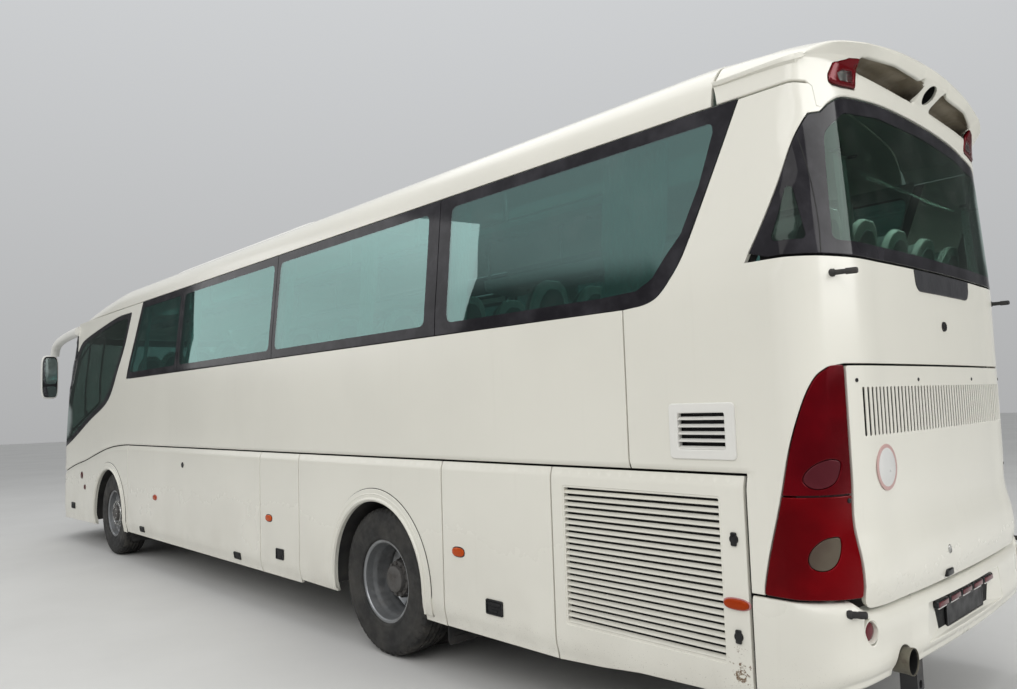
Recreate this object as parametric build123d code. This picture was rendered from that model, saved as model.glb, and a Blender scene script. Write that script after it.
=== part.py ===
from build123d import *
import os
import math

os.makedirs("parts", exist_ok=True)

# Coach bus, two axles. Working frame: +X forward, +Y left, +Z up, ground at Z 0,
# X 0 at the rear edge of the engine side door. Every solid is moved by -X_MID when
# it is written, so that the origin is on the ground under the middle of the box.

# ---------------------------------------------------------------- main sizes (mm)
X_MID = 5770.0            # middle of the overall length
HALF_W = 1275.0           # half width of the body
WALL = 45.0               # thickness of walls, doors and lids
GLASS = 6.0               # thickness of bonded glass
GAP = 8.0                 # gap between fixed panels
LID_GAP = 10.0            # gap round a lid
WS_TOP = 2985.0           # upper edge of the windscreen
Z_SKIRT = 352.0           # lower edge of the lids
Z_WAIST = 1408.0          # middle of the gap above the lids
Z_WIN0, Z_WIN1 = 2226.0, 3152.0   # side glass, lower and upper edge
Z_ROOF_SEAM = 3158.0      # lower edge of the roof shell
Z_FLOOR, FLOOR_T = 1380.0, 60.0   # cabin floor, top and thickness
X_REAR_AXLE, X_FRONT_AXLE = 2959.0, 9128.0
TYRE_R, TYRE_W = 520.0, 290.0
RIM_R = 292.0             # tyre bead radius
FRONT_TYRE_Y = 1083.0     # middle of the front tyre
REAR_TYRE_Y = (1085.0, 752.0)     # middles of the twin tyres
KINGPIN_Y = 905.0
AXLE_Z = TYRE_R

# outer section, half: kind, y, z, and the outward normal used to offset it
SECTION = [
    ("line", 1248, 255, 1, 0),
    ("line", 1250, 355, 1, 0),
    ("line", 1272, 450, 1, 0),
    ("line", 1275, 500, 1, 0),
    ("line", 1275, 2300, 1, 0),
    ("line", 1183, 3220, 1, 0.1),
    ("mid", 1128, 3345, 0.8, 0.6),
    ("arc", 1000, 3420, 0.43, 0.9),
    ("mid", 520, 3496, 0.1, 1),
    ("arc", 0, 3520, 0, 1),
]
# lengths of the body and how far the section drops from one end to the other
SPANS = [  # x start, x end, drop at start, drop at end
    (-700, -100, 110, 20),
    (-100, 300, 20, 0),
    (300, 8900, 0, 0),
    (8900, 9600, 0, 45),
    (9600, 10400, 45, 130),
    (10400, 11200, 130, 270),
    (11200, 12000, 270, 450),
]
# outline of the nose and of the tail seen from above, half: kind, x, y, normal
NOSE = [
    ("line", 11880, 0, 1, 0),
    ("mid", 11835, 450, 0.97, 0.2),
    ("arc", 11700, 850, 0.9, 0.4),
    ("mid", 11540, 1110, 0.7, 0.7),
    ("arc", 11200, 1275, 0, 1),
    ("line", 11200, 1500, 0, 0),
    ("line", -4000, 1500, 0, 0),
    ("line", -4000, 0, 0, 0),
]
TAIL = [
    ("line", 14000, 0, 0, 0),
    ("line", 14000, 1500, 0, 0),
    ("line", -190, 1500, 0, 0),
    ("line", -190, 1275, 0, 1),
    ("mid", -326, 1185, -0.6, 0.8),
    ("arc", -400, 1020, -0.95, 0.2),
    ("mid", -438, 510, -1, 0.05),
    ("arc", -450, 0, -1, 0),
]
# how far the nose and the tail lean back or forward: z start, z end, shift at each
NOSE_RAKE = [(200, 900, 0, 0), (900, 1300, 0, -15), (1300, 1700, -15, -75), (1700, 2100, -75, -160),
             (2100, 2500, -160, -265), (2500, 2900, -265, -390), (2900, 3700, -390, -690)]
TAIL_RAKE = [(200, 2365, 0, 0), (2365, 3700, 0, 80)]
# waist crease, rearmost point first
CREASE = [(-800, 1408), (8446, 1408), (8945, 1384), (9332, 1340), (9770, 1262),
          (10237, 1170), (10735, 1092), (11432, 955), (12200, 860)]


# ---------------------------------------------------------------- shape helpers
def at(plane, a, b, c):
    return {"yz": (c, a, b), "xz": (a, c, b), "xy": (a, b, c)}[plane]


def outline(rows, plane, level, t=0.0, half=False):
    """Closed wire from rows of (kind, a, b, na, nb), moved in by t."""
    pts = [(k, a - t * na, b - t * nb) for k, a, b, na, nb in rows]
    edges = []

    def run(seq):
        i = 1
        while i < len(seq):
            p0 = at(plane, seq[i - 1][1], seq[i - 1][2], level)
            if seq[i][0] == "mid":
                pm = at(plane, seq[i][1], seq[i][2], level)
                p1 = at(plane, seq[i + 1][1], seq[i + 1][2], level)
                edges.append(Edge.make_three_point_arc(p0, pm, p1))
                i += 2
            else:
                edges.append(Edge.make_line(p0, at(plane, seq[i][1], seq[i][2], level)))
                i += 1

    run(pts)
    if half:
        flip = (lambda k, a, b: (k, -a, b)) if plane == "yz" else (lambda k, a, b: (k, a, -b))
        other = [flip(*p) for p in pts]
        run(other)
        if plane == "yz":
            edges.append(Edge.make_line(at(plane, -pts[0][1], pts[0][2], level),
                                        at(plane, pts[0][1], pts[0][2], level)))
    else:
        edges.append(Edge.make_line(at(plane, pts[-1][1], pts[-1][2], level),
                                    at(plane, pts[0][1], pts[0][2], level)))
    return Wire(edges)


def prism(pts, plane, lo, hi):
    w = Wire.make_polygon([Vector(*at(plane, a, b, lo)) for a, b in pts], close=True)
    d = Vector(*at(plane, 0, 0, hi - lo))
    return Solid.extrude(Face(w), d)


def box(x0, x1, y0, y1, z0, z1):
    return prism([(x0, y0), (x1, y0), (x1, y1), (x0, y1)], "xy", z0, z1)


def cyl(axis, a, b, r, lo, hi):
    """Cylinder along an axis; a, b are its other two places in X, Y, Z order."""
    if axis == "x":
        pl = Plane(origin=(lo, a, b), z_dir=(1, 0, 0))
    elif axis == "y":
        pl = Plane(origin=(a, lo, b), z_dir=(0, 1, 0))
    else:
        pl = Plane(origin=(a, b, lo), z_dir=(0, 0, 1))
    return Solid.make_cylinder(r, hi - lo, pl)


def revolve_y(profile, x, z):
    """Solid of revolution about the line along Y at x, z; profile rows are (y, r)."""
    w = Wire.make_polygon([Vector(x, y, z + r) for y, r in profile], close=True)
    return Solid.revolve(Face(w), 360, Axis((x, 0, z), (0, 1, 0)))


def fuse(items):
    items = list(items)
    out = items[0]
    for s in items[1:]:
        out = out + s
    return out


def flip_y(shape):
    return shape.mirror(Plane.XZ)


def body(t):
    """The whole outside of the body, moved in by t."""
    parts = []
    for x0, x1, d0, d1 in SPANS:
        f = Face(outline(SECTION, "yz", x0, t, half=True)).moved(Location((0, 0, -d0)))
        parts.append(Solid.extrude(f, Vector(x1 - x0, 0, d0 - d1)))
    top = fuse(parts)
    # upright lower half, so that the skirt doesn't drop with the roof
    lo = [r for r in SECTION[:5]]
    rows = [(r[1] - t, r[2]) for r in lo]
    pts = rows + [(-y, z) for y, z in reversed(rows)]
    low = prism(pts, "yz", -700, 12000)
    cap = box(-700, 12000, -1400, 1400, 900, 3800)
    keep = top & cap
    upright = low & box(-700, 12000, -1400, 1400, 100, 1900)
    whole = keep + upright
    for rows, spans in ((NOSE, NOSE_RAKE), (TAIL, TAIL_RAKE)):
        ends = []
        for z0, z1, d0, d1 in spans:
            f = Face(outline(rows, "xy", z0, t, half=True)).moved(Location((d0, 0, 0)))
            ends.append(Solid.extrude(f, Vector(d1 - d0, 0, z1 - z0)))
        whole = whole & fuse(ends)
    return whole


OUT = {}


def put(name, *shapes):
    solids = []
    for s in shapes:
        if s is None:
            continue
        if isinstance(s, (list, tuple, ShapeList)):
            for q in s:
                solids += list(q.solids())
        else:
            solids += list(s.solids())
    solids = [q for q in solids if q.volume > 2000.0]
    OUT[name] = [q.moved(Location((-X_MID, 0, 0))) for q in solids]


outer = body(0)
inner = body(WALL) - box(-800, 12100, -1500, 1500, 0, 90)
glass_in = body(GLASS)
inner_low = inner + (body(WALL) & box(-700, 12000, -1400, 1400, 100, 600)).moved(Location((0, 0, -160)))
shell = outer - inner_low
skin = outer - glass_in           # layer that the bonded glass fills
FULL = (-900, 12200, 0, 4000)


def crease(dz):
    return [(x, z + dz) for x, z in CREASE]


below_crease = prism(crease(-LID_GAP / 2) + [(12200, 0), (-800, 0)], "xz", -1500, 1500)
above_crease = prism(crease(LID_GAP / 2) + [(12200, 4000), (-800, 4000)], "xz", -1500, 1500)
left_half = box(-900, 12300, 500, 1500, 0, 4000)
right_half = box(-900, 12300, -1500, -500, 0, 4000)
SIDES = (("left", 1, left_half), ("right", -1, right_half))

# ---------------------------------------------------------------- openings
# wheel arches: x, z, radius
ARCHES = {"rear": (2984, 530, 565), "front": (9168, 485, 600)}
# passenger doors on the right side: x0, x1, lower and upper edge
FRONT_DOOR = (10130, 11010, 330, 2820)
MID_DOOR = (4120, 4810, 360, 2950)
# driver's window, on the side of the body (x, z)
CAB_GLASS = [(8522, 3063), (9077, 3063), (9824, 2973), (10508, 2891), (10734, 2822),
             (10852, 2727), (11240, 1850), (11334, 1319), (10646, 1517), (10013, 1727),
             (9342, 1919), (9050, 2106), (8840, 2354), (8658, 2661)]
CAB_GLASS_RIGHT = [(8522, 3063), (9077, 3063), (9824, 2973), (10098, 2938), (10098, 1700),
                   (9342, 1919), (9050, 2106), (8840, 2354), (8658, 2661)]
# side glass: rear edge line, joints and front edge (x at lower edge, x at upper edge)
PANE_EDGES = [(535, -18), (2230, 2230), (4580, 4580), (6815, 6815), (8498, 8140)]
PANE_REAR = [(651, 2226), (535, 2231), (442, 2261), (364, 2336), (283, 2453),
             (181, 2681), (72, 2936), (-18, 3152)]
# clear part of each pane: x0, x1 at lower edge, x0, x1 at upper edge
CLEAR = [(800, 2105, 121, 2105), (2350, 4520, 2350, 4520), (4640, 6750, 4640, 6750),
         (6880, 8400, 6880, 8090)]
CLEAR_Z = (2300, 3075)
REAR_GLASS_EDGE = [(-57, 2365), (-132, 2508), (-219, 2699), (-285, 2884), (-328, 3014),
                   (-361, 3091), (-380, 3152), (-420, 3300), (-700, 3300), (-700, 2365)]
REAR_GLASS_TOP = [(1300, 2365), (1300, 2900), (1035, 3014), (925, 3091), (782, 3152),
                  (576, 3190), (227, 3230)]
LAMP_EDGE = [(-63, 889), (-103, 1070), (-163, 1289), (-218, 1524), (-263, 1685),
             (-293, 1774), (-324, 1837), (-356, 1870), (-385, 1880), (-700, 1880), (-700, 889)]
LAMP_Y = 1066.0           # inner edge of the tail lamps
LID_TOP, LID_LOW = 1884.0, 840.0


def offset_x(pts, dx):
    return [(x + dx, z) for x, z in pts]


# ---------------------------------------------------------------- side glass
band = prism(PANE_REAR + [(8140, 3152), (8498, 2226)], "xz", -1500, 1500)
joints = fuse([box(x0 - 3, x0 + 3, -1500, 1500, 2200, 3200) for x0, _ in PANE_EDGES[1:4]])
pane_layer = (skin & band) - joints
right_cut = box(MID_DOOR[0] - LID_GAP, MID_DOOR[1] + LID_GAP, -1500, -500, 300, MID_DOOR[3] + LID_GAP)
front_cut = box(FRONT_DOOR[0] - LID_GAP, FRONT_DOOR[1] + LID_GAP, -1500, -500, 300,
                FRONT_DOOR[3] + LID_GAP)
door_cut = right_cut + front_cut
ws_zone = prism([(11344, 1290), (11260, 1850), (10885, 2740), (10905, 2860), (10960, WS_TOP - 5),
                 (12200, WS_TOP - 5), (12200, 1225), (11700, 1225)], "xz", -1500, 1500)
ws_layer = skin & ws_zone & box(10850, 12200, -1500, 1500, 1230, WS_TOP)
cab_left = prism(CAB_GLASS, "xz", 700, 1500)
cab_right = prism(CAB_GLASS_RIGHT, "xz", -1500, -700)
panes = [pane_layer & left_half, (pane_layer & right_half) - right_cut,
         skin & cab_left, (skin & cab_right) - front_cut]
put("side_windows", *panes)

clear = fuse([prism([(a, CLEAR_Z[0]), (b, CLEAR_Z[0]), (d, CLEAR_Z[1]), (c, CLEAR_Z[1])],
                    "xz", -1500, 1500) for a, b, c, d in CLEAR])
cab_clear = [(8600, 3010), (9077, 3010), (9824, 2920), (10500, 2838), (10700, 2770),
             (11150, 1850), (11240, 1400), (10660, 1580), (10040, 1785), (9380, 1975),
             (9110, 2140), (8900, 2380), (8725, 2670)]
cab_clear_right = [(8600, 3010), (9077, 3010), (9824, 2920), (10060, 2890), (10060, 1780),
                   (9380, 1975), (9110, 2140), (8900, 2380), (8725, 2670)]
windows_l = clear + prism(cab_clear, "xz", 700, 1500)
windows_r = clear + prism(cab_clear_right, "xz", -1500, -700)

# ---------------------------------------------------------------- side panels
wall = shell - ((skin & band) + (skin & cab_left) + (skin & cab_right)) - ws_layer
side_zone = box(650 + GAP / 2, 11430, -1500, 1500, 600, Z_ROOF_SEAM - GAP)
upper_rear = prism([(650 + GAP / 2, 0), (650 + GAP / 2, 2226)] + [(x + 6, z) for x, z in PANE_REAR[1:]] +
                   [(-18 + 6, 3300), (12000, 3300), (12000, 0)], "xz", -1500, 1500)
over_screen = prism([(10950 - GAP, 3300), (10950 - GAP, WS_TOP - 4), (12200, WS_TOP - 4), (12200, 3300)],
                    "xz", -1500, 1500)
upper = (wall & above_crease & upper_rear) & box(-300, 11430, -1500, 1500, 600, Z_ROOF_SEAM - GAP)
upper = upper - over_screen
put("left_side_panel", (upper & left_half) - windows_l)
put("right_side_panel", (upper & right_half) - windows_r - door_cut)

lower = shell & below_crease
fixed = [  # x start, x end, lower edge at start, lower edge at end
    (2200 + LID_GAP / 2, 4110 - LID_GAP / 2, 350, 378),
    (8420 + LID_GAP / 2, 11426, 330, 272),
]
arch_cut = fuse([cyl("y", x, z, r, -1500, 1500) + box(x - r, x + r, -1500, 1500, 0, z)
                 for x, z, r in ARCHES.values()])
arch_keep = []
for x0, x1, z0, z1 in fixed:
    zone = prism([(x0, z0), (x1, z1), (x1, 3000), (x0, 3000)], "xz", -1500, 1500)
    arch_keep.append((lower & zone) - arch_cut)
lips = []
for x, z, r in ARCHES.values():
    for sy in (1, -1):
        y0, y1 = sorted((sy * (HALF_W - 3), sy * (HALF_W + 14)))
        ring = cyl("y", x, z, r + 88, y0, y1) - cyl("y", x, z, r, y0 - 5, y1 + 5)
        lips.append(ring & box(x - 900, x + 900, -1600, 1600, z, 2000))
lower_fixed = fuse(arch_keep + lips) - door_cut
put("lower_side_panels", (lower_fixed & left_half), (lower_fixed & right_half))

# ---------------------------------------------------------------- luggage lids
LIDS = [  # name, x start, x end, which sides have it
    ("luggage_door_{}_front", 4820, 8420, ("left", "right")),
    ("luggage_door_{}_mid", 4110, 4820, ("left",)),
    ("luggage_door_{}_rear", 1212, 2200, ("left", "right")),
]
for name, x0, x1, which in LIDS:
    zone = box(x0 + LID_GAP / 2, x1 - LID_GAP / 2, -1500, 1500, Z_SKIRT, 2000)
    for side, s, half in SIDES:
        if side in which:
            put(name.format(side), lower & zone & half)

# engine side doors with their grille; the lower edge rises to the rear
door_zone = prism([(12, 415), (300, 413), (650, 400), (900, 372), (1207, Z_SKIRT),
                   (1207, 2000), (12, 2000)], "xz", -1500, 1500)
GRILLE = (135, 1125, 560, 1305)     # x0, x1, z0, z1
SLATS = 11
grille_hole = box(GRILLE[0], GRILLE[1], -1500, 1500, GRILLE[2], GRILLE[3])
pitch = (GRILLE[3] - GRILLE[2]) / SLATS
for side, s, half in SIDES:
    frame = (lower & door_zone & half) - grille_hole
    slats = []
    for i in range(SLATS):
        z = GRILLE[2] + (i + 0.5) * pitch
        ys = sorted((s * 1232, s * 1266))
        slats.append(box(GRILLE[0] - 4, GRILLE[1] + 4, ys[0], ys[1], z - pitch * 0.36, z + pitch * 0.14))
    bars = [box(x - 9, x + 9, *sorted((s * 1232, s * 1258)), GRILLE[2] - 4, GRILLE[3] + 4)
            for x in (465, 795)]
    put("engine_door_" + side, fuse([frame] + slats + bars))

# ---------------------------------------------------------------- rear of the body
lamp_zone = prism(LAMP_EDGE, "xz", -1500, 1500) & (box(-700, 100, LAMP_Y, 1500, 0, 4000) +
                                                   box(-700, 100, -1500, -LAMP_Y, 0, 4000))
lamp_cut = prism([(x + GAP / 2, z) for x, z in LAMP_EDGE[:9]] + [(-385, 1884), (-700, 1884), (-700, 800), (-40, 800)],
                 "xz", -1500, 1500) & (box(-700, 100, LAMP_Y, 1500, 0, 4000) + box(-700, 100, -1500, -LAMP_Y, 0, 4000))
rear_glass_zone = (prism(REAR_GLASS_EDGE, "xz", -1500, 1500) &
                   prism(REAR_GLASS_TOP + [(-y, z) for y, z in reversed(REAR_GLASS_TOP)], "yz", -900, 100))
put("rear_window", skin & rear_glass_zone)
glass_hole = (prism([(-120, 2425), (-180, 2530), (-262, 2715), (-322, 2880), (-352, 2990), (-390, 3060),
                     (-700, 3060), (-700, 2425)], "xz", -1500, 1500) &
              prism([(1300, 2425), (1300, 2850), (990, 2950), (880, 3020), (560, 3100), (0, 3140),
                     (-560, 3100), (-880, 3020), (-990, 2950), (-1300, 2850), (-1300, 2425)],
                    "yz", -900, 100))
lid_zone = box(-900, 0, -LAMP_Y + LID_GAP, LAMP_Y - LID_GAP, LID_LOW, LID_TOP - LID_GAP / 2)
lid_cut = box(-900, -300, -LAMP_Y, LAMP_Y, LID_LOW - LID_GAP, LID_TOP + LID_GAP / 2)
rear_zone = prism([(650 - GAP / 2, 892), (650 - GAP / 2, 2226)] + [(x - 6, z) for x, z in PANE_REAR[1:]] +
                  [(-24, Z_ROOF_SEAM - GAP), (-900, Z_ROOF_SEAM - GAP), (-900, 892)], "xz", -1500, 1500)
behind = box(-900, 2 - GAP / 2, -1500, 1500, 800, 1500) + box(-900, 700, -1500, 1500, Z_WAIST + LID_GAP / 2, 3200)
rear_wall = ((shell - (skin & band)) & rear_zone & behind) - (skin & rear_glass_zone) - glass_hole - lamp_cut - lid_cut
VENT = (82, 344, 1514, 1693)
rear_wall = rear_wall - box(VENT[0], VENT[1], -1500, 1500, VENT[2], VENT[3])
vents = []
for s in (1, -1):
    for i in range(4):
        z = VENT[2] + (i + 1) * (VENT[3] - VENT[2]) / 5
        vents.append(box(VENT[0] - 4, VENT[1] + 4, *sorted((s * 1236, s * 1270)), z - 9, z + 9))
put("rear_panel", fuse([rear_wall] + vents))

lamps = (outer - body(35)) & lamp_zone
put("tail_lamps", lamps)

lid = shell & lid_zone
LID_SLOTS = (-975, 975, 1567, 1786, 34)   # y0, y1, z0, z1, count
lid = lid - box(-900, 0, LID_SLOTS[0], LID_SLOTS[1], LID_SLOTS[2], LID_SLOTS[3])
step = (LID_SLOTS[1] - LID_SLOTS[0]) / LID_SLOTS[4]
ribs = [box(-640, 0, LID_SLOTS[0] + (i + 0.5) * step - 17, LID_SLOTS[0] + (i + 0.5) * step + 17,
            LID_SLOTS[2] - 4, LID_SLOTS[3] + 4) for i in range(LID_SLOTS[4])]
rib_layer = (body(4) - body(34))
lid = lid + (rib_layer & fuse(ribs))
put("engine_lid", lid)

# rear bumper: wraps the corners, stands out behind, tucks in below
bump_out = Solid.extrude(Face(Wire(
    [Edge.make_line((4, 1275, 300), (-200, 1275, 300)),
     Edge.make_three_point_arc((-200, 1275, 300), (-352, 1203, 300), (-430, 1036, 300)),
     Edge.make_three_point_arc((-430, 1036, 300), (-482, 0, 300), (-430, -1036, 300)),
     Edge.make_three_point_arc((-430, -1036, 300), (-352, -1203, 300), (-200, -1275, 300)),
     Edge.make_line((-200, -1275, 300), (4, -1275, 300)),
     Edge.make_line((4, -1275, 300), (4, 1275, 300))])), Vector(0, 0, 600))
bump_side = prism([(4, 413), (-150, 432), (-300, 475), (-400, 515), (-455, 530), (-482, 592), (-482, 795),
                   (-445, 826), (-330, 826), (-330, 880), (4, 880)], "xz", -1500, 1500)
bump_sec = prism([(1248, 300), (1250, 355), (1272, 450), (1275, 500), (1275, 900), (-1275, 900),
                  (-1275, 500), (-1272, 450), (-1250, 355), (-1248, 300)], "yz", -700, 100)
bump_core = Solid.extrude(Face(Wire(
    [Edge.make_line((60, 1230, 200), (-190, 1230, 200)),
     Edge.make_three_point_arc((-190, 1230, 200), (-322, 1168, 200), (-392, 1018, 200)),
     Edge.make_three_point_arc((-392, 1018, 200), (-442, 0, 200), (-392, -1018, 200)),
     Edge.make_three_point_arc((-392, -1018, 200), (-322, -1168, 200), (-190, -1230, 200)),
     Edge.make_line((-190, -1230, 200), (60, -1230, 200)),
     Edge.make_line((60, -1230, 200), (60, 1230, 200))])), Vector(0, 0, 800))
bumper = (bump_out & bump_side & bump_sec) - bump_core - box(-700, -300, -LAMP_Y, LAMP_Y, 826, 1000)
EXHAUST = (800.0, 585.0)      # y, z of the pipe
notch = cyl("x", *EXHAUST, 69, -700, 100) + box(-700, 100, EXHAUST[0] - 69, EXHAUST[0] + 69, 300, EXHAUST[1])
put("rear_bumper", bumper - notch)

# ---------------------------------------------------------------- roof
roof_zone = prism([(120 + GAP / 2, Z_ROOF_SEAM), (10950, Z_ROOF_SEAM), (10950, WS_TOP + 4), (12000, WS_TOP + 4),
                   (12000, 4000), (120 + GAP / 2, 4000)], "xz", -1500, 1500)
roof = (shell & roof_zone)
put("roof_panel", roof)
rear_cap = shell & box(-900, 120 - GAP / 2, -1500, 1500, Z_ROOF_SEAM, 4000)
rear_cap = rear_cap - (skin & rear_glass_zone) - glass_hole
visor_out = outer.moved(Location((-60, 0, 0)))
arch = [(1010, 3345), (850, 3385), (520, 3425), (0, 3444)]
visor = prism([(y, z) for y, z in arch] + [(-y, z) for y, z in arch[2::-1]] +
              [(-y, z - 55) for y, z in arch[:3]] + [(y, z - 55) for y, z in arch[::-1]], "yz", -540, -335)
visor = visor & prism([(-335, 1005), (-410, 1005), (-500, 860), (-540, 560), (-540, -560), (-500, -860),
                       (-410, -1005), (-335, -1005)], "xy", 3200, 3600)
pod = prism([(-95, 3215), (95, 3215), (150, 3408), (-150, 3408)], "yz", -540, -335)
pod = pod & prism([(-335, 3200), (-418, 3200), (-440, 3250), (-528, 3412), (-335, 3412)], "xz", -200, 200)
pod = pod - cyl("x", 0, 3328, 33, -600, -425)
put("rear_roof_cap", fuse([rear_cap, visor, pod]) - (skin & rear_glass_zone))
HIGH_LAMP_Y = 860.0
high = []
for s in (1, -1):
    blk = prism([(s * 650, 3180), (s * 750, 3172), (s * 960, 3182), (s * 1010, 3215), (s * 930, 3280), (s * 800, 3284),
                 (s * 650, 3284)], "yz", -480, -402)
    high.append(blk & visor_out)
put("high_lamps", *high)

AIRCON = (4500, 8500, 850)       # x0, x1, half width
pod_rows = [(AIRCON[2], 3452), (AIRCON[2] - 20, 3540), (AIRCON[2] - 150, 3590), (0, 3620),
            (-(AIRCON[2] - 150), 3590), (-(AIRCON[2] - 20), 3540), (-AIRCON[2], 3452)]
aircon = prism(pod_rows, "yz", AIRCON[0], AIRCON[1]) & prism(
    [(4500, 3400), (4560, 3590), (4700, 3640), (8150, 3640), (8350, 3590), (8500, 3400)], "xz", -1000, 1000)
put("roof_aircon", aircon - outer)

# ---------------------------------------------------------------- front
windscreen = ws_layer - cab_left - cab_right - front_cut
put("windscreen", windscreen)
ws_clear = prism([(11420, 1330), (11330, 1850), (11110, 2500), (11080, WS_TOP - 70), (12200, WS_TOP - 70),
                  (12200, 1300)], "xz", -1500, 1500)
nose_zone = box(11430 + GAP, 12200, -1500, 1500, 0, WS_TOP - 4)
front_wall = (shell - ws_layer) & nose_zone
front_wall = front_wall - ws_clear
split_z = 905.0
put("front_panel", front_wall & box(11000, 12300, -1500, 1500, split_z + GAP / 2, 3200))
bumper_f = (shell & box(11430 + GAP, 12300, -1500, 1500, 275, split_z - GAP / 2)) - \
    (box(11500, 12300, 640, 1100, 560, 780) + box(11500, 12300, -1100, -640, 560, 780))
put("front_bumper", bumper_f)
head = (body(5) - body(40)) & (box(11500, 12300, 646, 1094, 566, 774) + box(11500, 12300, -1094, -646, 566, 774))
put("head_lamps", head)

# wipers: spindle, arm and blade in front of the lower windscreen
wip = []
for s, y in ((1, 700), (-1, 100)):
    wip.append(box(11905, 11925, y - 620, y + 20, 1262, 1290))
    wip.append(box(11905, 11925, y - 15, y + 15, 1180, 1264))
    wip.append(cyl("x", y, 1190, 20, 11870, 11906) - outer)
put("wipers", fuse(wip))

# mirrors: a horn from the front roof corner carries each head
mir = []
for s in (1, -1):
    headm = box(11930, 12080, *sorted((s * 1215, s * 1455)), 2070, 2750)
    headm = fillet(headm.edges().filter_by(Axis.X), 60)
    horn = prism([(10990, 3080), (11500, 3060), (11900, 2960), (12040, 2830), (12040, 2740), (11940, 2740),
                  (11860, 2840), (11500, 2940), (11180, 2965)], "xz", *sorted((s * 1165, s * 1300)))
    mir.append((headm + horn) - outer)
put("mirrors", *mir)

# ---------------------------------------------------------------- cabin
CAB_FLOOR, X_CAB = 1130.0, 9900.0   # driver's floor, where it starts
floor = box(-300, X_CAB, -1222, 1222, Z_FLOOR - FLOOR_T, Z_FLOOR) + \
    box(X_CAB - 40, X_CAB, -1222, 1222, CAB_FLOOR - FLOOR_T, Z_FLOOR) + \
    box(X_CAB - 40, 11800, -1222, 1222, CAB_FLOOR - FLOOR_T, CAB_FLOOR)
floor = floor & body(WALL + 8)
front_well = box(9950, 11150, -1400, -488, 300, 1500)
mid_well = box(4060, 4870, -1400, -528, 300, 1500)
floor = floor - front_well - mid_well
STEPS = [  # x0, x1, y inner, tread heights
    (10150, 10990, [(-1215, -1000, 385), (-1000, -760, 660), (-760, -520, 935)]),
    (4140, 4790, [(-1215, -980, 420), (-980, -750, 700), (-750, -560, 980)]),
]
steps = []
for x0, x1, rows in STEPS:
    for y0, y1, z in rows:
        steps.append(box(x0, x1, y0, y1, z - 40, z))
        if y1 != rows[-1][1]:
            steps.append(box(x0, x1, y1 - 20, y1, z - 40, z + 275))
    z_top = CAB_FLOOR if x0 > 9000 else Z_FLOOR
    steps.append(box(x0 - 30, x0, -1215, rows[-1][1], rows[0][2] - 40, z_top))
    steps.append(box(x1, x1 + 30, -1215, rows[-1][1], rows[0][2] - 40, z_top))
    steps.append(box(x0 - 30, x1 + 30, rows[-1][1], rows[-1][1] + 30, rows[-1][2] - 40, z_top))
put("cabin_floor", floor)
for xp, xw, xt in ((10935, 10990, 11070), (4195, 4140, 4060)):
    dx = 30 if xw > xp else -30
    steps.append(box(*sorted((xp - dx, xw)), -1190, -1126, 690, 714) + cyl("z", xp, -1158, 12, 700, 744))
    steps.append(box(*sorted((xp - dx, xt)), -1205, -1126, 2086, 2110) + cyl("z", xp, -1158, 12, 2056, 2100) +
                 box(*sorted((xt, xt - dx * 1.4)), -1222, -1126, 2086, 2110))
put("entrance_steps", fuse(steps))

SEAT_W, SEAT_PITCH = 450.0, 790.0
BACKS = [(-190, 430), (430, 1000)]


def seat(x, y0, y1, z):
    """A pair of seats facing forward; x is the front of the cushion."""
    cushion = box(x - 450, x, y0, y1, z + 330, z + 450)
    back = prism([(x - 460, z + 390), (x - 560, z + 1080), (x - 600, z + 1140), (x - 680, z + 1120),
                  (x - 680, z + 1040), (x - 575, z + 390), (x - 440, z + 340)], "xz", y0, y1)
    leg = box(x - 330, x - 270, (y0 + y1) / 2 - 150, (y0 + y1) / 2 + 150, z, z + 335)
    return fuse([cushion, back, leg])


seats = []
for i in range(11):
    x = 1500 + i * SEAT_PITCH - 200
    for y0, y1 in ((330, 1150), (-1150, -330)):
        if y0 < 0 and 4040 < x < 4890 + 680:
            continue
        if x > 9000 and y0 < 0:
            continue
        seats.append(seat(x, y0, y1, Z_FLOOR))
# the rear bench stands on a low platform
seats.append(fuse([seat(380, -1020, 1020, Z_FLOOR + 120), box(-220, 370, -1020, 1020, Z_FLOOR, Z_FLOOR + 125)]))
put("passenger_seats", *seats)
drv_floor = CAB_FLOOR
driver = fuse([box(10150, 10620, 410, 910, drv_floor + 330, drv_floor + 450),
               prism([(10150, drv_floor + 400), (10050, drv_floor + 1150), (9970, drv_floor + 1150),
                      (10040, drv_floor + 400)], "xz", 410, 910),
               box(10030, 10170, 410, 910, drv_floor + 330, drv_floor + 450),
               box(10250, 10500, 560, 760, drv_floor, drv_floor + 335)])
put("driver_seat", driver)
dash = prism([(11180, CAB_FLOOR), (11700, CAB_FLOOR), (11700, 1400), (11560, 1560), (11300, 1640), (11150, 1570)],
             "xz", -400, 1130)
put("dashboard", dash & body(WALL + 12))
racks = []
for s in (1, -1):
    rows = [(s * 1120, 2860), (s * 780, 2900), (s * 760, 2930), (s * 760, 3010), (s * 790, 3010),
            (s * 800, 2945), (s * 1115, 2900)]
    x1 = 9000 if s > 0 else 8700
    racks.append(prism(rows, "yz", 700, x1) if s > 0 else prism(rows, "yz", 700, 4020) +
                 prism(rows, "yz", 4900, x1))
    for x in range(1000, 9000, 1000):
        if s < 0 and (4000 < x < 4900 or x > 8650):
            continue
        racks[-1] = racks[-1] + box(x - 12, x + 12, *sorted((s * 800, s * 830)), 2930, 3404)
put("luggage_racks", *racks)
CURTAINS = [(430, 880), (2000, 2240), (3090, 3340), (4420, 4570), (4690, 4880), (6480, 6820), (8060, 8200)]
curt = []
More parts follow.
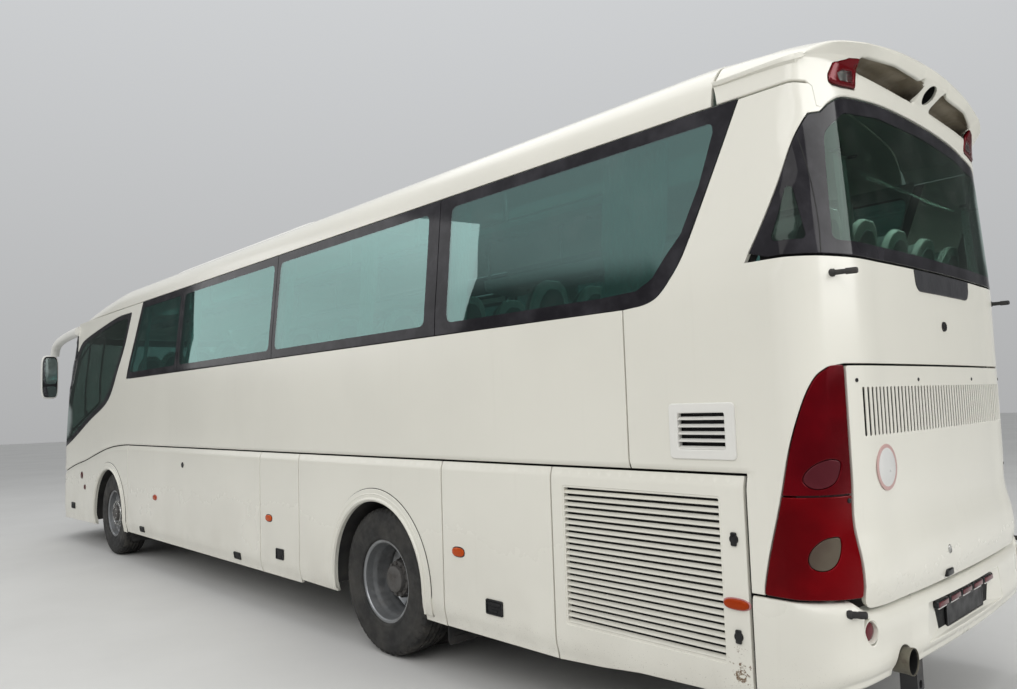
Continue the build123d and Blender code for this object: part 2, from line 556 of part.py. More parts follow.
for x0, x1 in CURTAINS:
    for s in (1, -1):
        if s < 0 and 3900 < x0 < 4900:
            continue
        rows = [(s * 1215, 2290), (s * 1190, 2290), (s * 1105, 3100), (s * 1130, 3100)]
        curt.append(prism(rows, "yz", x0, x1))
for s in (1, -1):
    curt.append(prism([(-366, 2436), (-344, 2436), (-328, 2860), (-350, 2860)], "xz", *sorted((s * 790, s * 940))))
put("curtains", *curt)

# ---------------------------------------------------------------- underneath
RAIL_Y, RAIL_Z = (380.0, 460.0), (640.0, 840.0)
TOW_R = 20.0
rails = []
for s in (1, -1):
    rail = box(-300, 11500, *sorted((s * RAIL_Y[0], s * RAIL_Y[1])), *RAIL_Z)
    for x in (2300, 3640, 8400, 9900):   # jacking pads under the rails
        rail = rail + box(x - 60, x + 60, *sorted((s * 360, s * 480)), 620, 640)
    rails.append(rail)
# a towing socket hangs from the rear end of the left rail, bored lengthways
rails[0] = rails[0] + (box(-370, -290, *RAIL_Y, 325, 700) - cyl("x", RAIL_Y[0] + 40, 365, TOW_R, -390, -270))
put("chassis_rails", *rails)
cross = []
for x in (-300, 1250, 2300, 3600, 4900, 6500, 8200, 8560, 9950, 11420):
    cross.append(box(x, x + 80, -RAIL_Y[0], RAIL_Y[0], RAIL_Z[0] + 40, RAIL_Z[1] - 40))
put("cross_members", *cross)
# posts from the rails up to the cabin floor
posts = []
for x in (-200, 1100, 2100, 3700, 5000, 6600, 8250, 10000, 11300):
    for s in (1, -1):
        top = (CAB_FLOOR if x > X_CAB else Z_FLOOR) - FLOOR_T
        posts.append(box(x, x + 60, *sorted((s * 395, s * 445)), RAIL_Z[1], top))
put("floor_posts", *posts)

bays = []
BAYS = [(4150, 4800), (4850, 8390), (1250, 2180)]
for x0, x1 in BAYS:
    for s in (1, -1):
        if s < 0 and x0 == 4150:
            continue
        ys = sorted((s * 500, s * 1215))
        bays.append(fuse([box(x0, x1, *ys, 400, 425),
                          box(x0, x0 + 20, *ys, 425, 1318), box(x1 - 20, x1, *ys, 425, 1318),
                          box(x0, x1, *sorted((s * 500, s * 520)), 400, 1318)]))
put("luggage_bays", *bays)

put("engine_block", box(-150, 1150, -330, 330, 470, 1250))
pipe = [cyl("x", *EXHAUST, 57, -492, 300) - cyl("x", *EXHAUST, 51, -500, 290)]
muffler = cyl("x", *EXHAUST, 150, 300, 1150)
put("exhaust", fuse(pipe + [muffler]))
flaps = []
for x, z0 in ((2235, 210), (8445, 230)):
    for s in (1, -1):
        y_in = 620 if x < 5000 else 930
        flaps.append(box(x, x + 8, *sorted((s * y_in, s * 1215)), z0, 700))
put("mudflaps", *flaps)

# ---------------------------------------------------------------- axles and wheels
rear_axle = fuse([cyl("y", X_REAR_AXLE, AXLE_Z, 75, -560, 560),
                  Solid.make_sphere(215, Plane((X_REAR_AXLE, 0, AXLE_Z)), -90, 90, 360),
                  cyl("y", X_REAR_AXLE, AXLE_Z, 48, -1100, 1100),
                  cyl("x", 0, AXLE_Z, 55, X_REAR_AXLE - 420, X_REAR_AXLE)])
for s in (1, -1):
    for dx in (-330, 330):
        rear_axle = rear_axle + cyl("z", X_REAR_AXLE + dx, s * 420, 95, 500, 636)
    rear_axle = rear_axle + box(X_REAR_AXLE - 400, X_REAR_AXLE + 400, *sorted((s * 380, s * 460)), 455, 505)
put("rear_axle", rear_axle)
beam = fuse([box(X_FRONT_AXLE - 45, X_FRONT_AXLE + 45, -760, 760, 400, 490)] +
            [box(X_FRONT_AXLE - 45, X_FRONT_AXLE + 45, *sorted((s * 700, s * 856)), 400, 490) for s in (1, -1)] +
            [cyl("z", X_FRONT_AXLE, s * 420, 95, 490, 636) for s in (1, -1)])
for s in (1, -1):
    boss = box(X_FRONT_AXLE - 40, X_FRONT_AXLE + 40, *sorted((s * 820, s * KINGPIN_Y)), 474, 570) + \
        cyl("z", X_FRONT_AXLE, s * KINGPIN_Y, 43, 474, 570)
    beam = beam + boss
    beam = beam - cyl("z", X_FRONT_AXLE, s * KINGPIN_Y, 25.05, 380, 620)
put("front_axle", beam)
for side, s in (("left", 1), ("right", -1)):
    pin = cyl("z", X_FRONT_AXLE, s * KINGPIN_Y, 25, 420, 620)
    upper_ear = box(X_FRONT_AXLE - 40, X_FRONT_AXLE + 40, *sorted((s * 870, s * 990)), 576, 625)
    lower_ear = cyl("z", X_FRONT_AXLE, s * KINGPIN_Y, 33, 424, 466) + \
        box(X_FRONT_AXLE - 30, X_FRONT_AXLE + 30, *sorted((s * KINGPIN_Y, s * 990)), 424, 466)
    web = box(X_FRONT_AXLE - 45, X_FRONT_AXLE + 45, *sorted((s * 957, s * 990)), 424, 625)
    spindle = cyl("y", X_FRONT_AXLE, AXLE_Z, 45, *sorted((s * 985, s * 1150)))
    arm = box(X_FRONT_AXLE - 225, X_FRONT_AXLE - 35, *sorted((s * 962, s * 988)), 560, 600)
    put("steering_knuckle_" + side, fuse([pin, upper_ear, lower_ear, web, spindle, arm]))


def tyre(yc, x):
    w, r = TYRE_W / 2, TYRE_R
    rows = [(yc - w + 22, RIM_R), (yc - w, RIM_R + 55), (yc - w, r - 90), (yc - w + 18, r - 22),
            (yc - w + 45, r), (yc + w - 45, r), (yc + w - 18, r - 22), (yc + w, r - 90),
            (yc + w, RIM_R + 55), (yc + w - 22, RIM_R)]
    return revolve_y(rows, x, AXLE_Z)


for side, s in (("left", 1), ("right", -1)):
    put("front_tyre_" + side, tyre(s * FRONT_TYRE_Y, X_FRONT_AXLE))
    put("rear_tyres_" + side, tyre(s * REAR_TYRE_Y[0], X_REAR_AXLE), tyre(s * REAR_TYRE_Y[1], X_REAR_AXLE))
    # front rim: barrel, disc near the outside, hub boss round the spindle
    f0 = FRONT_TYRE_Y
    rows = [(f0 - 122, RIM_R - 0.5), (f0 + 122, RIM_R - 0.5), (f0 + 122, RIM_R - 26), (f0 + 60, RIM_R - 34),
            (f0 + 46, 235), (f0 + 72, 175), (f0 + 72, 110), (f0 + 128, 96), (f0 + 128, 0.0), (f0 + 78, 0.0),
            (f0 + 78, 45.05), (f0 - 60, 45.05), (f0 - 60, 80), (f0 + 40, 95), (f0 + 50, 165), (f0 + 26, 238),
            (f0 + 20, RIM_R - 48), (f0 - 122, RIM_R - 26)]
    put("front_rim_" + side, revolve_y([(s * y, r) for y, r in rows], X_FRONT_AXLE, AXLE_Z))
    # rear rims: the outer one is dished in, the hub stands out of it
    o, i = REAR_TYRE_Y
    outer_rim = [(o - 122, RIM_R - 0.5), (o + 122, RIM_R - 0.5), (o + 122, RIM_R - 26), (o - 70, RIM_R - 36),
                 (o - 100, 240), (o - 128, 180), (o - 128, 150), (o + 30, 125), (o + 60, 95), (o + 60, 0),
                 (o + 20, 0), (o + 20, 48.05), (o - 150, 48.05), (o - 150, 150), (o - 146, 250), (o - 122, RIM_R - 26)]
    inner_rim = [(i - 122, RIM_R - 0.5), (i + 122, RIM_R - 0.5), (i + 122, 255), (i + 181, 252), (i + 181, 149),
                 (i + 160, 149), (i + 160, 230), (i + 100, 235), (i - 122, RIM_R - 26)]
    both = revolve_y([(s * y, r) for y, r in outer_rim], X_REAR_AXLE, AXLE_Z) + \
        revolve_y([(s * y, r) for y, r in inner_rim], X_REAR_AXLE, AXLE_Z)
    put("rear_rim_" + side, both)

# steering wheel on its column, tilted forward
SW_C = (10860.0, 660.0, 1890.0)
SW_TILT = 62.0            # of the wheel's axis above level
sw_axis = Vector(-math.cos(math.radians(SW_TILT)), 0, math.sin(math.radians(SW_TILT)))
pl = Plane(origin=SW_C, z_dir=sw_axis)
sw = Solid.make_torus(225, 16, pl)
hub_c = Solid.make_cylinder(55, 50, Plane(origin=Vector(*SW_C) - sw_axis * 45, z_dir=sw_axis))
spokes = []
for k in range(3):
    a = math.radians(35 + 120 * k)
    d = pl.x_dir * math.cos(a) + pl.y_dir * math.sin(a)
    side_way = pl.z_dir.cross(d)
    start = Vector(*SW_C) - sw_axis * 5 - side_way * 15 + d * 20
    spokes.append(Solid.make_box(200, 30, 8, Plane(origin=start, x_dir=d, z_dir=sw_axis)))
put("steering_wheel", fuse([sw, hub_c] + spokes))
col_end = Vector(*SW_C) - sw_axis * 47
column = Solid.make_cylinder(32, 800, Plane(origin=col_end, z_dir=sw_axis * -1))
column = column - (dash & body(WALL + 12)) - box(10000, 12000, 0, 1400, 0, CAB_FLOOR)
put("steering_column", sorted(column.solids(), key=lambda q: q.volume)[-1])

# ---------------------------------------------------------------- passenger doors
ARM_L = 520.0


def bus_door(d, hinge_end, name, wz0):
    x0, x1, z0, z1 = d
    zone = box(x0, x1, -1500, -500, z0, z1)
    panel = shell & zone
    hole = box(x0 + 90, x1 - 90, -1500, -500, wz0, z1 - 95)
    low_hole = box(x0 + 90, x1 - 90, -1500, -500, 760, wz0 - 110)
    pane = (outer - glass_in) & box(x0 + 78, x1 - 78, -1500, -500, 748, z1 - 83)
    frame = (panel - hole - low_hole) - ((outer - glass_in) & box(x0 + 78, x1 - 78, -1500, -500, 748, z1 - 83))
    post_x = x1 - 75 if hinge_end > 0 else x0 + 75
    end_x = post_x - hinge_end * ARM_L
    # pivot eyes on the inside of the door
    eyes = []
    for z in (900, 1900):
        e = box(end_x - 28, end_x + 28, -1236, -1130, z + 16, z + 36) + \
            box(end_x - 28, end_x + 28, -1236, -1130, z - 36, z - 16)
        e = e + cyl("z", end_x, -1158, 10, z - 30, z + 30)
        eyes.append(e)
        eyes.append(box(x0 + 60, x1 - 60, -1236, -1212, z - 36, z + 36))
    put(name, fuse([frame] + eyes), pane)
    post = cyl("z", post_x, -1158, 22, 720, 2080)
    bars = []
    for z in (900, 1900):
        bars.append((box(*sorted((post_x, end_x)), -1172, -1144, z - 14, z + 14) +
                     cyl("z", end_x, -1158, 22, z - 14, z + 14)) - cyl("z", end_x, -1158, 10.05, z - 40, z + 40))
    arm = fuse([post] + bars) - cyl("z", post_x, -1158, 12.05, 700, 746) - cyl("z", post_x, -1158, 12.05, 2054, 2100)
    put(name + "_arm", arm)


bus_door(FRONT_DOOR, 1, "front_door", 1500)
bus_door(MID_DOOR, -1, "middle_door", 1500)

for name, solids in OUT.items():
    shape = solids[0] if len(solids) == 1 else Compound(children=solids)
    export_step(shape, "parts/" + name + ".step")
    print(name, len(solids), [round(v) for v in (*shape.bounding_box().min, *shape.bounding_box().max)])
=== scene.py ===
import math
import bpy
import bmesh
import numpy as np
from mathutils import Vector, Matrix
from mathutils.geometry import delaunay_2d_cdt
from mathutils.kdtree import KDTree


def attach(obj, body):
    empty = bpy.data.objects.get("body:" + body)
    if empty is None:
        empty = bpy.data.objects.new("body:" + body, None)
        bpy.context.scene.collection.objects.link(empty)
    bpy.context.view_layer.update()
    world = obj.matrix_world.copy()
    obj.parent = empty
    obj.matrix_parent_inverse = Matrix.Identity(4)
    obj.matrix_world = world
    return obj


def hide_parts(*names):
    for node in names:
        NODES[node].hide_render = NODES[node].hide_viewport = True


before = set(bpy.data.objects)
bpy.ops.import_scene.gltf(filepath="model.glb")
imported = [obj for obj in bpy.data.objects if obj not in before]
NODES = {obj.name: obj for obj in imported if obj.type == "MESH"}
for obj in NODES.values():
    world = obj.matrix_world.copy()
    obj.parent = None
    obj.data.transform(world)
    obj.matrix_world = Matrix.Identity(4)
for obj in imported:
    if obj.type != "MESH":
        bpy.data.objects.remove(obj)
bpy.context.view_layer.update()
XM = 5.770        # the measurements below have x = 0 at the engine side door's rear edge
COL = bpy.context.scene.collection


# ------------------------------------------------------------------ small maths
def smooth01(t):
    t = np.clip(t, 0.0, 1.0)
    return t * t * (3 - 2 * t)


def pchip(xs, ys):
    """Monotone cubic through points; straight on past both ends."""
    xs, ys = np.asarray(xs, float), np.asarray(ys, float)
    h, d = np.diff(xs), np.diff(ys) / np.diff(xs)
    m = np.zeros(len(xs))
    for i in range(1, len(xs) - 1):
        if d[i - 1] * d[i] > 0:
            w1, w2 = 2 * h[i] + h[i - 1], h[i] + 2 * h[i - 1]
            m[i] = (w1 + w2) / (w1 / d[i - 1] + w2 / d[i])
    m[0], m[-1] = d[0], d[-1]

    def f(x):
        x = np.asarray(x, float)
        k = np.clip(np.searchsorted(xs, x) - 1, 0, len(xs) - 2)
        t = (x - xs[k]) / h[k]
        a = (1 + 2 * t) * (1 - t) ** 2 * ys[k] + t * (1 - t) ** 2 * h[k] * m[k] + \
            t * t * (3 - 2 * t) * ys[k + 1] + t * t * (t - 1) * h[k] * m[k + 1]
        lo = ys[0] + (x - xs[0]) * m[0]
        hi = ys[-1] + (x - xs[-1]) * m[-1]
        return np.where(x < xs[0], lo, np.where(x > xs[-1], hi, a))
    return f


def spline2(points, t0, t1, n=3000):
    """Smooth curve through points with given end directions: arc length table s, x, y."""
    p = np.asarray(points, float)
    seg = np.linalg.norm(np.diff(p, axis=0), axis=1)
    m = np.zeros_like(p)
    for i in range(1, len(p) - 1):
        a, b = (p[i] - p[i - 1]) / seg[i - 1], (p[i + 1] - p[i]) / seg[i]
        m[i] = (a * seg[i] + b * seg[i - 1]) / (seg[i] + seg[i - 1])
    m[0], m[-1] = np.asarray(t0, float), np.asarray(t1, float)
    out = []
    for i in range(len(p) - 1):
        t = np.linspace(0, 1, max(8, int(n * seg[i] / seg.sum())), endpoint=False)[:, None]
        out.append((1 + 2 * t) * (1 - t) ** 2 * p[i] + t * (1 - t) ** 2 * seg[i] * m[i] +
                   t * t * (3 - 2 * t) * p[i + 1] + t * t * (t - 1) * seg[i] * m[i + 1])
    out.append(p[-1:])
    c = np.vstack(out)
    s = np.concatenate([[0], np.cumsum(np.linalg.norm(np.diff(c, axis=0), axis=1))])
    return s, c[:, 0], c[:, 1]


def arc3(a, b, c, n=24):
    """Points on the arc through a, b, c."""
    a, b, c = (np.asarray(q, float) for q in (a, b, c))
    d = 2 * (a[0] * (b[1] - c[1]) + b[0] * (c[1] - a[1]) + c[0] * (a[1] - b[1]))
    ux = ((a @ a) * (b[1] - c[1]) + (b @ b) * (c[1] - a[1]) + (c @ c) * (a[1] - b[1])) / d
    uy = ((a @ a) * (c[0] - b[0]) + (b @ b) * (a[0] - c[0]) + (c @ c) * (b[0] - a[0])) / d
    o = np.array([ux, uy])
    r = np.linalg.norm(a - o)
    ang = [math.atan2(*(q - o)[::-1]) for q in (a, b, c)]
    for k in (1, 2):
        while ang[k] - ang[k - 1] > math.pi:
            ang[k] -= 2 * math.pi
        while ang[k] - ang[k - 1] < -math.pi:
            ang[k] += 2 * math.pi
    t = np.linspace(ang[0], ang[2], n)
    return np.stack([o[0] + r * np.cos(t), o[1] + r * np.sin(t)], 1)


def smin(a, b, k):
    k = np.maximum(k, 1e-6)
    h = np.clip(0.5 + 0.5 * (b - a) / k, 0, 1)
    return b * (1 - h) + a * h - k * h * (1 - h)


def unit(v):
    v = np.asarray(v, float)
    return v / np.maximum(np.linalg.norm(v, axis=-1, keepdims=True), 1e-12)


# ------------------------------------------------------------------ the body's outer surface
Y_SEC = pchip([0.20, 0.255, 0.355, 0.45, 0.50, 2.24, 2.36, 2.60, 3.22, 3.40],
              [1.246, 1.248, 1.250, 1.272, 1.275, 1.275, 1.2692, 1.245, 1.183, 1.165])
DROP = pchip([-0.70, -0.10, 0.30, 8.90, 9.60, 10.40, 11.20, 12.00],
             [0.110, 0.020, 0.0, 0.0, 0.045, 0.130, 0.270, 0.450])
NOSE_LEAN = pchip([0.2, 0.9, 1.3, 1.7, 2.1, 2.5, 2.9, 3.7],
                  [0.0, 0.0, -0.015, -0.075, -0.160, -0.265, -0.390, -0.690])
RS, RX, RY = spline2([(-0.450, 0), (-0.447, 0.33), (-0.433, 0.71), (-0.411, 0.986), (-0.385, 1.070),
                      (-0.346, 1.158), (-0.276, 1.236), (-0.190, 1.275)], (0, 1), (1, 0))
NS, NX, NY = spline2([(11.880, 0), (11.835, 0.45), (11.700, 0.85), (11.540, 1.11), (11.200, 1.275)],
                     (0, 1), (-1, 0))
LR, LN = RS[-1], NS[-1]
_o = np.argsort(RX)
_RXs, _RYs = RX[_o], RY[_o]
_o = np.argsort(NX)
_NXs, _NYs = NX[_o], NY[_o]


def tail_lean(z):
    q, w = np.asarray(z, float) - 2.365, 0.07
    return 0.0599 * np.where(q < -w, 0, np.where(q > w, q, (q + w) ** 2 / (4 * w)))


def drop(x):
    return DROP(x)


def y_sec(x, z):
    z = np.asarray(z, float)
    zz = z + drop(x) * smooth01((z - 1.5) / 0.5)
    return Y_SEC(zz)


def soft_y(plan, sec):
    """The nearer of the plan curve and the leaning side, with a rounded crease."""
    return smin(plan, sec, 0.022 * smooth01((1.272 - sec) / 0.02))


def side(P, s=1):
    """Side of the body over (x, z)."""
    x, z = P[:, 0], P[:, 1]
    xr = x - tail_lean(z)
    yr = np.where(xr > -0.19, 1.275 + (xr + 0.19) * 0.6, np.interp(xr, _RXs, _RYs))
    xn = x - NOSE_LEAN(z)
    yn = np.where(xn < 11.2, 1.275 + (11.2 - xn) * 0.6, np.interp(xn, _NXs, _NYs))
    sec = y_sec(x, z)
    y = np.where(x < 5, soft_y(np.minimum(yr, 1.5), sec), soft_y(np.minimum(yn, 1.5), sec))
    y = np.minimum(y, 1.275) - groove(x, z)
    return np.stack([x, s * y, z], 1)


def rear(P):
    """Tail of the body over (t, z): t is the way round from the middle, left is plus."""
    t, z = P[:, 0], P[:, 1]
    a, sg = np.abs(t), np.where(t < 0, -1.0, 1.0)
    over = np.maximum(a - LR, 0)
    x = np.interp(a, RS, RX) + over
    y = np.interp(a, RS, RY) + np.minimum(over * 0.6, 0.225)
    x = x + tail_lean(z) * (1 - smooth01((a - LR) / 0.8))
    y = np.minimum(soft_y(y, y_sec(x, z)), 1.275) - groove(x, z)
    return np.stack([x, sg * y, z], 1)


def nose(P):
    """Front of the body over (t, z)."""
    t, z = P[:, 0], P[:, 1]
    a, sg = np.abs(t), np.where(t < 0, -1.0, 1.0)
    over = np.maximum(a - LN, 0)
    x = np.interp(a, NS, NX) - over
    y = np.interp(a, NS, NY) + np.minimum(over * 0.6, 0.225)
    x = x + NOSE_LEAN(z) * (1 - smooth01((a - LN) / 1.7))
    y = np.minimum(soft_y(y, y_sec(x, z)), 1.275)
    g = groove(x, z)
    k = smooth01((x - 11.45) / 0.30)
    x, y = x - g * k, y - g * (1 - k)
    return np.stack([x, sg * y, z], 1)


def t_of(surf, col, want, z, lo, hi):
    """The t at which a wrapped surface has the wanted x (col 0) or y (col 1) at height z."""
    want, z = np.asarray(want, float), np.asarray(z, float)
    a, b = np.full(want.shape, lo, float), np.full(want.shape, hi, float)
    fa = surf(np.stack([a, z], 1))[:, col]
    fb = surf(np.stack([b, z], 1))[:, col]
    up = fb > fa
    for _ in range(46):
        m = (a + b) / 2
        f = surf(np.stack([m, z], 1))[:, col]
        low = (f < want) == up
        a, b = np.where(low, m, a), np.where(low, b, m)
    return (a + b) / 2


def rear_t(points):
    """(x, z) on the left rear corner as (t, z)."""
    p = np.asarray(points, float)
    return np.stack([t_of(rear, 0, p[:, 0], p[:, 1], 0.0, LR + 3.0), p[:, 1]], 1)


def rear_y(points):
    """(y, z) on the tail as (t, z)."""
    p = np.asarray(points, float)
    t = t_of(rear, 1, np.abs(p[:, 0]), p[:, 1], 0.0, LR)
    return np.stack([np.sign(p[:, 0]) * t, p[:, 1]], 1)


def nose_t(points):
    p = np.asarray(points, float)
    return np.stack([t_of(nose, 0, p[:, 0], p[:, 1], 0.0, LN + 3.0), p[:, 1]], 1)


def nose_y(points):
    p = np.asarray(points, float)
    t = t_of(nose, 1, np.abs(p[:, 0]), p[:, 1], 0.0, LN)
    return np.stack([np.sign(p[:, 0]) * t, p[:, 1]], 1)


# waist line, and the shallow groove that runs along it
CREASE = pchip([-0.80, 8.446, 8.945, 9.332, 9.770, 10.237, 10.735, 11.432, 11.70, 12.20],
               [1.408, 1.408, 1.384, 1.340, 1.262, 1.170, 1.092, 0.955, 0.922, 0.905])


def groove(x, z):
    q = z - CREASE(x)
    w = np.where(q > 0, 0.017, 0.036)
    return 0.017 * np.exp(-(q / w) ** 2) * smooth01((x + 0.062) / 0.08)


# the tail swells out again below a hollow bend
BULGE = pchip([0.80, 0.84, 0.88, 0.95, 1.04, 1.12, 1.18, 1.24, 1.40, 1.90],
              [0.000, 0.008, 0.021, 0.031, 0.026, 0.010, -0.002, -0.006, 0.0, 0.0])


def rear_b(P):
    """The tail with its swelling, for the engine lid and the tail lamps."""
    S = rear(P)
    z = P[:, 1]
    b = np.where(z < 1.88, BULGE(np.clip(z, 0.80, 1.90)), 0.0) * (1 - smooth01((np.abs(P[:, 0]) - 0.98) / 0.36))
    S[:, 0] -= b
    return S


# rear bumper: a section carried round its plan curve
_b = np.vstack([arc3((-0.482, 0), (-0.469, 0.52), (-0.430, 1.036), 30)[:-1],
                arc3((-0.430, 1.036), (-0.352, 1.203), (-0.200, 1.275), 40), [(-0.02, 1.275), (0.06, 1.275)]])
_s = np.concatenate([[0], np.cumsum(np.linalg.norm(np.diff(_b, axis=0), axis=1))])
BS = np.linspace(0, _s[-1], 900)
_k = 40
_w = np.hanning(2 * _k + 3)[1:-1]
_w /= _w.sum()


def _soft(v, odd):
    left = -v[1:_k + 1][::-1] if odd else v[1:_k + 1][::-1]
    right = 2 * v[-1] - v[-_k - 1:-1][::-1]
    return np.convolve(np.concatenate([left, v, right]), _w, "valid")


BX, BY = _soft(np.interp(BS, _s, _b[:, 0]), False), _soft(np.interp(BS, _s, _b[:, 1]), True)
_dx, _dy = np.gradient(BX, BS), np.gradient(BY, BS)
BNX, BNY = -_dy / np.hypot(_dx, _dy), _dx / np.hypot(_dx, _dy)
B_LOW = pchip([-0.482, -0.40, -0.30, -0.15, 0.004, 0.06], [0.530, 0.515, 0.475, 0.434, 0.413, 0.410])
_sec = np.array([(0.140, 0.533), (0.060, 0.530), (0.034, 0.532), (0.025, 0.540), (0.022, 0.556), (0.018, 0.570),
                 (0.007, 0.583), (0.0, 0.598), (0.0, 0.69), (0.0, 0.768), (0.005, 0.793), (0.016, 0.812),
                 (0.034, 0.8235), (0.060, 0.826), (0.110, 0.826)])
BV, BSO, BSZ = spline2(_sec, (-1, 0.05), (1, 0.0), 1500)


def bumper_v(z):
    """Distance along the bumper's section at height z of its upright face."""
    return float(np.interp(z, BSZ, BV))


BV_FACE = (bumper_v(0.60), bumper_v(0.76))


def bump(P):
    """Rear bumper over (t, v); its lower edge falls towards the sides."""
    a, sg, v = np.abs(P[:, 0]), np.where(P[:, 0] < 0, -1.0, 1.0), P[:, 1]
    x, y = np.interp(a, BS, BX), np.interp(a, BS, BY)
    nx, ny = np.interp(a, BS, BNX), np.interp(a, BS, BNY)
    n = np.hypot(nx, ny)
    nx, ny = nx / n, ny / n
    o = np.interp(v, BV, BSO) + np.maximum(-v, 0) + np.maximum(v - BV[-1], 0)
    z = np.interp(v, BV, BSZ)
    o = o * (0.22 + 0.78 * smooth01(np.abs(nx) * 1.4))
    z = z + (B_LOW(x) - 0.530) * (1 - np.clip((v - BV_FACE[0]) / (BV_FACE[1] - BV_FACE[0]), 0, 1))
    z = z + 0.054 * smooth01((a - 1.02) / 0.12) * smooth01((v - BV_FACE[0]) / (BV_FACE[1] - BV_FACE[0]))
    return np.stack([x - nx * o, sg * (y - ny * o), z], 1)


# roof section: way round from the middle of the roof down to the seam above the glass
_z = np.linspace(3.02, 3.20, 10)
_sec = np.vstack([np.stack([Y_SEC(_z), _z], 1), arc3((1.183, 3.22), (1.128, 3.345), (1.0, 3.42)),
                  arc3((1.0, 3.42), (0.52, 3.496), (0, 3.52))[1:]])[::-1]
_s = np.concatenate([[0], np.cumsum(np.linalg.norm(np.diff(_sec, axis=0), axis=1))])
RFS = np.linspace(0, _s[-1], 700)
_yy, _zz = np.interp(RFS, _s, _sec[:, 0]), np.interp(RFS, _s, _sec[:, 1])
for _ in range(3):      # soften the joints between the arcs
    k = 22
    py = np.concatenate([-_yy[1:k + 1][::-1], _yy, 2 * _yy[-1] - _yy[-k - 1:-1][::-1]])
    pz = np.concatenate([_zz[1:k + 1][::-1], _zz, 2 * _zz[-1] - _zz[-k - 1:-1][::-1]])
    w = np.hanning(2 * k + 3)[1:-1]
    w /= w.sum()
    _yy, _zz = np.convolve(py, w, "valid"), np.convolve(pz, w, "valid")
RFY, RFZ = _yy, _zz


def roof_a(z):
    """Way round at which the roof's base section has height z, near the seam."""
    return float(np.interp(-z, -RFZ, RFS))


A_SEAM = roof_a(3.158)


def roof(P):
    """Roof over (x, way round); left is plus."""
    x, a = P[:, 0], P[:, 1]
    q, sg = np.abs(a), np.where(a < 0, -1.0, 1.0)
    y, z = np.interp(q, RFS, RFY), np.interp(q, RFS, RFZ) - drop(x)
    yn = np.interp(np.clip(y, 0, 1.275), NY, NX)
    zn = 2.9 + (yn - 0.390 - x) / 0.375
    z = np.where(x > 9.5, smin(z, zn, 0.16), z)
    return np.stack([x, sg * y, z], 1)


def offset(surf, sign, d):
    """The same surface moved in by d."""
    def f(P):
        return surf(P) - sign * normals_of(surf, P) * d
    return f


def normals_of(surf, P, h=1.5e-3):
    du = surf(P + [h, 0]) - surf(P - [h, 0])
    dv = surf(P + [0, h]) - surf(P - [0, h])
    return unit(np.cross(du, dv))


# ------------------------------------------------------------------ collecting meshes
class Part:
    """Patches of one piece; done() makes them one mesh that rides on a body."""

    def __init__(self, name, body, mats, slot=None, replaces=(), angle=35):
        self.name, self.body, self.mats, self.slot = name, body, mats, slot
        self.replaces, self.angle = replaces, angle
        self.v, self.f, self.m, self.n, self.count = [], [], [], [], 0

    def add(self, verts, faces, mat=0, normals=None, flip=False):
        """normals: one for each vertex, or one list for each face's corners, or None."""
        verts = np.asarray(verts, float).reshape(-1, 3)
        base = self.count
        per_face = isinstance(normals, list)
        for i, f in enumerate(faces):
            idx = [int(k) + base for k in f]
            c = None
            if normals is not None:
                c = normals[i] if per_face else [normals[k] for k in f]
            if flip:
                idx = idx[::-1]
                c = c[::-1] if c is not None else None
            self.f.append(idx)
            self.n.append(c)
            self.m.append(mat if np.isscalar(mat) else int(mat[i]))
        self.v.append(verts)
        self.count += len(verts)
        return base

    def done(self, shift=True):
        me = bpy.data.meshes.new(self.name)
        V = np.concatenate(self.v)
        if shift:
            V = V - [XM, 0, 0]
        me.from_pydata(V.tolist(), [], self.f)
        me.polygons.foreach_set("material_index", self.m)
        me.polygons.foreach_set("use_smooth", [True] * len(self.f))
        me.set_sharp_from_angle(angle=math.radians(self.angle))
        if any(c is not None for c in self.n):
            cn = np.zeros(len(me.loops) * 3)
            me.corner_normals.foreach_get("vector", cn)
            cn = cn.reshape(-1, 3)
            k = 0
            for f, c in zip(self.f, self.n):
                if c is not None:
                    cn[k:k + len(f)] = c
                k += len(f)
            me.normals_split_custom_set(unit(cn).tolist())
        for m in self.mats:
            me.materials.append(m)
        ob = bpy.data.objects.new(self.name, me)
        COL.objects.link(ob)
        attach(ob, self.body)
        if self.replaces:
            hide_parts(*self.replaces)
        return ob


def loop_area(p):
    x, y = p[:, 0], p[:, 1]
    return 0.5 * float(np.sum(x * np.roll(y, -1) - np.roll(x, -1) * y))


def fillet(points, r=0.0, seg=5):
    """Closed loop with rounded corners; a point may carry its own radius."""
    pts = [(np.array(p[:2], float), (p[2] if len(p) > 2 else r)) for p in points]
    out, n = [], len(pts)
    for i in range(n):
        p, rr = pts[i]
        a, b = pts[i - 1][0] - p, pts[(i + 1) % n][0] - p
        la, lb = np.linalg.norm(a), np.linalg.norm(b)
        a, b = a / la, b / lb
        ang = math.acos(max(-1.0, min(1.0, float(a @ b))))
        if rr <= 0 or ang > math.pi - 0.03:
            out.append(p)
            continue
        t = min(rr / math.tan(ang / 2), 0.48 * la, 0.48 * lb)
        rr = t * math.tan(ang / 2)
        c = p + unit(a + b) * (rr / math.sin(ang / 2))
        s0, s1 = p + a * t - c, p + b * t - c
        a0, a1 = math.atan2(s0[1], s0[0]), math.atan2(s1[1], s1[0])
        d = (a1 - a0 + math.pi) % (2 * math.pi) - math.pi
        k = max(2, int(round(abs(d) / (math.pi / 2) * seg)))
        for j in range(k + 1):
            w = a0 + d * j / k
            out.append(c + rr * np.array([math.cos(w), math.sin(w)]))
    return np.array(out)


def rect(x0, x1, z0, z1, r=0.0, seg=5):
    return fillet([(x0, z0), (x1, z0), (x1, z1), (x0, z1)], r, seg)


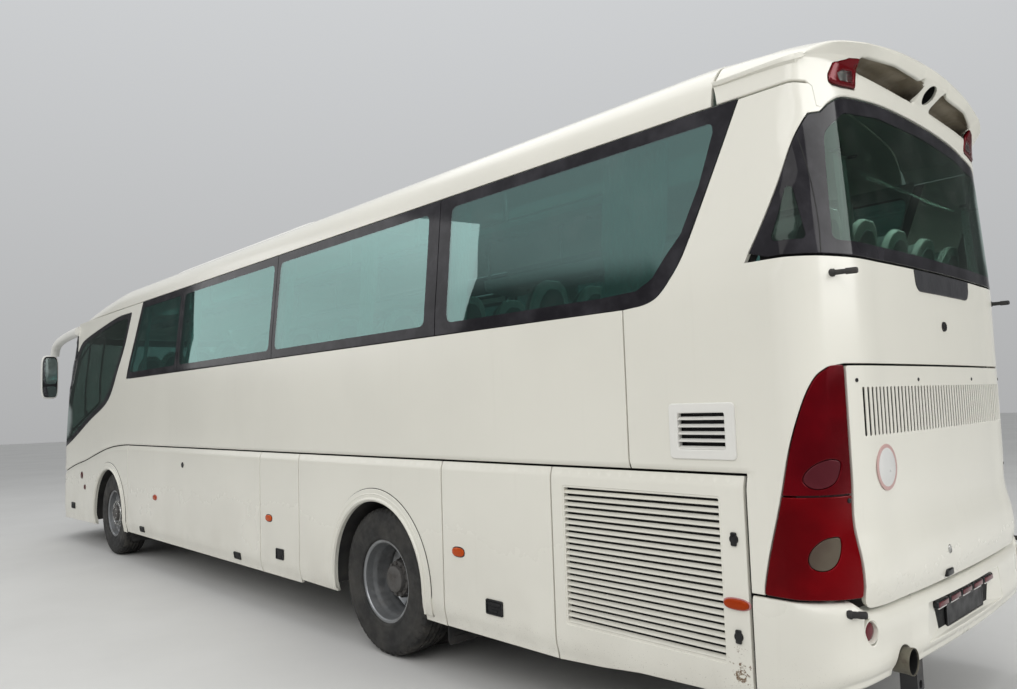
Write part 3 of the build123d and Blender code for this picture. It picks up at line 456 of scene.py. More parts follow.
def ellipse(cx, cy, rx, ry, n=28, turn=0.0):
    t = np.linspace(0, 2 * math.pi, n, endpoint=False)
    x, y = rx * np.cos(t), ry * np.sin(t)
    c, s = math.cos(turn), math.sin(turn)
    return np.stack([cx + x * c - y * s, cy + x * s + y * c], 1)


def smooth_loop(points, n=6):
    """Closed smooth curve through points."""
    p = np.asarray(points, float)
    out = []
    m = (np.roll(p, -1, 0) - np.roll(p, 1, 0)) / 2
    for i in range(len(p)):
        j = (i + 1) % len(p)
        for t in np.linspace(0, 1, n, endpoint=False):
            out.append((1 + 2 * t) * (1 - t) ** 2 * p[i] + t * (1 - t) ** 2 * m[i] +
                       t * t * (3 - 2 * t) * p[j] + t * t * (t - 1) * m[j])
    return np.array(out)


def refine(loop, step):
    out = []
    for p, q in zip(loop, np.roll(loop, -1, 0)):
        d = np.linalg.norm(q - p)
        if d < 1e-6:
            continue
        k = max(1, int(math.ceil(d / step)))
        out += [p + (q - p) * j / k for j in range(k)]
    return np.array(out)


def inside(pts, loops):
    c = np.zeros(len(pts), bool)
    x, y = pts[:, 0][:, None], pts[:, 1][:, None]
    for l in loops:
        a, b = l, np.roll(l, -1, 0)
        for k in range(0, len(pts), 4000):
            xs, ys = x[k:k + 4000], y[k:k + 4000]
            cross = ((a[:, 1] > ys) != (b[:, 1] > ys)) & \
                (xs < (b[:, 0] - a[:, 0]) * (ys - a[:, 1]) / (b[:, 1] - a[:, 1] + 1e-30) + a[:, 0])
            c[k:k + 4000] ^= (cross.sum(1) % 2).astype(bool)
    return c


def miter(l):
    d = unit(np.roll(l, -1, 0) - l)
    n1 = np.stack([-d[:, 1], d[:, 0]], 1)
    n0 = np.roll(n1, 1, 0)
    return (n0 + n1) / np.maximum(1 + (n0 * n1).sum(1), 0.35)[:, None]


def panel(part, surf, sign, outer, holes=(), thick=0.030, r=0.004, grid=0.09, step=0.045, mat=0,
          depth=0.0, seg=3, back=True, lines=(), matf=None, edge_mat=None, back_mat=None, extra=None,
          hole_thick=None):
    """A sheet cut to a loop over a surface, with rounded edges, a turned-in flange and a back.

    sign makes the surface's normal point out; lines are loops whose inside matf may colour."""
    edge_mat = mat if edge_mat is None else edge_mat
    back_mat = edge_mat if back_mat is None else back_mat
    loops = []
    for k, l in enumerate([outer] + list(holes)):
        l = refine(np.asarray(l, float), step)
        a = loop_area(l)
        loops.append(l[::-1] if (a < 0) == (k == 0) else l)
    ms = [miter(l) for l in loops]
    l1 = [l + m * r for l, m in zip(loops, ms)]
    pts, edges = [], []
    for l in l1 + [refine(np.asarray(q, float), step) for q in lines]:
        b = len(pts)
        pts += [tuple(p) for p in l]
        edges += [(b + i, b + (i + 1) % len(l)) for i in range(len(l))]
    nb = len(pts)
    gx, gz = grid if hasattr(grid, "__len__") else (grid, grid)
    lo, hi = l1[0].min(0), l1[0].max(0)
    X, Z = np.meshgrid(np.arange(lo[0] + gx * 0.5, hi[0], gx), np.arange(lo[1] + gz * 0.5, hi[1], gz))
    cand = np.stack([X.ravel(), Z.ravel()], 1)

    def thin(c, near, sc, lim):
        c = c[inside(c, l1)] if len(c) else c
        if not len(c):
            return c
        tree = KDTree(len(near))
        for i, p in enumerate(near):
            tree.insert((p[0] / sc[0], p[1] / sc[1], 0), i)
        tree.balance()
        return c[[i for i, q in enumerate(c) if tree.find((q[0] / sc[0], q[1] / sc[1], 0))[2] > lim]]
    if extra is not None:
        ex = thin(np.asarray(extra, float), pts, (0.06, 0.010), 0.55)
        pts += [tuple(p) for p in ex]
    cand = thin(cand, pts, (gx, gz), 0.40)
    pts += [tuple(p) for p in cand]
    vs, es, fs, ov, oe, of_ = delaunay_2d_cdt([Vector(p) for p in pts], edges, [], 0, 1e-6)
    P = np.array([(v[0], v[1]) for v in vs])
    tri = np.array([f for f in fs if len(f) == 3], int)
    cen = P[tri].mean(1)
    ok = inside(cen, l1)
    tri, cen = tri[ok], cen[ok]
    inv = {}
    for i, o in enumerate(ov):
        for k in o:
            inv[k] = i
    N = normals_of(surf, P) * sign
    S = surf(P)
    fm = [mat] * len(tri) if matf is None else [int(q) for q in matf(cen)]
    F = tri if sign > 0 else tri[:, ::-1]
    part.add(S - N * depth, F.tolist(), fm, N)
    # rounded edge, flange, then the back
    off = 0
    rings_last = []
    for li, (l, m) in enumerate(zip(loops, ms)):
        n = len(l)
        tk = thick if li == 0 or hole_thick is None else hole_thick
        idx = [inv[off + i] for i in range(n)]
        off += n
        n0, s0 = N[idx], S[idx]
        e = surf(l)
        out = unit(e - surf(l + m * max(r, 1e-3)))
        ne = normals_of(surf, l) * sign
        rings, rn = [s0 - n0 * depth], [n0]
        for k in range(1, seg + 1):
            th = k / seg * math.pi / 2
            p2 = l + m * (r * (1 - math.sin(th)))
            nn = normals_of(surf, p2) * sign
            rings.append(surf(p2) - nn * (depth + r * (1 - math.cos(th))))
            rn.append(unit(nn * math.cos(th) + out * math.sin(th)))
        rings.append(e - ne * (depth + tk))
        rn.append(out)
        A = np.vstack(rings)
        R = np.vstack(rn)
        faces = []
        for k in range(len(rings) - 1):
            for i in range(n):
                j = (i + 1) % n
                q = [(k + 1) * n + i, (k + 1) * n + j, k * n + j, k * n + i]
                faces.append(q if sign > 0 else q[::-1])
        part.add(A, faces, edge_mat, R)
        rings_last.append((idx, e - ne * (depth + tk), ne, tk))
    if back:
        off, add_v, add_f = len(P), [], []
        bv = S - N * (depth + thick)
        verts = [bv]
        faces = (tri[:, ::-1] if sign > 0 else tri).tolist()
        for idx, ring, ne, tk in rings_last:
            n = len(idx)
            verts.append(ring)
            for i in range(n):
                j = (i + 1) % n
                q = [off + i, idx[i], idx[j], off + j]
                faces.append(q if sign > 0 else q[::-1])
            off += n
        bm_ = [back_mat] * len(faces)
        if matf is not None:
            bm_[:len(fm)] = fm
        part.add(np.vstack(verts), faces, bm_)
    return loops


def flat(origin, ux, uy):
    """A plane as a surface, for panel()."""
    o, ux, uy = (np.asarray(q, float) for q in (origin, ux, uy))
    return lambda P: o + P[:, :1] * ux + P[:, 1:] * uy


def plate(part, origin, ux, uy, outline, holes=(), thick=0.004, r=0.001, mat=0, grid=0.2, step=0.03, seg=2, **kw):
    """A flat plate; its front faces ux x uy."""
    return panel(part, flat(origin, ux, uy), 1, outline, holes, thick, r, grid, step, mat, seg=seg, **kw)


def rbox(part, lo, hi, r=0.003, seg=2, mat=0, M=None, taper=None):
    """Box with rounded edges, between two corners, then moved by M."""
    bm = bmesh.new()
    bmesh.ops.create_cube(bm, size=1.0)
    lo, hi = np.asarray(lo, float), np.asarray(hi, float)
    lo, hi = np.minimum(lo, hi), np.maximum(lo, hi)
    for v in bm.verts:
        k = [(v.co[i] > 0) for i in range(3)]
        v.co = Vector([hi[i] if k[i] else lo[i] for i in range(3)])
    r = min(r, 0.48 * float((hi - lo).min()))
    bmesh.ops.bevel(bm, geom=bm.edges[:], offset=r, segments=seg, affect="EDGES", profile=0.5)
    verts = np.array([v.co[:] for v in bm.verts])
    bm.verts.index_update()
    faces = [[v.index for v in f.verts] for f in bm.faces]
    bm.free()
    if taper is not None:
        verts = taper(verts)
    if M is not None:
        verts = verts @ np.array(M.to_3x3()).T + np.array(M.translation)
    part.add(verts, faces, mat)


def lathe(part, rows, centre, axis, mat=0, n=64, closed=True, mats=None):
    """Solid of revolution: rows (along the axis, radius)."""
    axis = unit(axis)
    h = np.array([0, 0, 1.0]) if abs(axis[2]) < 0.9 else np.array([1.0, 0, 0])
    a = unit(np.cross(h, axis))
    b = np.cross(axis, a)
    t = np.linspace(0, 2 * math.pi, n, endpoint=False)
    verts, idx = [], []
    for d, r in rows:
        if r < 1e-6:
            idx.append([len(verts)] * n)
            verts.append(np.asarray(centre) + axis * d)
        else:
            idx.append(list(range(len(verts), len(verts) + n)))
            for w in t:
                verts.append(np.asarray(centre) + axis * d + r * (a * math.cos(w) + b * math.sin(w)))
    faces, fm = [], []
    m = len(rows)
    for k in range(m if closed else m - 1):
        p, q = idx[k], idx[(k + 1) % m]
        for i in range(n):
            j = (i + 1) % n
            f = []
            for w in (p[i], p[j], q[j], q[i]):
                if w not in f:
                    f.append(w)
            if len(f) > 2:
                faces.append(f)
                fm.append(mat if mats is None else mats[k])
    part.add(verts, faces, fm)


def tube(part, path, r, n=12, mat=0, closed=False, cap=True, flatten=None):
    """Round bar along points; r may be a list."""
    p = np.asarray(path, float)
    m = len(p)
    rr = np.full(m, r, float) if np.isscalar(r) else np.asarray(r, float)
    tan = np.zeros_like(p)
    for i in range(m):
        a = p[(i - 1) % m] if closed or i else p[i]
        b = p[(i + 1) % m] if closed or i < m - 1 else p[i]
        tan[i] = unit(b - a)
    up = np.array([0, 0, 1.0]) if abs(tan[0][2]) < 0.9 else np.array([1.0, 0, 0])
    u = unit(np.cross(up, tan[0]))
    verts = []
    for i in range(m):
        u = unit(u - tan[i] * (u @ tan[i]))
        w = np.cross(tan[i], u)
        for k in range(n):
            t = 2 * math.pi * k / n
            fu, fw = flatten if flatten else (1, 1)
            verts.append(p[i] + rr[i] * (u * math.cos(t) * fu + w * math.sin(t) * fw))
    faces = []
    for i in range(m if closed else m - 1):
        j = (i + 1) % m
        for k in range(n):
            l = (k + 1) % n
            faces.append([i * n + k, i * n + l, j * n + l, j * n + k])
    if cap and not closed:
        faces.append(list(range(n))[::-1])
        faces.append([(m - 1) * n + k for k in range(n)])
    part.add(verts, faces, mat)


def sweep(part, path, section, up, mat=0, closed=False, smooth=False, cap=True):
    """A section (rows: sideways, up) carried along points; up may be one direction or one each."""
    p = np.asarray(path, float)
    sec = np.asarray(section, float)
    m, n = len(p), len(sec)
    ups = np.broadcast_to(np.asarray(up, float), p.shape)
    tan = np.zeros_like(p)
    for i in range(m):
        a = p[(i - 1) % m] if closed or i else p[i]
        b = p[(i + 1) % m] if closed or i < m - 1 else p[i]
        tan[i] = unit(b - a)
    verts = []
    for i in range(m):
        w = unit(ups[i] - tan[i] * (ups[i] @ tan[i]))
        s = np.cross(tan[i], w)
        for q in sec:
            verts.append(p[i] + s * q[0] + w * q[1])
    faces = []
    for i in range(m if closed else m - 1):
        j = (i + 1) % m
        for k in range(n):
            l = (k + 1) % n
            faces.append([i * n + k, j * n + k, j * n + l, i * n + l])
    if cap and not closed:
        faces.append(list(range(n)))
        faces.append([(m - 1) * n + k for k in range(n)][::-1])
    flip = loop_area(sec) > 0
    part.add(verts, faces, mat, flip=not flip)


# ------------------------------------------------------------------ materials
class Mat:
    """Small helper to write node materials in a line each."""

    def __init__(self, name):
        self.m = bpy.data.materials.new(name)
        self.m.use_nodes = True
        self.t = self.m.node_tree
        self.t.nodes.clear()
        self.out = self.t.nodes.new("ShaderNodeOutputMaterial")
        self.obj = self.t.nodes.new("ShaderNodeTexCoord").outputs["Object"]

    def put(self, sock, v):
        if isinstance(v, bpy.types.NodeSocket):
            self.t.links.new(v, sock)
        elif v is not None:
            sock.default_value = tuple(v) + (1.0,) if hasattr(v, "__len__") and len(v) == 3 and \
                sock.type == "RGBA" else v

    def node(self, kind, props=None, **ins):
        n = self.t.nodes.new("ShaderNode" + kind)
        for k, v in (props or {}).items():
            setattr(n, k, v)
        for k, v in ins.items():
            key = k.replace("_", " ")
            self.put(n.inputs[int(key[1:])] if key[0] == "i" and key[1:].isdigit() else n.inputs[key], v)
        return n

    def vec(self, scale=(1, 1, 1), loc=(0, 0, 0), rot=(0, 0, 0)):
        return self.node("Mapping", None, Vector=self.obj, Scale=scale, Location=loc, Rotation=rot).outputs[0]

    def noise(self, scale, detail=4, rough=0.55, vec=None, dist=0.0):
        return self.node("TexNoise", None, Vector=vec or self.obj, Scale=scale, Detail=detail,
                         Roughness=rough, Distortion=dist).outputs["Fac"]

    def voronoi(self, scale, vec=None, feature="F1", out="Distance", rnd=1.0):
        return self.node("TexVoronoi", {"feature": feature}, Vector=vec or self.obj, Scale=scale,
                         Randomness=rnd).outputs[out]

    def wave(self, scale, vec=None, axis="X", dist=0.0, profile="SIN", detail=0.0):
        return self.node("TexWave", {"bands_direction": axis, "wave_profile": profile},
                         Vector=vec or self.obj, Scale=scale, Distortion=dist, Detail=detail).outputs["Fac"]

    def math(self, op, a, b=0.0, clamp=False):
        n = self.node("Math", {"operation": op, "use_clamp": clamp})
        self.put(n.inputs[0], a)
        self.put(n.inputs[1], b)
        return n.outputs[0]

    def xyz(self, vec=None):
        return self.node("SeparateXYZ", None, Vector=vec or self.obj).outputs

    def map(self, v, a, b, c=0.0, d=1.0, smooth=True):
        n = self.node("MapRange", {"interpolation_type": "SMOOTHSTEP" if smooth else "LINEAR"})
        for i, q in enumerate((v, a, b, c, d)):
            self.put(n.inputs[i], q)
        return n.outputs[0]

    def mix(self, fac, a, b):
        n = self.node("Mix", {"data_type": "RGBA"})
        self.put(n.inputs[0], fac)
        self.put(n.inputs[6], a)
        self.put(n.inputs[7], b)
        return n.outputs[2]

    def bump(self, height, strength=0.3, distance=0.002, normal=None):
        n = self.node("Bump", None, Height=height, Strength=strength, Distance=distance)
        if normal is not None:
            self.put(n.inputs["Normal"], normal)
        return n.outputs[0]

    def pbr(self, color, rough, metal=0.0, normal=None, **ins):
        n = self.node("BsdfPrincipled", None, Base_Color=color, Roughness=rough, Metallic=metal)
        if normal is not None:
            self.put(n.inputs["Normal"], normal)
        for k, v in ins.items():
            self.put(n.inputs[k.replace("_", " ")], v)
        self.bsdf = n
        self.t.links.new(n.outputs[0], self.out.inputs["Surface"])
        return n.outputs[0]


def paint(name, base=(0.785, 0.768, 0.690), rust=False):
    m = Mat(name)
    x, y, z = m.xyz()
    big = m.noise(0.9, 3, 0.5)
    fine = m.noise(7.0, 6, 0.6)
    c = m.mix(m.map(big, 0.35, 0.65), base, tuple(v * 0.965 for v in base))
    # road film: thin over the lowest part, thinner streaks above it
    low = m.map(z, 1.15, 0.30)
    film = m.math("MULTIPLY", low, m.map(m.noise(2.6, 3, 0.5), 0.20, 0.85), True)
    c = m.mix(m.math("MULTIPLY", film, 0.30, True), c, (0.50, 0.47, 0.41))
    streak = m.noise(2.2, 5, 0.6, m.vec((9.0, 9.0, 0.55)))
    s = m.math("MULTIPLY", m.map(streak, 0.56, 0.80), m.map(z, 3.4, 1.0, 0.015, 0.075), True)
    c = m.mix(s, c, (0.50, 0.47, 0.40))
    speck = m.math("MULTIPLY", m.map(m.noise(160.0, 2, 0.5), 0.66, 0.72), m.map(z, 0.75, 0.35, 0.0, 0.6), True)
    c = m.mix(speck, c, (0.23, 0.20, 0.16))
    rough = m.math("ADD", m.map(fine, 0.2, 0.8, 0.235, 0.265), m.math("MULTIPLY", film, 0.30))
    if rust:
        dx = m.math("MULTIPLY", m.math("SUBTRACT", x, 0.070 - XM), 9.0)
        dz = m.math("MULTIPLY", m.math("SUBTRACT", z, 0.535), 5.0)
        d = m.math("SQRT", m.math("ADD", m.math("MULTIPLY", dx, dx), m.math("MULTIPLY", dz, dz)))
        chip = m.noise(42.0, 5, 0.7)
        k = m.map(m.math("SUBTRACT", chip, m.math("MULTIPLY", d, 0.33)), 0.44, 0.50)
        c = m.mix(k, c, m.mix(m.map(m.noise(120.0), 0.4, 0.6), (0.13, 0.065, 0.03), (0.30, 0.25, 0.18)))
        rough = m.math("ADD", rough, m.math("MULTIPLY", k, 0.4))
    n = m.bump(m.noise(1.3, 1, 0.4), 0.05, 0.008)
    m.pbr(c, rough, 0.0, n, Coat_Weight=0.32, Coat_Roughness=0.20, Specular_IOR_Level=0.42)
    return m.m


def glass(name, tint, gloss=(1, 1, 1), rough=0.012, f0=0.045, wave=0.02):
    m = Mat(name)
    n = m.bump(m.noise(1.1, 1, 0.4), wave, 0.02)
    dirt = m.math("MULTIPLY", m.map(m.noise(3.0, 5, 0.6), 0.45, 0.8), 0.035, True)
    lw = m.node("LayerWeight", None, Blend=0.5, Normal=n).outputs["Facing"]
    f = m.math("ADD", m.math("MULTIPLY", m.math("POWER", lw, 5.0), 1 - f0), f0, True)
    t = m.node("BsdfTransparent", None, Color=tint)
    g = m.node("BsdfGlossy", None, Color=gloss, Roughness=rough, Normal=n)
    d = m.node("BsdfDiffuse", None, Color=(0.55, 0.56, 0.53), Roughness=0.5)
    base = m.node("MixShader", None, i0=dirt, i1=t.outputs[0], i2=d.outputs[0])
    s = m.node("MixShader", None, i0=f, i1=base.outputs[0], i2=g.outputs[0])
    m.t.links.new(s.outputs[0], m.out.inputs["Surface"])
    m.m.surface_render_method = "BLENDED"
    return m.m


def frit(name, base=(0.016, 0.015, 0.018)):
    m = Mat(name)
    n = m.bump(m.noise(1.1, 1, 0.4), 0.02, 0.02)
    c = m.mix(m.map(m.noise(5.0, 5, 0.6), 0.35, 0.75), base, tuple(v * 1.9 + 0.008 for v in base))
    m.pbr(c, m.map(m.noise(9.0, 4), 0.3, 0.7, 0.05, 0.10), 0.0, n, Specular_IOR_Level=0.16)
    return m.m


def plastic(name, base, rough=0.45, grain=700.0, amp=0.16, dust=0.18, spec=0.5):
    m = Mat(name)
    c = m.mix(m.map(m.noise(6.0, 5, 0.6), 0.3, 0.75), base, tuple(v + dust * 0.16 for v in base))
    v = m.voronoi(grain)
    n = m.bump(v, amp, 0.0006)
    m.pbr(c, m.map(m.noise(14.0, 4), 0.3, 0.7, rough - 0.07, rough + 0.10), 0.0, n, Specular_IOR_Level=spec)
    return m.m


def rubber(name, base=(0.026, 0.026, 0.027), dust=(0.10, 0.093, 0.082), amount=0.55, scale=5.0):
    m = Mat(name)
    k = m.math("MULTIPLY", m.map(m.noise(scale, 6, 0.65), 0.35, 0.75), amount, True)
    c = m.mix(k, base, dust)
    n = m.bump(m.noise(420.0, 3, 0.6), 0.22, 0.001)
    m.pbr(c, m.map(m.noise(20.0, 3), 0.3, 0.7, 0.62, 0.86), 0.0, n, Specular_IOR_Level=0.35)
    return m.m


def metal(name, base, rough=0.35, metallic=1.0, dirt=(0.10, 0.085, 0.07), amount=0.4, scale=9.0, brushed=None):
    m = Mat(name)
    k = m.math("MULTIPLY", m.map(m.noise(scale, 7, 0.65), 0.42, 0.78), amount, True)
    c = m.mix(k, base, dirt)
    h = m.noise(60.0, 4, 0.6, m.vec(brushed) if brushed else None)
    n = m.bump(h, 0.10, 0.001)
    r = m.math("ADD", m.map(m.noise(25.0, 4), 0.3, 0.7, rough - 0.06, rough + 0.09), m.math("MULTIPLY", k, 0.35))
    m.pbr(c, r, m.math("SUBTRACT", metallic, m.math("MULTIPLY", k, metallic * 0.9), True), n)
    return m.m


def lens(name, base, deep, ribs=True, rough=0.07, scale=110.0, trans=0.0):
    m = Mat(name)
    c = m.mix(m.map(m.noise(3.5, 3, 0.5), 0.3, 0.7), base, deep)
    n = None
    if ribs:
        w = m.node("TexWave", {"bands_direction": "Z", "wave_profile": "SIN"}, Vector=m.obj, Scale=scale,
                   Distortion=0.0).outputs["Fac"]
        n = m.bump(w, 0.10, 0.001)
        c = m.mix(m.math("MULTIPLY", w, 0.22), c, deep)
    top = max(base)
    glint = tuple(0.04 + 0.96 * (v / top) ** 0.7 for v in base)
    m.pbr(c, rough, 0.0, n, Coat_Weight=0.03, Coat_Roughness=0.03, Specular_IOR_Level=0.45, Specular_Tint=glint,
          Transmission_Weight=trans)
    return m.m


def cloth(name, base, dark, scale=900.0, fleck=None, sheen=0.25, folds=0.0, rough=0.85):
    m = Mat(name)
    wx = m.wave(scale, None, "X", 0.6)
    wz = m.wave(scale, None, "Z", 0.6)
    wy = m.wave(scale, None, "Y", 0.6)
    w = m.math("MULTIPLY", m.math("ADD", m.math("ADD", wx, wz), wy), 0.333)
    c = m.mix(m.map(m.noise(5.0, 5, 0.6), 0.3, 0.75), base, dark)
    c = m.mix(m.math("MULTIPLY", w, 0.35), c, tuple(v * 0.62 for v in dark))
    if fleck is not None:
        v = m.voronoi(34.0, None, "F1", "Distance")
        k = m.map(v, 0.16, 0.10)
        c = m.mix(m.math("MULTIPLY", k, m.map(m.noise(21.0, 2), 0.42, 0.52), True), c, fleck)
    n = m.bump(w, 0.35, 0.0008, m.bump(m.noise(60.0, 4, 0.6), 0.18, 0.002))
    m.pbr(c, rough, 0.0, n, Sheen_Weight=sheen, Sheen_Roughness=0.5, Specular_IOR_Level=0.25)
    return m.m


WHITE = paint("bus_white_paint")
WHITE_R = paint("bus_white_paint_chipped", rust=True)


def recess_shade_paint():
    m = Mat("recess_grimy_paint")
    x, y, z = m.xyz()
    # painted shade for the insides of the cap's two recesses: a brownish-grey tone
    c = m.mix(m.map(m.noise(6.0, 4, 0.6), 0.3, 0.7), (0.42, 0.37, 0.29), (0.30, 0.26, 0.19))
    # painted shade: darker towards the bottom of the recess, nearly black at its foot
    k = m.math("ADD", m.map(z, 3.380, 3.305, 0.10, 0.93), m.map(m.noise(30.0, 4, 0.6), 0.4, 0.7, 0.0, 0.08), True)
    c = m.mix(k, c, (0.028, 0.020, 0.011))
    m.pbr(c, 0.55, 0.0, m.bump(m.noise(90.0, 3, 0.6), 0.15, 0.001), Specular_IOR_Level=0.25)
    return m.m


RECESS_SHADE = recess_shade_paint()
CREAM = plastic("white_moulding", (0.76, 0.75, 0.71), 0.36, 900.0, 0.05, 0.10)
TINT = glass("side_glass_teal", (0.36, 0.535, 0.51), (0.54, 0.755, 0.73), f0=0.25)
DARKG = glass("rear_glass_dark", (0.36, 0.44, 0.405), (0.62, 0.72, 0.68), f0=0.036)
SCREEN = glass("windscreen_glass", (0.83, 0.90, 0.88), (0.95, 1.0, 0.99), f0=0.045)
CABG = glass("cab_glass", (0.30, 0.37, 0.345), (0.80, 0.90, 0.87), f0=0.05)
LAMPG = glass("lamp_clear_glass", (0.93, 0.94, 0.93), (1, 1, 1), f0=0.045)
FRIT = frit("glass_black_border")
BLACK = plastic("black_plastic_grained", (0.011, 0.011, 0.012), 0.50, dust=0.06, spec=0.25)
BLACKG = plastic("black_plastic_smooth", (0.010, 0.010, 0.011), 0.24, 900.0, 0.04, dust=0.05, spec=0.30)
SEAL = rubber("black_seal_rubber", (0.012, 0.012, 0.013), (0.035, 0.033, 0.03), 0.5)
VOID = rubber("shadow_gap_black", (0.004, 0.004, 0.004), (0.010, 0.010, 0.010), 0.4)
RUBBER = rubber("black_rubber_dusty")
TYRE = rubber("tyre_rubber_worn", (0.021, 0.021, 0.021), (0.082, 0.077, 0.068), 0.55, 3.2)
TREAD = rubber("tyre_tread_dusty", (0.019, 0.019, 0.019), (0.115, 0.107, 0.094), 0.62, 9.0)
RIM = metal("rim_grey_steel", (0.30, 0.31, 0.32), 0.36, 0.75, (0.085, 0.074, 0.062), 0.75, 7.0)
HUB = metal("hub_dirty_steel", (0.13, 0.125, 0.12), 0.55, 0.6, (0.045, 0.038, 0.032), 0.85, 12.0)
CHROME = metal("bright_steel", (0.62, 0.62, 0.60), 0.20, 1.0, (0.12, 0.10, 0.085), 0.45, 30.0)
GALV = metal("bare_aluminium", (0.50, 0.50, 0.49), 0.42, 0.9, (0.16, 0.15, 0.13), 0.5, 6.0, (1.0, 30.0, 30.0))
CHASSIS = metal("chassis_dark_paint", (0.035, 0.035, 0.037), 0.50, 0.0, (0.13, 0.115, 0.095), 0.8, 6.0)
CAST = metal("cast_iron_oily", (0.085, 0.082, 0.080), 0.60, 0.5, (0.07, 0.048, 0.030), 0.7, 11.0)
RUSTY = metal("exhaust_rusty_steel", (0.150, 0.140, 0.108), 0.50, 0.45, (0.060, 0.040, 0.026), 0.85, 14.0)
RED = lens("red_lamp_lens", (0.120, 0.0014, 0.0040), (0.060, 0.0010, 0.0024))
RED_LOW = lens("red_lamp_lens_lower", (0.150, 0.0014, 0.0032), (0.080, 0.0010, 0.0022))
RED_DARK = lens("dark_red_marker", (0.13, 0.010, 0.010), (0.06, 0.004, 0.004), scale=400.0)
LENS_GREY = lens("grey_lamp_lens", (0.105, 0.088, 0.066), (0.060, 0.040, 0.032), scale=260.0)
LENS_DARK = lens("dark_round_lens", (0.115, 0.020, 0.026), (0.060, 0.008, 0.012), scale=260.0)
ORANGE = lens("orange_marker_lens", (0.56, 0.085, 0.012), (0.30, 0.030, 0.006), scale=300.0)
PINK = lens("pale_pink_lens", (0.62, 0.34, 0.33), (0.45, 0.20, 0.20), scale=300.0)
REFLECTOR = metal("lamp_reflector", (0.82, 0.82, 0.80), 0.10, 1.0, (0.4, 0.4, 0.38), 0.2, 18.0)
BULB = lens("lamp_bulb_lens", (0.62, 0.63, 0.62), (0.42, 0.43, 0.43), scale=200.0)
SEATC = cloth("seat_fabric_green", (0.115, 0.165, 0.150), (0.075, 0.115, 0.105), fleck=(0.26, 0.34, 0.30))
SEATP = plastic("seat_shell_pale_green", (0.42, 0.50, 0.45), 0.45, 500.0, 0.12, 0.2)
CURTAIN = cloth("curtain_pale_cloth", (0.74, 0.80, 0.78), (0.64, 0.71, 0.69), 500.0, sheen=0.15)
TRIMP = plastic("inside_trim_grey", (0.30, 0.32, 0.31), 0.6, 400.0, 0.2, 0.3)
RACKP = plastic("rack_grey_plastic", (0.40, 0.41, 0.40), 0.5, 500.0, 0.15, 0.3)
DASHP = plastic("dash_dark_plastic", (0.045, 0.045, 0.05), 0.6, 600.0, 0.3, 0.15)
FLOORC = cloth("floor_covering_speckled", (0.10, 0.10, 0.105), (0.07, 0.07, 0.075), 300.0, (0.19, 0.19, 0.19), 0.0)
DISC = plastic("pale_blank_disc", (0.66, 0.66, 0.64), 0.32, 900.0, 0.04, 0.2)
DISC_RIM = plastic("disc_rim_red_grey", (0.52, 0.33, 0.31), 0.35, 900.0, 0.04, 0.2)
PLATE = plastic("blank_dark_plate", (0.016, 0.016, 0.018), 0.42, 500.0, 0.06, 0.12, 0.25)
PANELG = plastic("blank_grey_panel", (0.034, 0.034, 0.038), 0.36, 700.0, 0.0, 0.06, 0.25)
MIRRORG = metal("mirror_silver", (0.70, 0.72, 0.73), 0.03, 1.0, (0.5, 0.5, 0.5), 0.06, 4.0)


# ------------------------------------------------------------------ outlines of the sides, (x, z)
def open_curve(points, n=8):
    """Smooth open curve through points."""
    p = np.asarray(points, float)
    m = np.zeros_like(p)
    m[1:-1] = (p[2:] - p[:-2]) / 2
    m[0], m[-1] = p[1] - p[0], p[-1] - p[-2]
    out = []
    for i in range(len(p) - 1):
        for t in np.linspace(0, 1, n, endpoint=False):
            out.append((1 + 2 * t) * (1 - t) ** 2 * p[i] + t * (1 - t) ** 2 * m[i] +
                       t * t * (3 - 2 * t) * p[i + 1] + t * t * (t - 1) * m[i + 1])
    return np.array(out + [p[-1]])


def run(f, x0, x1, step=0.08):
    n = max(2, int(abs(x1 - x0) / step) + 1)
    return [(x, float(f(x))) for x in np.linspace(x0, x1, n)]


def crease(dz):
    return lambda x: CREASE(x) + dz


SEAM_Z, ROOF_Z = 2.222, 3.150
PANE_REAR = open_curve([(0.651, 2.226), (0.535, 2.231), (0.442, 2.261), (0.364, 2.336), (0.283, 2.453),
                        (0.181, 2.681), (0.072, 2.936), (-0.018, 3.152)], 5)
CAB_LOW = open_curve([(11.334, 1.319), (10.990, 1.412), (10.646, 1.517), (10.013, 1.727), (9.342, 1.925),
                      (9.050, 2.106), (8.840, 2.354), (8.658, 2.661), (8.522, 3.063)], 5)
CAB_TOP = open_curve([(8.522, 3.063), (9.077, 3.058), (9.824, 2.978), (10.508, 2.888), (10.734, 2.822),
                      (10.852, 2.727)], 5)
CAB_FRONT = [(10.852, 2.727), (11.240, 1.850), (11.334, 1.319)]
WS_EDGE = open_curve([(10.958, 2.983), (10.905, 2.870), (10.887, 2.735), (11.262, 1.850), (11.346, 1.290)], 1)


def grown(loop, d):
    """A closed loop moved outwards by d."""
    l = np.asarray(loop, float)
    if loop_area(l) < 0:
        l = l[::-1]
    return l - miter(l) * d


CAB_GLASS = fillet([tuple(p) for p in CAB_LOW[:-1]] + [tuple(p) for p in CAB_TOP[:-1]] + [(10.852, 2.727), (11.240, 1.850)],
                   0.02, 3)
_r = [tuple(p) for p in CAB_LOW if p[0] < 10.09]
_t = [tuple(p) for p in CAB_TOP if p[0] < 10.09]
CAB_GLASS_R = fillet([(10.098, 1.700)] + _r[:-1] + _t + [(10.098, 2.944)], 0.02, 3)
ARCHES = {"rear": (2.984, 0.530, 0.565), "front": (9.168, 0.485, 0.600)}
CREASE_ROWS = np.array([(x, float(CREASE(x)) + d) for x in np.arange(-0.05, 11.44, 0.07)
                        for d in (-0.068, -0.048, -0.033, -0.020, 0.014, 0.024, 0.038)])


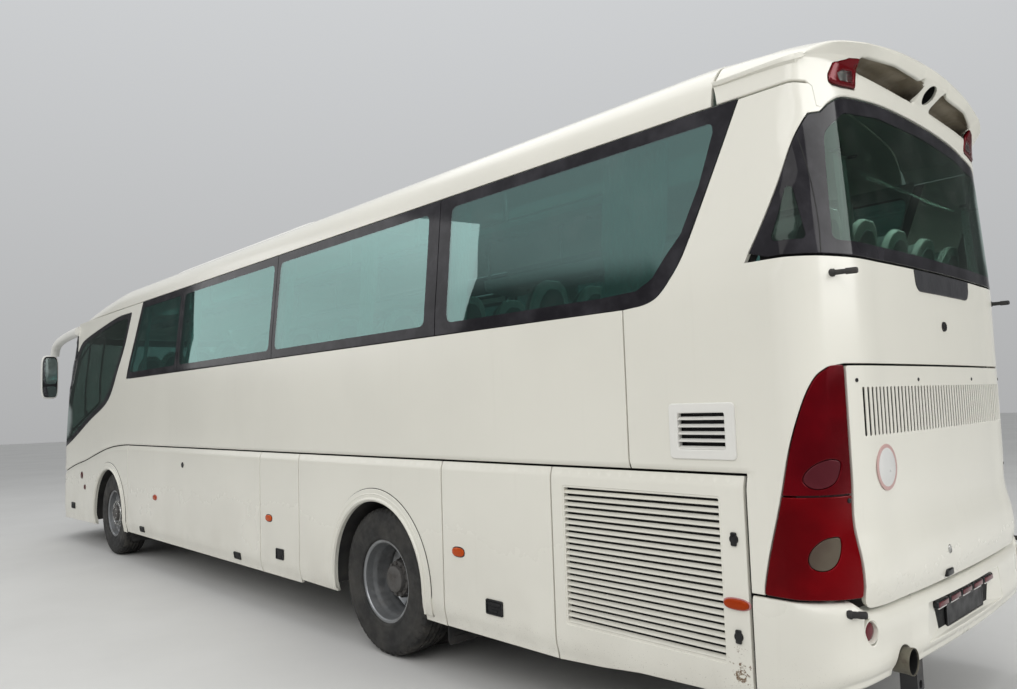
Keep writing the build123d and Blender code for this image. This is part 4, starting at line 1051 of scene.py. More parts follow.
def arch_path(which, r, x_lo, z_lo, x_hi, z_hi, n=44):
    """Round a wheel arch from its rear foot over the top to its front foot."""
    cx, cz, _ = ARCHES[which]
    t = np.linspace(math.pi, 0, n)
    p = [(cx - r, z_lo)] + [(cx + r * math.cos(a), cz + r * math.sin(a)) for a in t] + [(cx + r, z_hi)]
    return p


def skirt(x):
    return float(np.interp(x, [0.012, 0.30, 0.65, 0.90, 1.207, 2.2, 4.1, 8.42, 11.426, 11.9],
                           [0.415, 0.413, 0.400, 0.372, 0.352, 0.350, 0.378, 0.352, 0.300, 0.285]))


# ------------------------------------------------------------------ the two sides
def build_side(name, s):
    surf = lambda P: side(P, s)
    sg = -1 if s > 0 else 1
    up = Part(name + "_upper_skin", "body", [WHITE, VOID, TRIMP, SEAL], "white_paint", (name + "_side_panel",))
    low_edge = crease(0.005)
    kw = dict(thick=0.026, r=0.004, grid=(0.16, 0.09), step=0.05, extra=CREASE_ROWS)
    front_rail = [(11.426, 1.262), (11.345, 1.286)]
    over = [(10.954, 2.985), (10.942, 3.150), (8.144, 3.150), (8.502, 2.222)]
    if s > 0:
        low = [tuple(p) for p in grown(CAB_GLASS, 0.004)]
        # the panel goes round the driver's window from its front lower corner to the screen's top corner
        i0 = int(np.argmin([abs(p[0] - 11.336) + abs(p[1] - 1.315) for p in low]))
        ring = low[i0:] + low[:i0]
        if ring[1][0] > ring[-1][0]:
            ring = [ring[0]] + ring[1:][::-1]
        i1 = int(np.argmin([abs(p[0] - 10.856) + abs(p[1] - 2.731) for p in ring]))
        around = ring[:i1 + 1]
        outer = run(low_edge, 0.654, 11.426) + front_rail + around + [(10.884, 2.742), (10.901, 2.868)] + over + \
            [(0.654, 2.222)]
        panel(up, surf, sg, outer, **kw)
    else:
        panel(up, surf, sg, run(low_edge, 0.654, 4.108) + [(4.108, 2.222), (0.654, 2.222)], **kw)
        outer = run(low_edge, 4.822, 10.118) + [(10.118, 2.834), (10.898, 2.834)] + over + [(4.822, 2.222)]
        panel(up, surf, sg, outer, [grown(CAB_GLASS_R, 0.004)], **kw)
        panel(up, surf, sg, run(low_edge, 11.022, 11.426) + front_rail + [(11.256, 1.850), (11.028, 2.392), (11.022, 2.392)],
              **kw)
    # wall behind the glass, with the window openings; its inside is the cabin's side trim
    wall_out = [(0.60, 1.44)] + [(x, z + 0.03) for x, z in run(CREASE, 1.0, 8.30, 0.6)] + \
        [(8.47, 1.45), (8.470, 2.25), (8.12, 3.17), (0.03, 3.17), (0.30, 2.52), (0.45, 2.32), (0.60, 2.25)]
    clear = [[(0.800, 2.300), (2.105, 2.300), (2.105, 3.075), (0.121, 3.075), (0.113, 3.03), (0.19, 2.78), (0.29, 2.56),
              (0.38, 2.46), (0.46, 2.36), (0.56, 2.31)],
             [(2.350, 2.300), (4.520, 2.300), (4.520, 3.075), (2.350, 3.075)],
             [(4.640, 2.300), (6.750, 2.300), (6.750, 3.075), (4.640, 3.075)],
             [(6.880, 2.300), (8.400, 2.300), (8.090, 3.075), (6.880, 3.075)]]
    clear = [fillet(c, 0.05, 4) for c in clear]
    inner = [grown(c, 0.012) for c in clear]
    wkw = dict(thick=0.014, r=0.003, grid=0.30, step=0.15, mat=1, edge_mat=2, back_mat=2, depth=0.029)
    if s > 0:
        panel(up, surf, sg, wall_out, inner, **wkw)
    else:
        left = [p for p in wall_out if p[0] < 4.09]
        a = [p for p in left if p[1] < 2.0] + [(4.09, 1.44), (4.09, 3.17)] + [p for p in left if p[1] > 2.0 and p[0] < 4]
        a = [(0.60, 1.44), (4.09, 1.44), (4.09, 3.17), (0.03, 3.17), (0.30, 2.52), (0.45, 2.32), (0.60, 2.25)]
        panel(up, surf, sg, a, [inner[0], grown(fillet([(2.350, 2.300), (4.02, 2.300), (4.02, 3.075), (2.350, 3.075)], 0.05, 4), 0.012)], **wkw)
        b = [(4.84, 1.44), (8.47, 1.45), (8.470, 2.25), (8.12, 3.17), (4.84, 3.17)]
        panel(up, surf, sg, b, [grown(fillet([(4.93, 2.300), (6.750, 2.300), (6.750, 3.075), (4.93, 3.075)], 0.05, 4), 0.012),
                                inner[3]], **wkw)
    # rubber round the driver's window, and black trim strip along the screen's edge
    g = CAB_GLASS if s > 0 else CAB_GLASS_R
    panel(up, surf, sg, grown(g, 0.020), [grown(g, -0.050)], thick=0.010, r=0.002, grid=0.4, step=0.10, mat=3,
          depth=0.027)
    up.done()

    # glass
    gl = Part(name + "_side_glass", "body", [FRIT, TINT, CABG, BLACKG], "tinted_glass")
    gkw = dict(thick=0.006, r=0.0018, grid=(0.35, 0.22), step=0.10, seg=2)

    def pane(outline, clears, cmat=1):
        def matf(c):
            return np.where(inside(c, [np.asarray(q) for q in clears]), cmat, 0)
        panel(gl, surf, sg, outline, lines=clears, matf=matf, **gkw)
    rear_edge = [tuple(p) for p in PANE_REAR]
    if s > 0:
        pane(fillet([(2.227, 2.228)] + rear_edge + [(2.227, 3.151)], 0.004, 2), [clear[0]])
        pane(rect(2.233, 4.577, 2.228, 3.151, 0.004, 2), [clear[1]])
        pane(rect(4.583, 6.812, 2.228, 3.151, 0.004, 2), [clear[2]])
        pane([(6.818, 2.228), (8.496, 2.228), (8.141, 3.151), (6.818, 3.151)], [clear[3]])
        c = fillet([(8.610, 3.000), (9.077, 3.004), (9.824, 2.926), (10.480, 2.840), (10.680, 2.772), (10.76, 2.66),
                    (11.150, 1.850), (11.225, 1.440), (11.19, 1.415), (10.660, 1.585), (10.040, 1.790), (9.400, 1.975),
                    (9.120, 2.150), (8.920, 2.390), (8.735, 2.680)], 0.06, 4)
        pane(CAB_GLASS, [c], 2)
        # frame of the sliding window, inside the driver's glass
        fr = Part("driver_sliding_window_frame", "body", [BLACK])
        inn = offset(surf, sg, 0.007)
        for loop in (fillet([(9.62, 1.96), (10.30, 1.76), (10.30, 2.80), (9.62, 2.88)], 0.05, 4),
                     fillet([(10.30, 1.76), (10.98, 1.575), (11.02, 1.90), (10.72, 2.62), (10.30, 2.80)], 0.05, 4)):
            panel(fr, inn, sg, grown(loop, 0.014), [grown(loop, -0.014)], thick=0.016, r=0.003, grid=0.3, step=0.08, seg=2)
        rbox(fr, (10.33, 1.214, 1.78), (10.36, 1.232, 1.86), 0.004)
        fr.done()
    else:
        pane(fillet([(2.227, 2.228)] + rear_edge + [(2.227, 3.151)], 0.004, 2), [clear[0]])
        pane(rect(2.233, 4.106, 2.228, 3.151, 0.004, 2), [fillet([(2.350, 2.300), (4.02, 2.300), (4.02, 3.075), (2.350, 3.075)], 0.05, 4)])
        pane(rect(4.112, 4.818, 2.962, 3.151, 0.004, 2), [[(4.4, 3.04), (4.5, 3.04), (4.5, 3.05)]])
        pane(rect(4.824, 6.812, 2.228, 3.151, 0.004, 2), [fillet([(4.93, 2.300), (6.750, 2.300), (6.750, 3.075), (4.93, 3.075)], 0.05, 4)])
        pane([(6.818, 2.228), (8.496, 2.228), (8.141, 3.151), (6.818, 3.151)], [clear[3]])
        c = fillet([(8.610, 3.000), (9.077, 3.004), (9.824, 2.926), (10.050, 2.900), (10.050, 1.790), (9.400, 1.975),
                    (9.120, 2.150), (8.920, 2.390), (8.735, 2.680)], 0.06, 4)
        pane(CAB_GLASS_R, [c], 2)
    # black strip between the driver's glass and the windscreen
    if s > 0:
        panel(gl, offset(surf, sg, 0.004), sg, fillet([(10.858, 2.726), (10.884, 2.742), (11.256, 1.850), (11.339, 1.300), (11.337, 1.321),
                                      (11.244, 1.852)], 0.0), thick=0.010, r=0.002, grid=0.2, step=0.08, mat=3, seg=2)
    rep = ("side_windows",) if s > 0 else ()
    gl.replaces = rep
    gl.done()

    # fixed lower panels
    lo = Part(name + "_lower_panels", "body", [WHITE, SEAL], "white_paint", ("lower_side_panels",) if s > 0 else ())
    lkw = dict(thick=0.026, r=0.004, grid=(0.12, 0.10), step=0.045, extra=CREASE_ROWS)
    top = crease(-0.005)

    def lower(x0, x1, cuts, z0=None, z1=None):
        pts = [(x0, z0 if z0 is not None else skirt(x0))]
        for which in cuts:
            cx, cz, r = ARCHES[which]
            pts += [(cx - r, skirt(cx - r))] + arch_path(which, r, 0, skirt(cx - r), 0, skirt(cx + r))[1:-1] + \
                [(cx + r, skirt(cx + r))]
        pts += [(x1, z1 if z1 is not None else skirt(x1))]
        pts += run(top, x1, x0)
        panel(lo, surf, sg, pts, **lkw)
    lower(2.205, 4.105, ["rear"])
    if s > 0:
        lower(8.425, 11.426, ["front"])
    else:
        lower(8.425, 10.118, ["front"])
        lower(11.022, 11.426, [])
    # wheel arch mouldings: a broad flat ring and a raised rounded lip, down to the skirt
    for which, (cx, cz, r) in ARCHES.items():
        w = 0.088
        foot = {"rear": (0.392, 0.392), "front": (0.345, 0.345)}[which]
        loop = arch_path(which, r - 0.004, 0, foot[0], 0, foot[1], 60) + \
            arch_path(which, r + w, 0, foot[0] - 0.004, 0, foot[1] - 0.004, 60)[::-1]
        outm = lambda P, q=surf: q(P) + np.array([0, s * 0.011, 0])
        panel(lo, outm, sg, loop, thick=0.014, r=0.0055, grid=0.3, step=0.05, seg=3)
        # dark sealing line round the moulding's outer edge
        rim_ = arch_path(which, r + w + 0.0015, 0, foot[0] - 0.004, 0, foot[1] - 0.004, 60)
        path = np.array([(x, s * (abs(surf(np.array([[x, z]]))[0][1]) + 0.0005), z) for x, z in rim_])
        tube(lo, path, 0.0032, 6, 1)
        # rounded lip at the inner edge
        lip = arch_path(which, r + 0.014, 0, foot[0] + 0.004, 0, foot[1] + 0.004, 60)
        path = np.array([(x, s * (abs(surf(np.array([[x, z]]))[0][1]) + 0.008), z) for x, z in lip])
        tube(lo, path, 0.0135, 10, 0)
        # step line in the ring
        lip = arch_path(which, r + 0.052, 0, foot[0] + 0.004, 0, foot[1] + 0.004, 60)
        path = np.array([(x, s * (abs(surf(np.array([[x, z]]))[0][1]) + 0.0085), z) for x, z in lip])
        tube(lo, path, 0.0055, 8, 0)
    lo.done()

    # black linings behind the gaps, and the wheel wells
    bk = Part(name + "_gap_linings", "body", [VOID, RUBBER])
    dk = dict(thick=0.006, r=0.002, grid=0.5, step=0.2, seg=1)
    # behind the gap over the lids
    gap = run(lambda x: CREASE(x) - 0.055, 0.02, 11.40, 0.25) + run(lambda x: CREASE(x) + 0.012, 11.40, 0.02, 0.25)
    if s > 0:
        panel(bk, offset(surf, sg, 0.052), sg, gap, **dk)
    else:
        for x0, x1 in ((0.02, 4.09), (4.84, 10.08), (11.05, 11.40)):
            panel(bk, offset(surf, sg, 0.052), sg, run(lambda x: CREASE(x) - 0.055, x0, x1, 0.25) +
                  run(lambda x: CREASE(x) + 0.012, x1, x0, 0.25), **dk)
    for x in ([1.2095, 2.2, 4.11, 4.82, 8.42] if s > 0 else [1.2095, 2.2, 8.42]):
        z1 = float(CREASE(x)) - 0.06
        panel(bk, offset(surf, sg, 0.052), sg, [(x - 0.028, skirt(x) + 0.03), (x + 0.028, skirt(x) + 0.03),
                                                (x + 0.028, z1), (x - 0.028, z1)], **dk)
    panel(bk, offset(surf, sg, 0.052), sg, rect(-0.045, 0.020, 0.45, 1.36), **dk)
    panel(bk, offset(surf, sg, 0.040), sg, rect(0.62, 0.68, 1.425, 2.25), **dk)
    bk.done()
    # wheel wells: half drums with an inner wall
    ww = Part(name + "_wheel_wells", "body", [RUBBER, CHASSIS])
    for which, (cx, cz, r) in ARCHES.items():
        y0, y1 = s * 1.243, s * (0.52 if which == "rear" else 0.62)
        R = r + 0.018
        arc = [(cx - R, cz - 0.10)] + [(cx + R * math.cos(a), cz + R * math.sin(a)) for a in np.linspace(math.pi, 0, 40)] + \
            [(cx + R, cz - 0.10)]
        n = len(arc)
        ysl = np.linspace(y0, y1, 6)
        verts, faces = [], []
        for k, rr in enumerate((0.0, 0.008)):
            for y in ysl:
                # room for the turned tyre, inside the front arches
                g = 0.055 if which == "front" and abs(y) < 1.2 else 0.0
                for i, (x, z) in enumerate(arc):
                    d = unit(np.array([x - cx, max(z - cz, 0) if z < cz else z - cz]))
                    verts.append((x + d[0] * (rr + g), y, z + d[1] * rr))
        m = len(ysl)
        idx = lambda k, j, i: k * m * n + j * n + i
        for k in (0, 1):
            for j in range(m - 1):
                for i in range(n - 1):
                    f = [idx(k, j, i), idx(k, j, i + 1), idx(k, j + 1, i + 1), idx(k, j + 1, i)]
                    faces.append(f if (k == 0) == (s > 0) else f[::-1])
        for j in range(m - 1):
            for i, fl in ((0, False), (n - 1, True)):
                f = [idx(0, j, i), idx(0, j + 1, i), idx(1, j + 1, i), idx(1, j, i)]
                faces.append(f if fl == (s > 0) else f[::-1])
        for j, fl in ((0, True), (m - 1, False)):
            for i in range(n - 1):
                f = [idx(0, j, i), idx(0, j, i + 1), idx(1, j, i + 1), idx(1, j, i)]
                faces.append(f if fl == (s > 0) else f[::-1])
        ww.add(verts, faces, 0)
    ww.done()


for _n, _s in (("left", 1), ("right", -1)):
    build_side(_n, _s)


# ------------------------------------------------------------------ small fittings
def marker(part, surf, sg, cx, cz, w, h, mat, base_mat, stand=0.012):
    """Oval side marker lamp on a base, standing out of the skin."""
    S = surf(np.array([[cx, cz]]))[0]
    N = normals_of(surf, np.array([[cx, cz]]))[0] * sg
    ux = unit(surf(np.array([[cx + 0.01, cz]]))[0] - S)
    uz = unit(np.cross(N, ux))
    if uz[2] < 0:
        uz = -uz
    for rw, rh, d0, d1, mt in ((w * 0.56, h * 0.62, -0.004, 0.004, base_mat), (w * 0.5, h * 0.5, 0.002, stand, mat)):
        rows, n = [], 36
        t = np.linspace(0, 2 * math.pi, n, endpoint=False)
        prof = [(1.0, d0), (1.0, d0 + (d1 - d0) * 0.35), (0.95, d0 + (d1 - d0) * 0.68), (0.80, d0 + (d1 - d0) * 0.90),
                (0.45, d1), (0.0, d1)]
        verts, faces = [], []
        for f, d in prof[:-1]:
            for a in t:
                verts.append(S + ux * rw * f * math.copysign(abs(math.cos(a)) ** 0.8, math.cos(a)) +
                             uz * rh * f * math.copysign(abs(math.sin(a)) ** 0.8, math.sin(a)) + N * d)
        verts.append(S + N * d1)
        m = len(prof) - 1
        for k in range(m - 1):
            for i in range(n):
                j = (i + 1) % n
                faces.append([k * n + i, k * n + j, (k + 1) * n + j, (k + 1) * n + i])
        for i in range(n):
            faces.append([(m - 1) * n + i, (m - 1) * n + (i + 1) % n, m * n])
        faces.append(list(range(n))[::-1])
        flip = float(np.cross(ux, uz) @ N) < 0
        part.add(verts, faces, mt, flip=flip)


def handle(part, surf, sg, x0, x1, z0, z1, mat):
    """Recessed black latch: a tray with a flap, in a rim."""
    S = surf(np.array([[(x0 + x1) / 2, (z0 + z1) / 2]]))[0]
    N = normals_of(surf, np.array([[(x0 + x1) / 2, (z0 + z1) / 2]]))[0] * sg
    ux = np.array([1.0, 0, 0])
    uz = unit(np.cross(N, ux)) * (1 if np.cross(N, ux)[2] > 0 else -1)
    w, h = (x1 - x0) / 2, (z1 - z0) / 2
    o = S + N * 0.009
    a, b = (ux, uz) if float(np.cross(ux, uz) @ N) > 0 else (-ux, uz)
    plate(part, o, a, b, rect(-w, w, -h, h, 0.010, 4), [rect(-w + 0.010, w - 0.010, -h + 0.010, h - 0.010, 0.006, 4)],
          thick=0.014, r=0.003, mat=mat)
    plate(part, o - N * 0.0065, a, b, rect(-w + 0.008, w - 0.008, -h + 0.008, h - 0.008, 0.006, 3), thick=0.006, mat=mat)
    plate(part, o - N * 0.001, a, b, rect(-w + 0.016, w - 0.016, h * 0.28, h - 0.016, 0.005, 3), thick=0.006, r=0.002, mat=mat)
    plate(part, o - N * 0.003, a, b, rect(-w + 0.016, w - 0.022, -h * 0.14, h * 0.08, 0.004, 3), thick=0.005, r=0.0015, mat=mat)
    plate(part, o - N * 0.002, a, b, rect(-w * 0.35, w * 0.35, -h + 0.016, -h * 0.34, 0.004, 3), thick=0.006, r=0.0015, mat=mat)


def round_cap(part, surf, sg, cx, cz, r, mat, out=0.004, mats=None):
    S = surf(np.array([[cx, cz]]))[0]
    N = normals_of(surf, np.array([[cx, cz]]))[0] * sg
    lathe(part, [(-0.003, 0), (-0.003, r), (out * 0.5, r), (out, r * 0.86), (out, r * 0.70), (out * 0.6, r * 0.62),
                 (out * 0.6, 0)], S, N, mat, 28, closed=False)


# ------------------------------------------------------------------ luggage lids
LID_ROWS = CREASE_ROWS[(CREASE_ROWS[:, 1] < CREASE(CREASE_ROWS[:, 0]) + 0.001)]
LOW_ROWS = np.array([(x, z) for x in np.arange(0.0, 11.5, 0.14) for z in (0.37, 0.40, 0.43, 0.465, 0.505)])
for _name, _x0, _x1, _sides in (("front", 4.825, 8.415, ("left", "right")), ("mid", 4.115, 4.815, ("left",)),
                                ("rear", 1.217, 2.195, ("left", "right"))):
    for _side, _s in (("left", 1), ("right", -1)):
        if _side not in _sides:
            continue
        node = "luggage_door_%s_%s" % (_side, _name)
        surf = (lambda P, s=_s: side(P, s))
        sg = -1 if _s > 0 else 1
        p = Part("lid_%s_%s" % (_side, _name), node, [WHITE, BLACK, ORANGE, BLACKG, SEAL, GALV, PINK], "white_paint", (node,))
        outer = [(_x0, 0.352), (_x1, 0.352)] + run(crease(-0.005), _x1, _x0)
        panel(p, surf, sg, outer, thick=0.024, r=0.0045, grid=(0.16, 0.12), step=0.05,
              extra=np.vstack([LID_ROWS, LOW_ROWS]))
        # inner pressing and its rubber
        inn = [(_x0 + 0.035, 0.40), (_x1 - 0.035, 0.40)] + run(crease(-0.075), _x1 - 0.035, _x0 + 0.035, 0.5)
        holes = []
        k = max(1, int((_x1 - _x0) / 0.62))
        for i in range(k):
            a = _x0 + 0.08 + (i + 0.5) * (_x1 - _x0 - 0.16) / k
            w = (_x1 - _x0 - 0.16) / k / 2 - 0.035
            holes.append(rect(a - w, a + w, 0.50, 1.22, 0.05, 4))
        panel(p, offset(surf, sg, 0.0245), sg, inn, holes, thick=0.014, r=0.004, grid=0.5, step=0.25, mat=5, seg=2)
        panel(p, offset(surf, sg, 0.0250), sg, grown(inn, -0.004), [grown(inn, -0.016)], thick=0.019, r=0.004, grid=0.6,
              step=0.25, mat=4, seg=2)
        hx = {"front": [], "mid": [(4.375, 4.515)], "rear": [(1.635, 1.785)]}[_name]
        for a, b in hx:
            handle(p, surf, sg, a, b, 0.505, 0.595, 1)
        if _name == "front":
            for a in (5.30, 7.90):
                handle(p, surf, sg, a - 0.07, a + 0.07, 0.405, 0.470, 1)
            marker(p, surf, sg, 7.467, 0.833, 0.115, 0.055, 2, 6)
            round_cap(p, surf, sg, 6.640, 1.227, 0.030, 3, 0.006)
        elif _name == "mid":
            marker(p, surf, sg, 4.647, 0.836, 0.115, 0.055, 2, 3)
        else:
            marker(p, surf, sg, 2.040, 0.840, 0.115, 0.055, 2, 3)
        p.done()

# front lower side: marker lamps and a latch
for _side, _s in (("left", 1), ("right", -1)):
    surf = (lambda P, s=_s: side(P, s))
    sg = -1 if _s > 0 else 1
    p = Part("front_side_fittings_" + _side, "body", [RED_DARK, BLACKG, BLACK, ORANGE])
    if _s > 0:
        marker(p, surf, sg, 10.377, 0.959, 0.085, 0.085, 0, 1)
        marker(p, surf, sg, 10.226, 0.801, 0.060, 0.060, 0, 1)
        handle(p, surf, sg, 10.70, 10.87, 0.47, 0.555, 2)
    else:
        marker(p, surf, sg, 9.98, 0.80, 0.060, 0.060, 0, 1)
    p.done()

# ------------------------------------------------------------------ engine side doors with louvres
GRILLE = (0.135, 1.125, 0.560, 1.305)
for _side, _s in (("left", 1), ("right", -1)):
    node = "engine_door_" + _side
    surf = (lambda P, s=_s: side(P, s))
    sg = -1 if _s > 0 else 1
    p = Part("engine_side_door_" + _side, node, [WHITE_R if _s > 0 else WHITE, BLACK, ORANGE, BLACKG, VOID, PINK],
             "white_paint", (node,))
    low = [(x, skirt(x)) for x in (0.012, 0.10, 0.20, 0.30, 0.42, 0.54, 0.65, 0.78, 0.90, 1.00, 1.10, 1.207)]
    outer = low + run(crease(-0.005), 1.207, 0.012)
    g = rect(*GRILLE, 0.012, 3)
    panel(p, surf, sg, outer, [g], thick=0.022, r=0.004, grid=(0.11, 0.10), step=0.04,
          extra=np.vstack([LID_ROWS, LOW_ROWS]))
    # raised frame round the opening, one step in
    panel(p, surf, sg, grown(rect(GRILLE[0] - 0.002, GRILLE[1] + 0.002, GRILLE[2] - 0.002, GRILLE[3] + 0.002, 0.012, 3), 0.0),
          [rect(GRILLE[0] + 0.010, GRILLE[1] - 0.010, GRILLE[2] + 0.010, GRILLE[3] - 0.010, 0.006, 3)],
          thick=0.030, r=0.002, grid=0.4, step=0.1, depth=0.004, seg=2)
    n = 22
    pitch = (GRILLE[3] - GRILLE[2] - 0.020) / n
    for i in range(n):
        z0 = GRILLE[2] + 0.010 + (i + 0.04) * pitch
        zt = z0 + pitch * 0.50
        sec = [(-0.002, z0), (-0.0005, z0 + 0.003), (-0.017, zt), (-0.0200, zt + 0.0012), (-0.0215, zt - 0.001),
               (-0.0055, z0 - 0.0005), (-0.004, z0 - 0.001)]
        ys = float(side(np.array([[0.6, z0]]), 1)[0][1])
        x0, x1 = GRILLE[0] + 0.006, GRILLE[1] - 0.006
        vs = [(x0, _s * (ys + a - 0.003), z) for a, z in sec] + [(x1, _s * (ys + a - 0.003), z) for a, z in sec]
        m = len(sec)
        fs = [[k, (k + 1) % m, m + (k + 1) % m, m + k] for k in range(m)] + [list(range(m))[::-1], [m + k for k in range(m)]]
        p.add(vs, fs, 0, flip=_s > 0)
    for x in (0.335, 0.630, 0.925):      # upright stiffeners behind the louvres
        rbox(p, (x - 0.004, _s * 1.222, GRILLE[2] - 0.006), (x + 0.004, _s * 1.236, GRILLE[3] + 0.006), 0.001, 1, 1)
    panel(p, offset(surf, sg, 0.034), sg, rect(GRILLE[0] - 0.012, GRILLE[1] + 0.012, GRILLE[2] - 0.012, GRILLE[3] + 0.012), thick=0.003, r=0.001, grid=0.3,
          step=0.15, mat=4, seg=1)
    for z in (1.120, 0.691):
        round_cap(p, surf, sg, 0.070, z, 0.022, 3, 0.010)
        S = surf(np.array([[0.070, z]]))[0]
        rbox(p, (0.055, S[1] - _s * 0.002, z - 0.031), (0.085, S[1] + _s * 0.012, z + 0.031), 0.007, 3, 3)
    marker(p, surf, sg, 0.073, 0.833, 0.125, 0.046, 2, 5, 0.016)
    p.done()

# ------------------------------------------------------------------ rear wall
LAMP_T = 1.070      # inner edge of the tail lamps, way round
lamp_edge = rear_t(open_curve([(-0.063, 0.889), (-0.103, 1.070), (-0.163, 1.289), (-0.218, 1.524), (-0.263, 1.685),
                               (-0.293, 1.774), (-0.322, 1.836), (-0.352, 1.870)], 4))
glass_edge = rear_t(open_curve([(-0.057, 2.365), (-0.132, 2.508), (-0.219, 2.699), (-0.285, 2.884), (-0.325, 3.005)], 4))
glass_top = rear_y(open_curve([(1.060, 3.020), (0.985, 3.078), (0.863, 3.124), (0.548, 3.162), (0.250, 3.174), (0.0, 3.177)], 4))
pane_edge_t = rear_t([(x - 0.006, z) for x, z in PANE_REAR[4:]])
T_DOOR = float(t_of(rear, 0, np.array([-0.004]), np.array([1.0]), 0, LR + 3)[0])
T_SEAM = float(t_of(rear, 0, np.array([0.646]), np.array([1.8]), 0, LR + 3)[0])


def mirror_t(pts):
    return [(-t, z) for t, z in pts][::-1]


half = [(0.0, 1.889), (1.058, 1.889)]                                      # over the lid
half += [(LAMP_T, 1.889)] + [(t, z) for t, z in grown(np.vstack([lamp_edge, [(LAMP_T, 1.872), (LAMP_T, 0.889)]]), 0.005)
                             if t > LAMP_T + 0.004 and z > 0.893][::1]
# order along the lamp: from its top corner down to its foot
tops = sorted([q for q in half[3:]], key=lambda q: -q[1])
half = half[:3] + tops + [(tops[-1][0] + 0.001, 0.893), (T_DOOR, 0.893)]
half += [(T_DOOR, z) for z in np.linspace(0.97, 1.40, 9)]
_sx = np.linspace(-0.004, 0.646, 10)
half += [(float(t_of(rear, 0, np.array([x]), np.array([CREASE(x) + 0.005]), 0, LR + 3)[0]), float(CREASE(x)) + 0.005) for x in _sx]
half += [(T_SEAM, 1.8), (T_SEAM, 2.222)]
half += [tuple(q) for q in rear_t([(x - 0.006, min(z, 3.150)) for x, z in PANE_REAR[3:]])]
half += [(float(t_of(rear, 0, np.array([-0.36]), np.array([3.150]), 0, LR + 3)[0]), 3.150)]
top_in = [(t, z) for t, z in grown(np.vstack([glass_edge, glass_top, [(0, 2.365)]]), 0.005) if t > 0.02]
# up the outer edge of the rear glass, from its lower corner
edge_down = sorted([q for q in top_in if q[1] < 3.12 and q[0] > float(glass_top[1][0]) - 0.02 and q[1] > 2.37], key=lambda q: -q[1])
half += [q for q in edge_down if q[1] < 3.125]
half += [(float(glass_edge[0][0]) + 0.006, 2.360), (0.0, 2.360)]
half = [(float(a), float(b)) for a, b in half]
# the right half runs the other way round
loop = half[:-1] + [(0.0, 2.360)]
full = [(t, z) for t, z in loop] + [(-t, z) for t, z in loop[1:-1]][::-1]
p = Part("rear_wall", "body", [WHITE, VOID, BLACK, CREAM, PANELG, RUBBER, BLACKG], "white_paint", ("rear_panel",))
ROWS_R = np.array([(sg_ * float(t_of(rear, 0, np.array([x]), np.array([1.4]), 0, LR + 3)[0]), float(CREASE(x)) + d)
                   for x in np.arange(-0.10, 0.64, 0.035) for d in (0.014, 0.024, 0.038, -0.020, -0.033, -0.048, -0.068)
                   for sg_ in (1, -1)])
VENT = (0.082, 0.344, 1.514, 1.693)
_v = [float(t_of(rear, 0, np.array([x]), np.array([1.6]), 0, LR + 3)[0]) for x in VENT[:2]]
vent_l = rect(_v[0], _v[1], VENT[2], VENT[3], 0.012, 3)
vent_r = rect(-_v[1], -_v[0], VENT[2], VENT[3], 0.012, 3)
panel(p, rear, -1, full, [vent_l, vent_r], thick=0.026, r=0.004, grid=(0.085, 0.085), step=0.04, extra=ROWS_R)
for s in (1, -1):
    surf = (lambda P, s=s: side(P, s))
    sg = -1 if s > 0 else 1
    # moulded vent frame with five slanted blades
    out = offset(surf, sg, -0.0085)
    panel(p, out, sg, rect(0.030, 0.390, 1.472, 1.736, 0.022, 5), [rect(VENT[0] + 0.004, VENT[1] - 0.004, VENT[2] + 0.004, VENT[3] - 0.004, 0.008, 3)],
          thick=0.0085, r=0.006, grid=0.3, step=0.08, mat=3, hole_thick=0.034)
    for i in range(5):
        z0 = VENT[2] + 0.006 + i * 0.0345
        ys = float(side(np.array([[0.2, 1.6]]), 1)[0][1])
        sec = [(0.004, z0), (0.0045, z0 + 0.003), (-0.016, z0 + 0.0140), (-0.019, z0 + 0.0130), (-0.003, z0 + 0.0005), (0.001, z0 - 0.002)]
        vs = [(x, s * (ys + a), z) for x in (VENT[0] + 0.003, VENT[1] - 0.003) for a, z in sec]
        m = len(sec)
        p.add(vs, [[k, (k + 1) % m, m + (k + 1) % m, m + k] for k in range(m)] + [list(range(m))[::-1], [m + k for k in range(m)]],
              3, flip=s > 0)
    panel(p, offset(surf, sg, 0.034), sg, rect(0.05, 0.38, 1.49, 1.72), thick=0.004, r=0.001, grid=0.4, step=0.2, mat=1, seg=1)
# blank panel under the glass, cap over the lid, and the rubber pegs
panel(p, offset(rear, -1, -0.006), -1, fillet([(a, b, c) for (a, b), c in zip(rear_y([(0.350, 2.358), (0.335, 2.252), (-0.43, 2.252), (-0.445, 2.358)]), (0.004, 0.060, 0.060, 0.004))], 0.022, 6),
      thick=0.010, r=0.004, grid=0.3, step=0.06, mat=4)
round_cap(p, rear, -1, 0.0, 2.088, 0.026, 6, 0.010)
for s in (1, -1):
    q = np.array([[s * 1.105, 2.285]])
    S, N = rear(q)[0], -normals_of(rear, q)[0]
    d = unit(np.array([-1.0, -s * 0.10, -0.02]))
    lathe(p, [(-0.01, 0), (-0.01, 0.0175), (0.008, 0.0175), (0.012, 0.0120), (0.056, 0.0112), (0.058, 0.0140), (0.100, 0.0138), (0.106, 0.0115),
              (0.108, 0)], S, d, 5, 24, closed=False)
p.done()

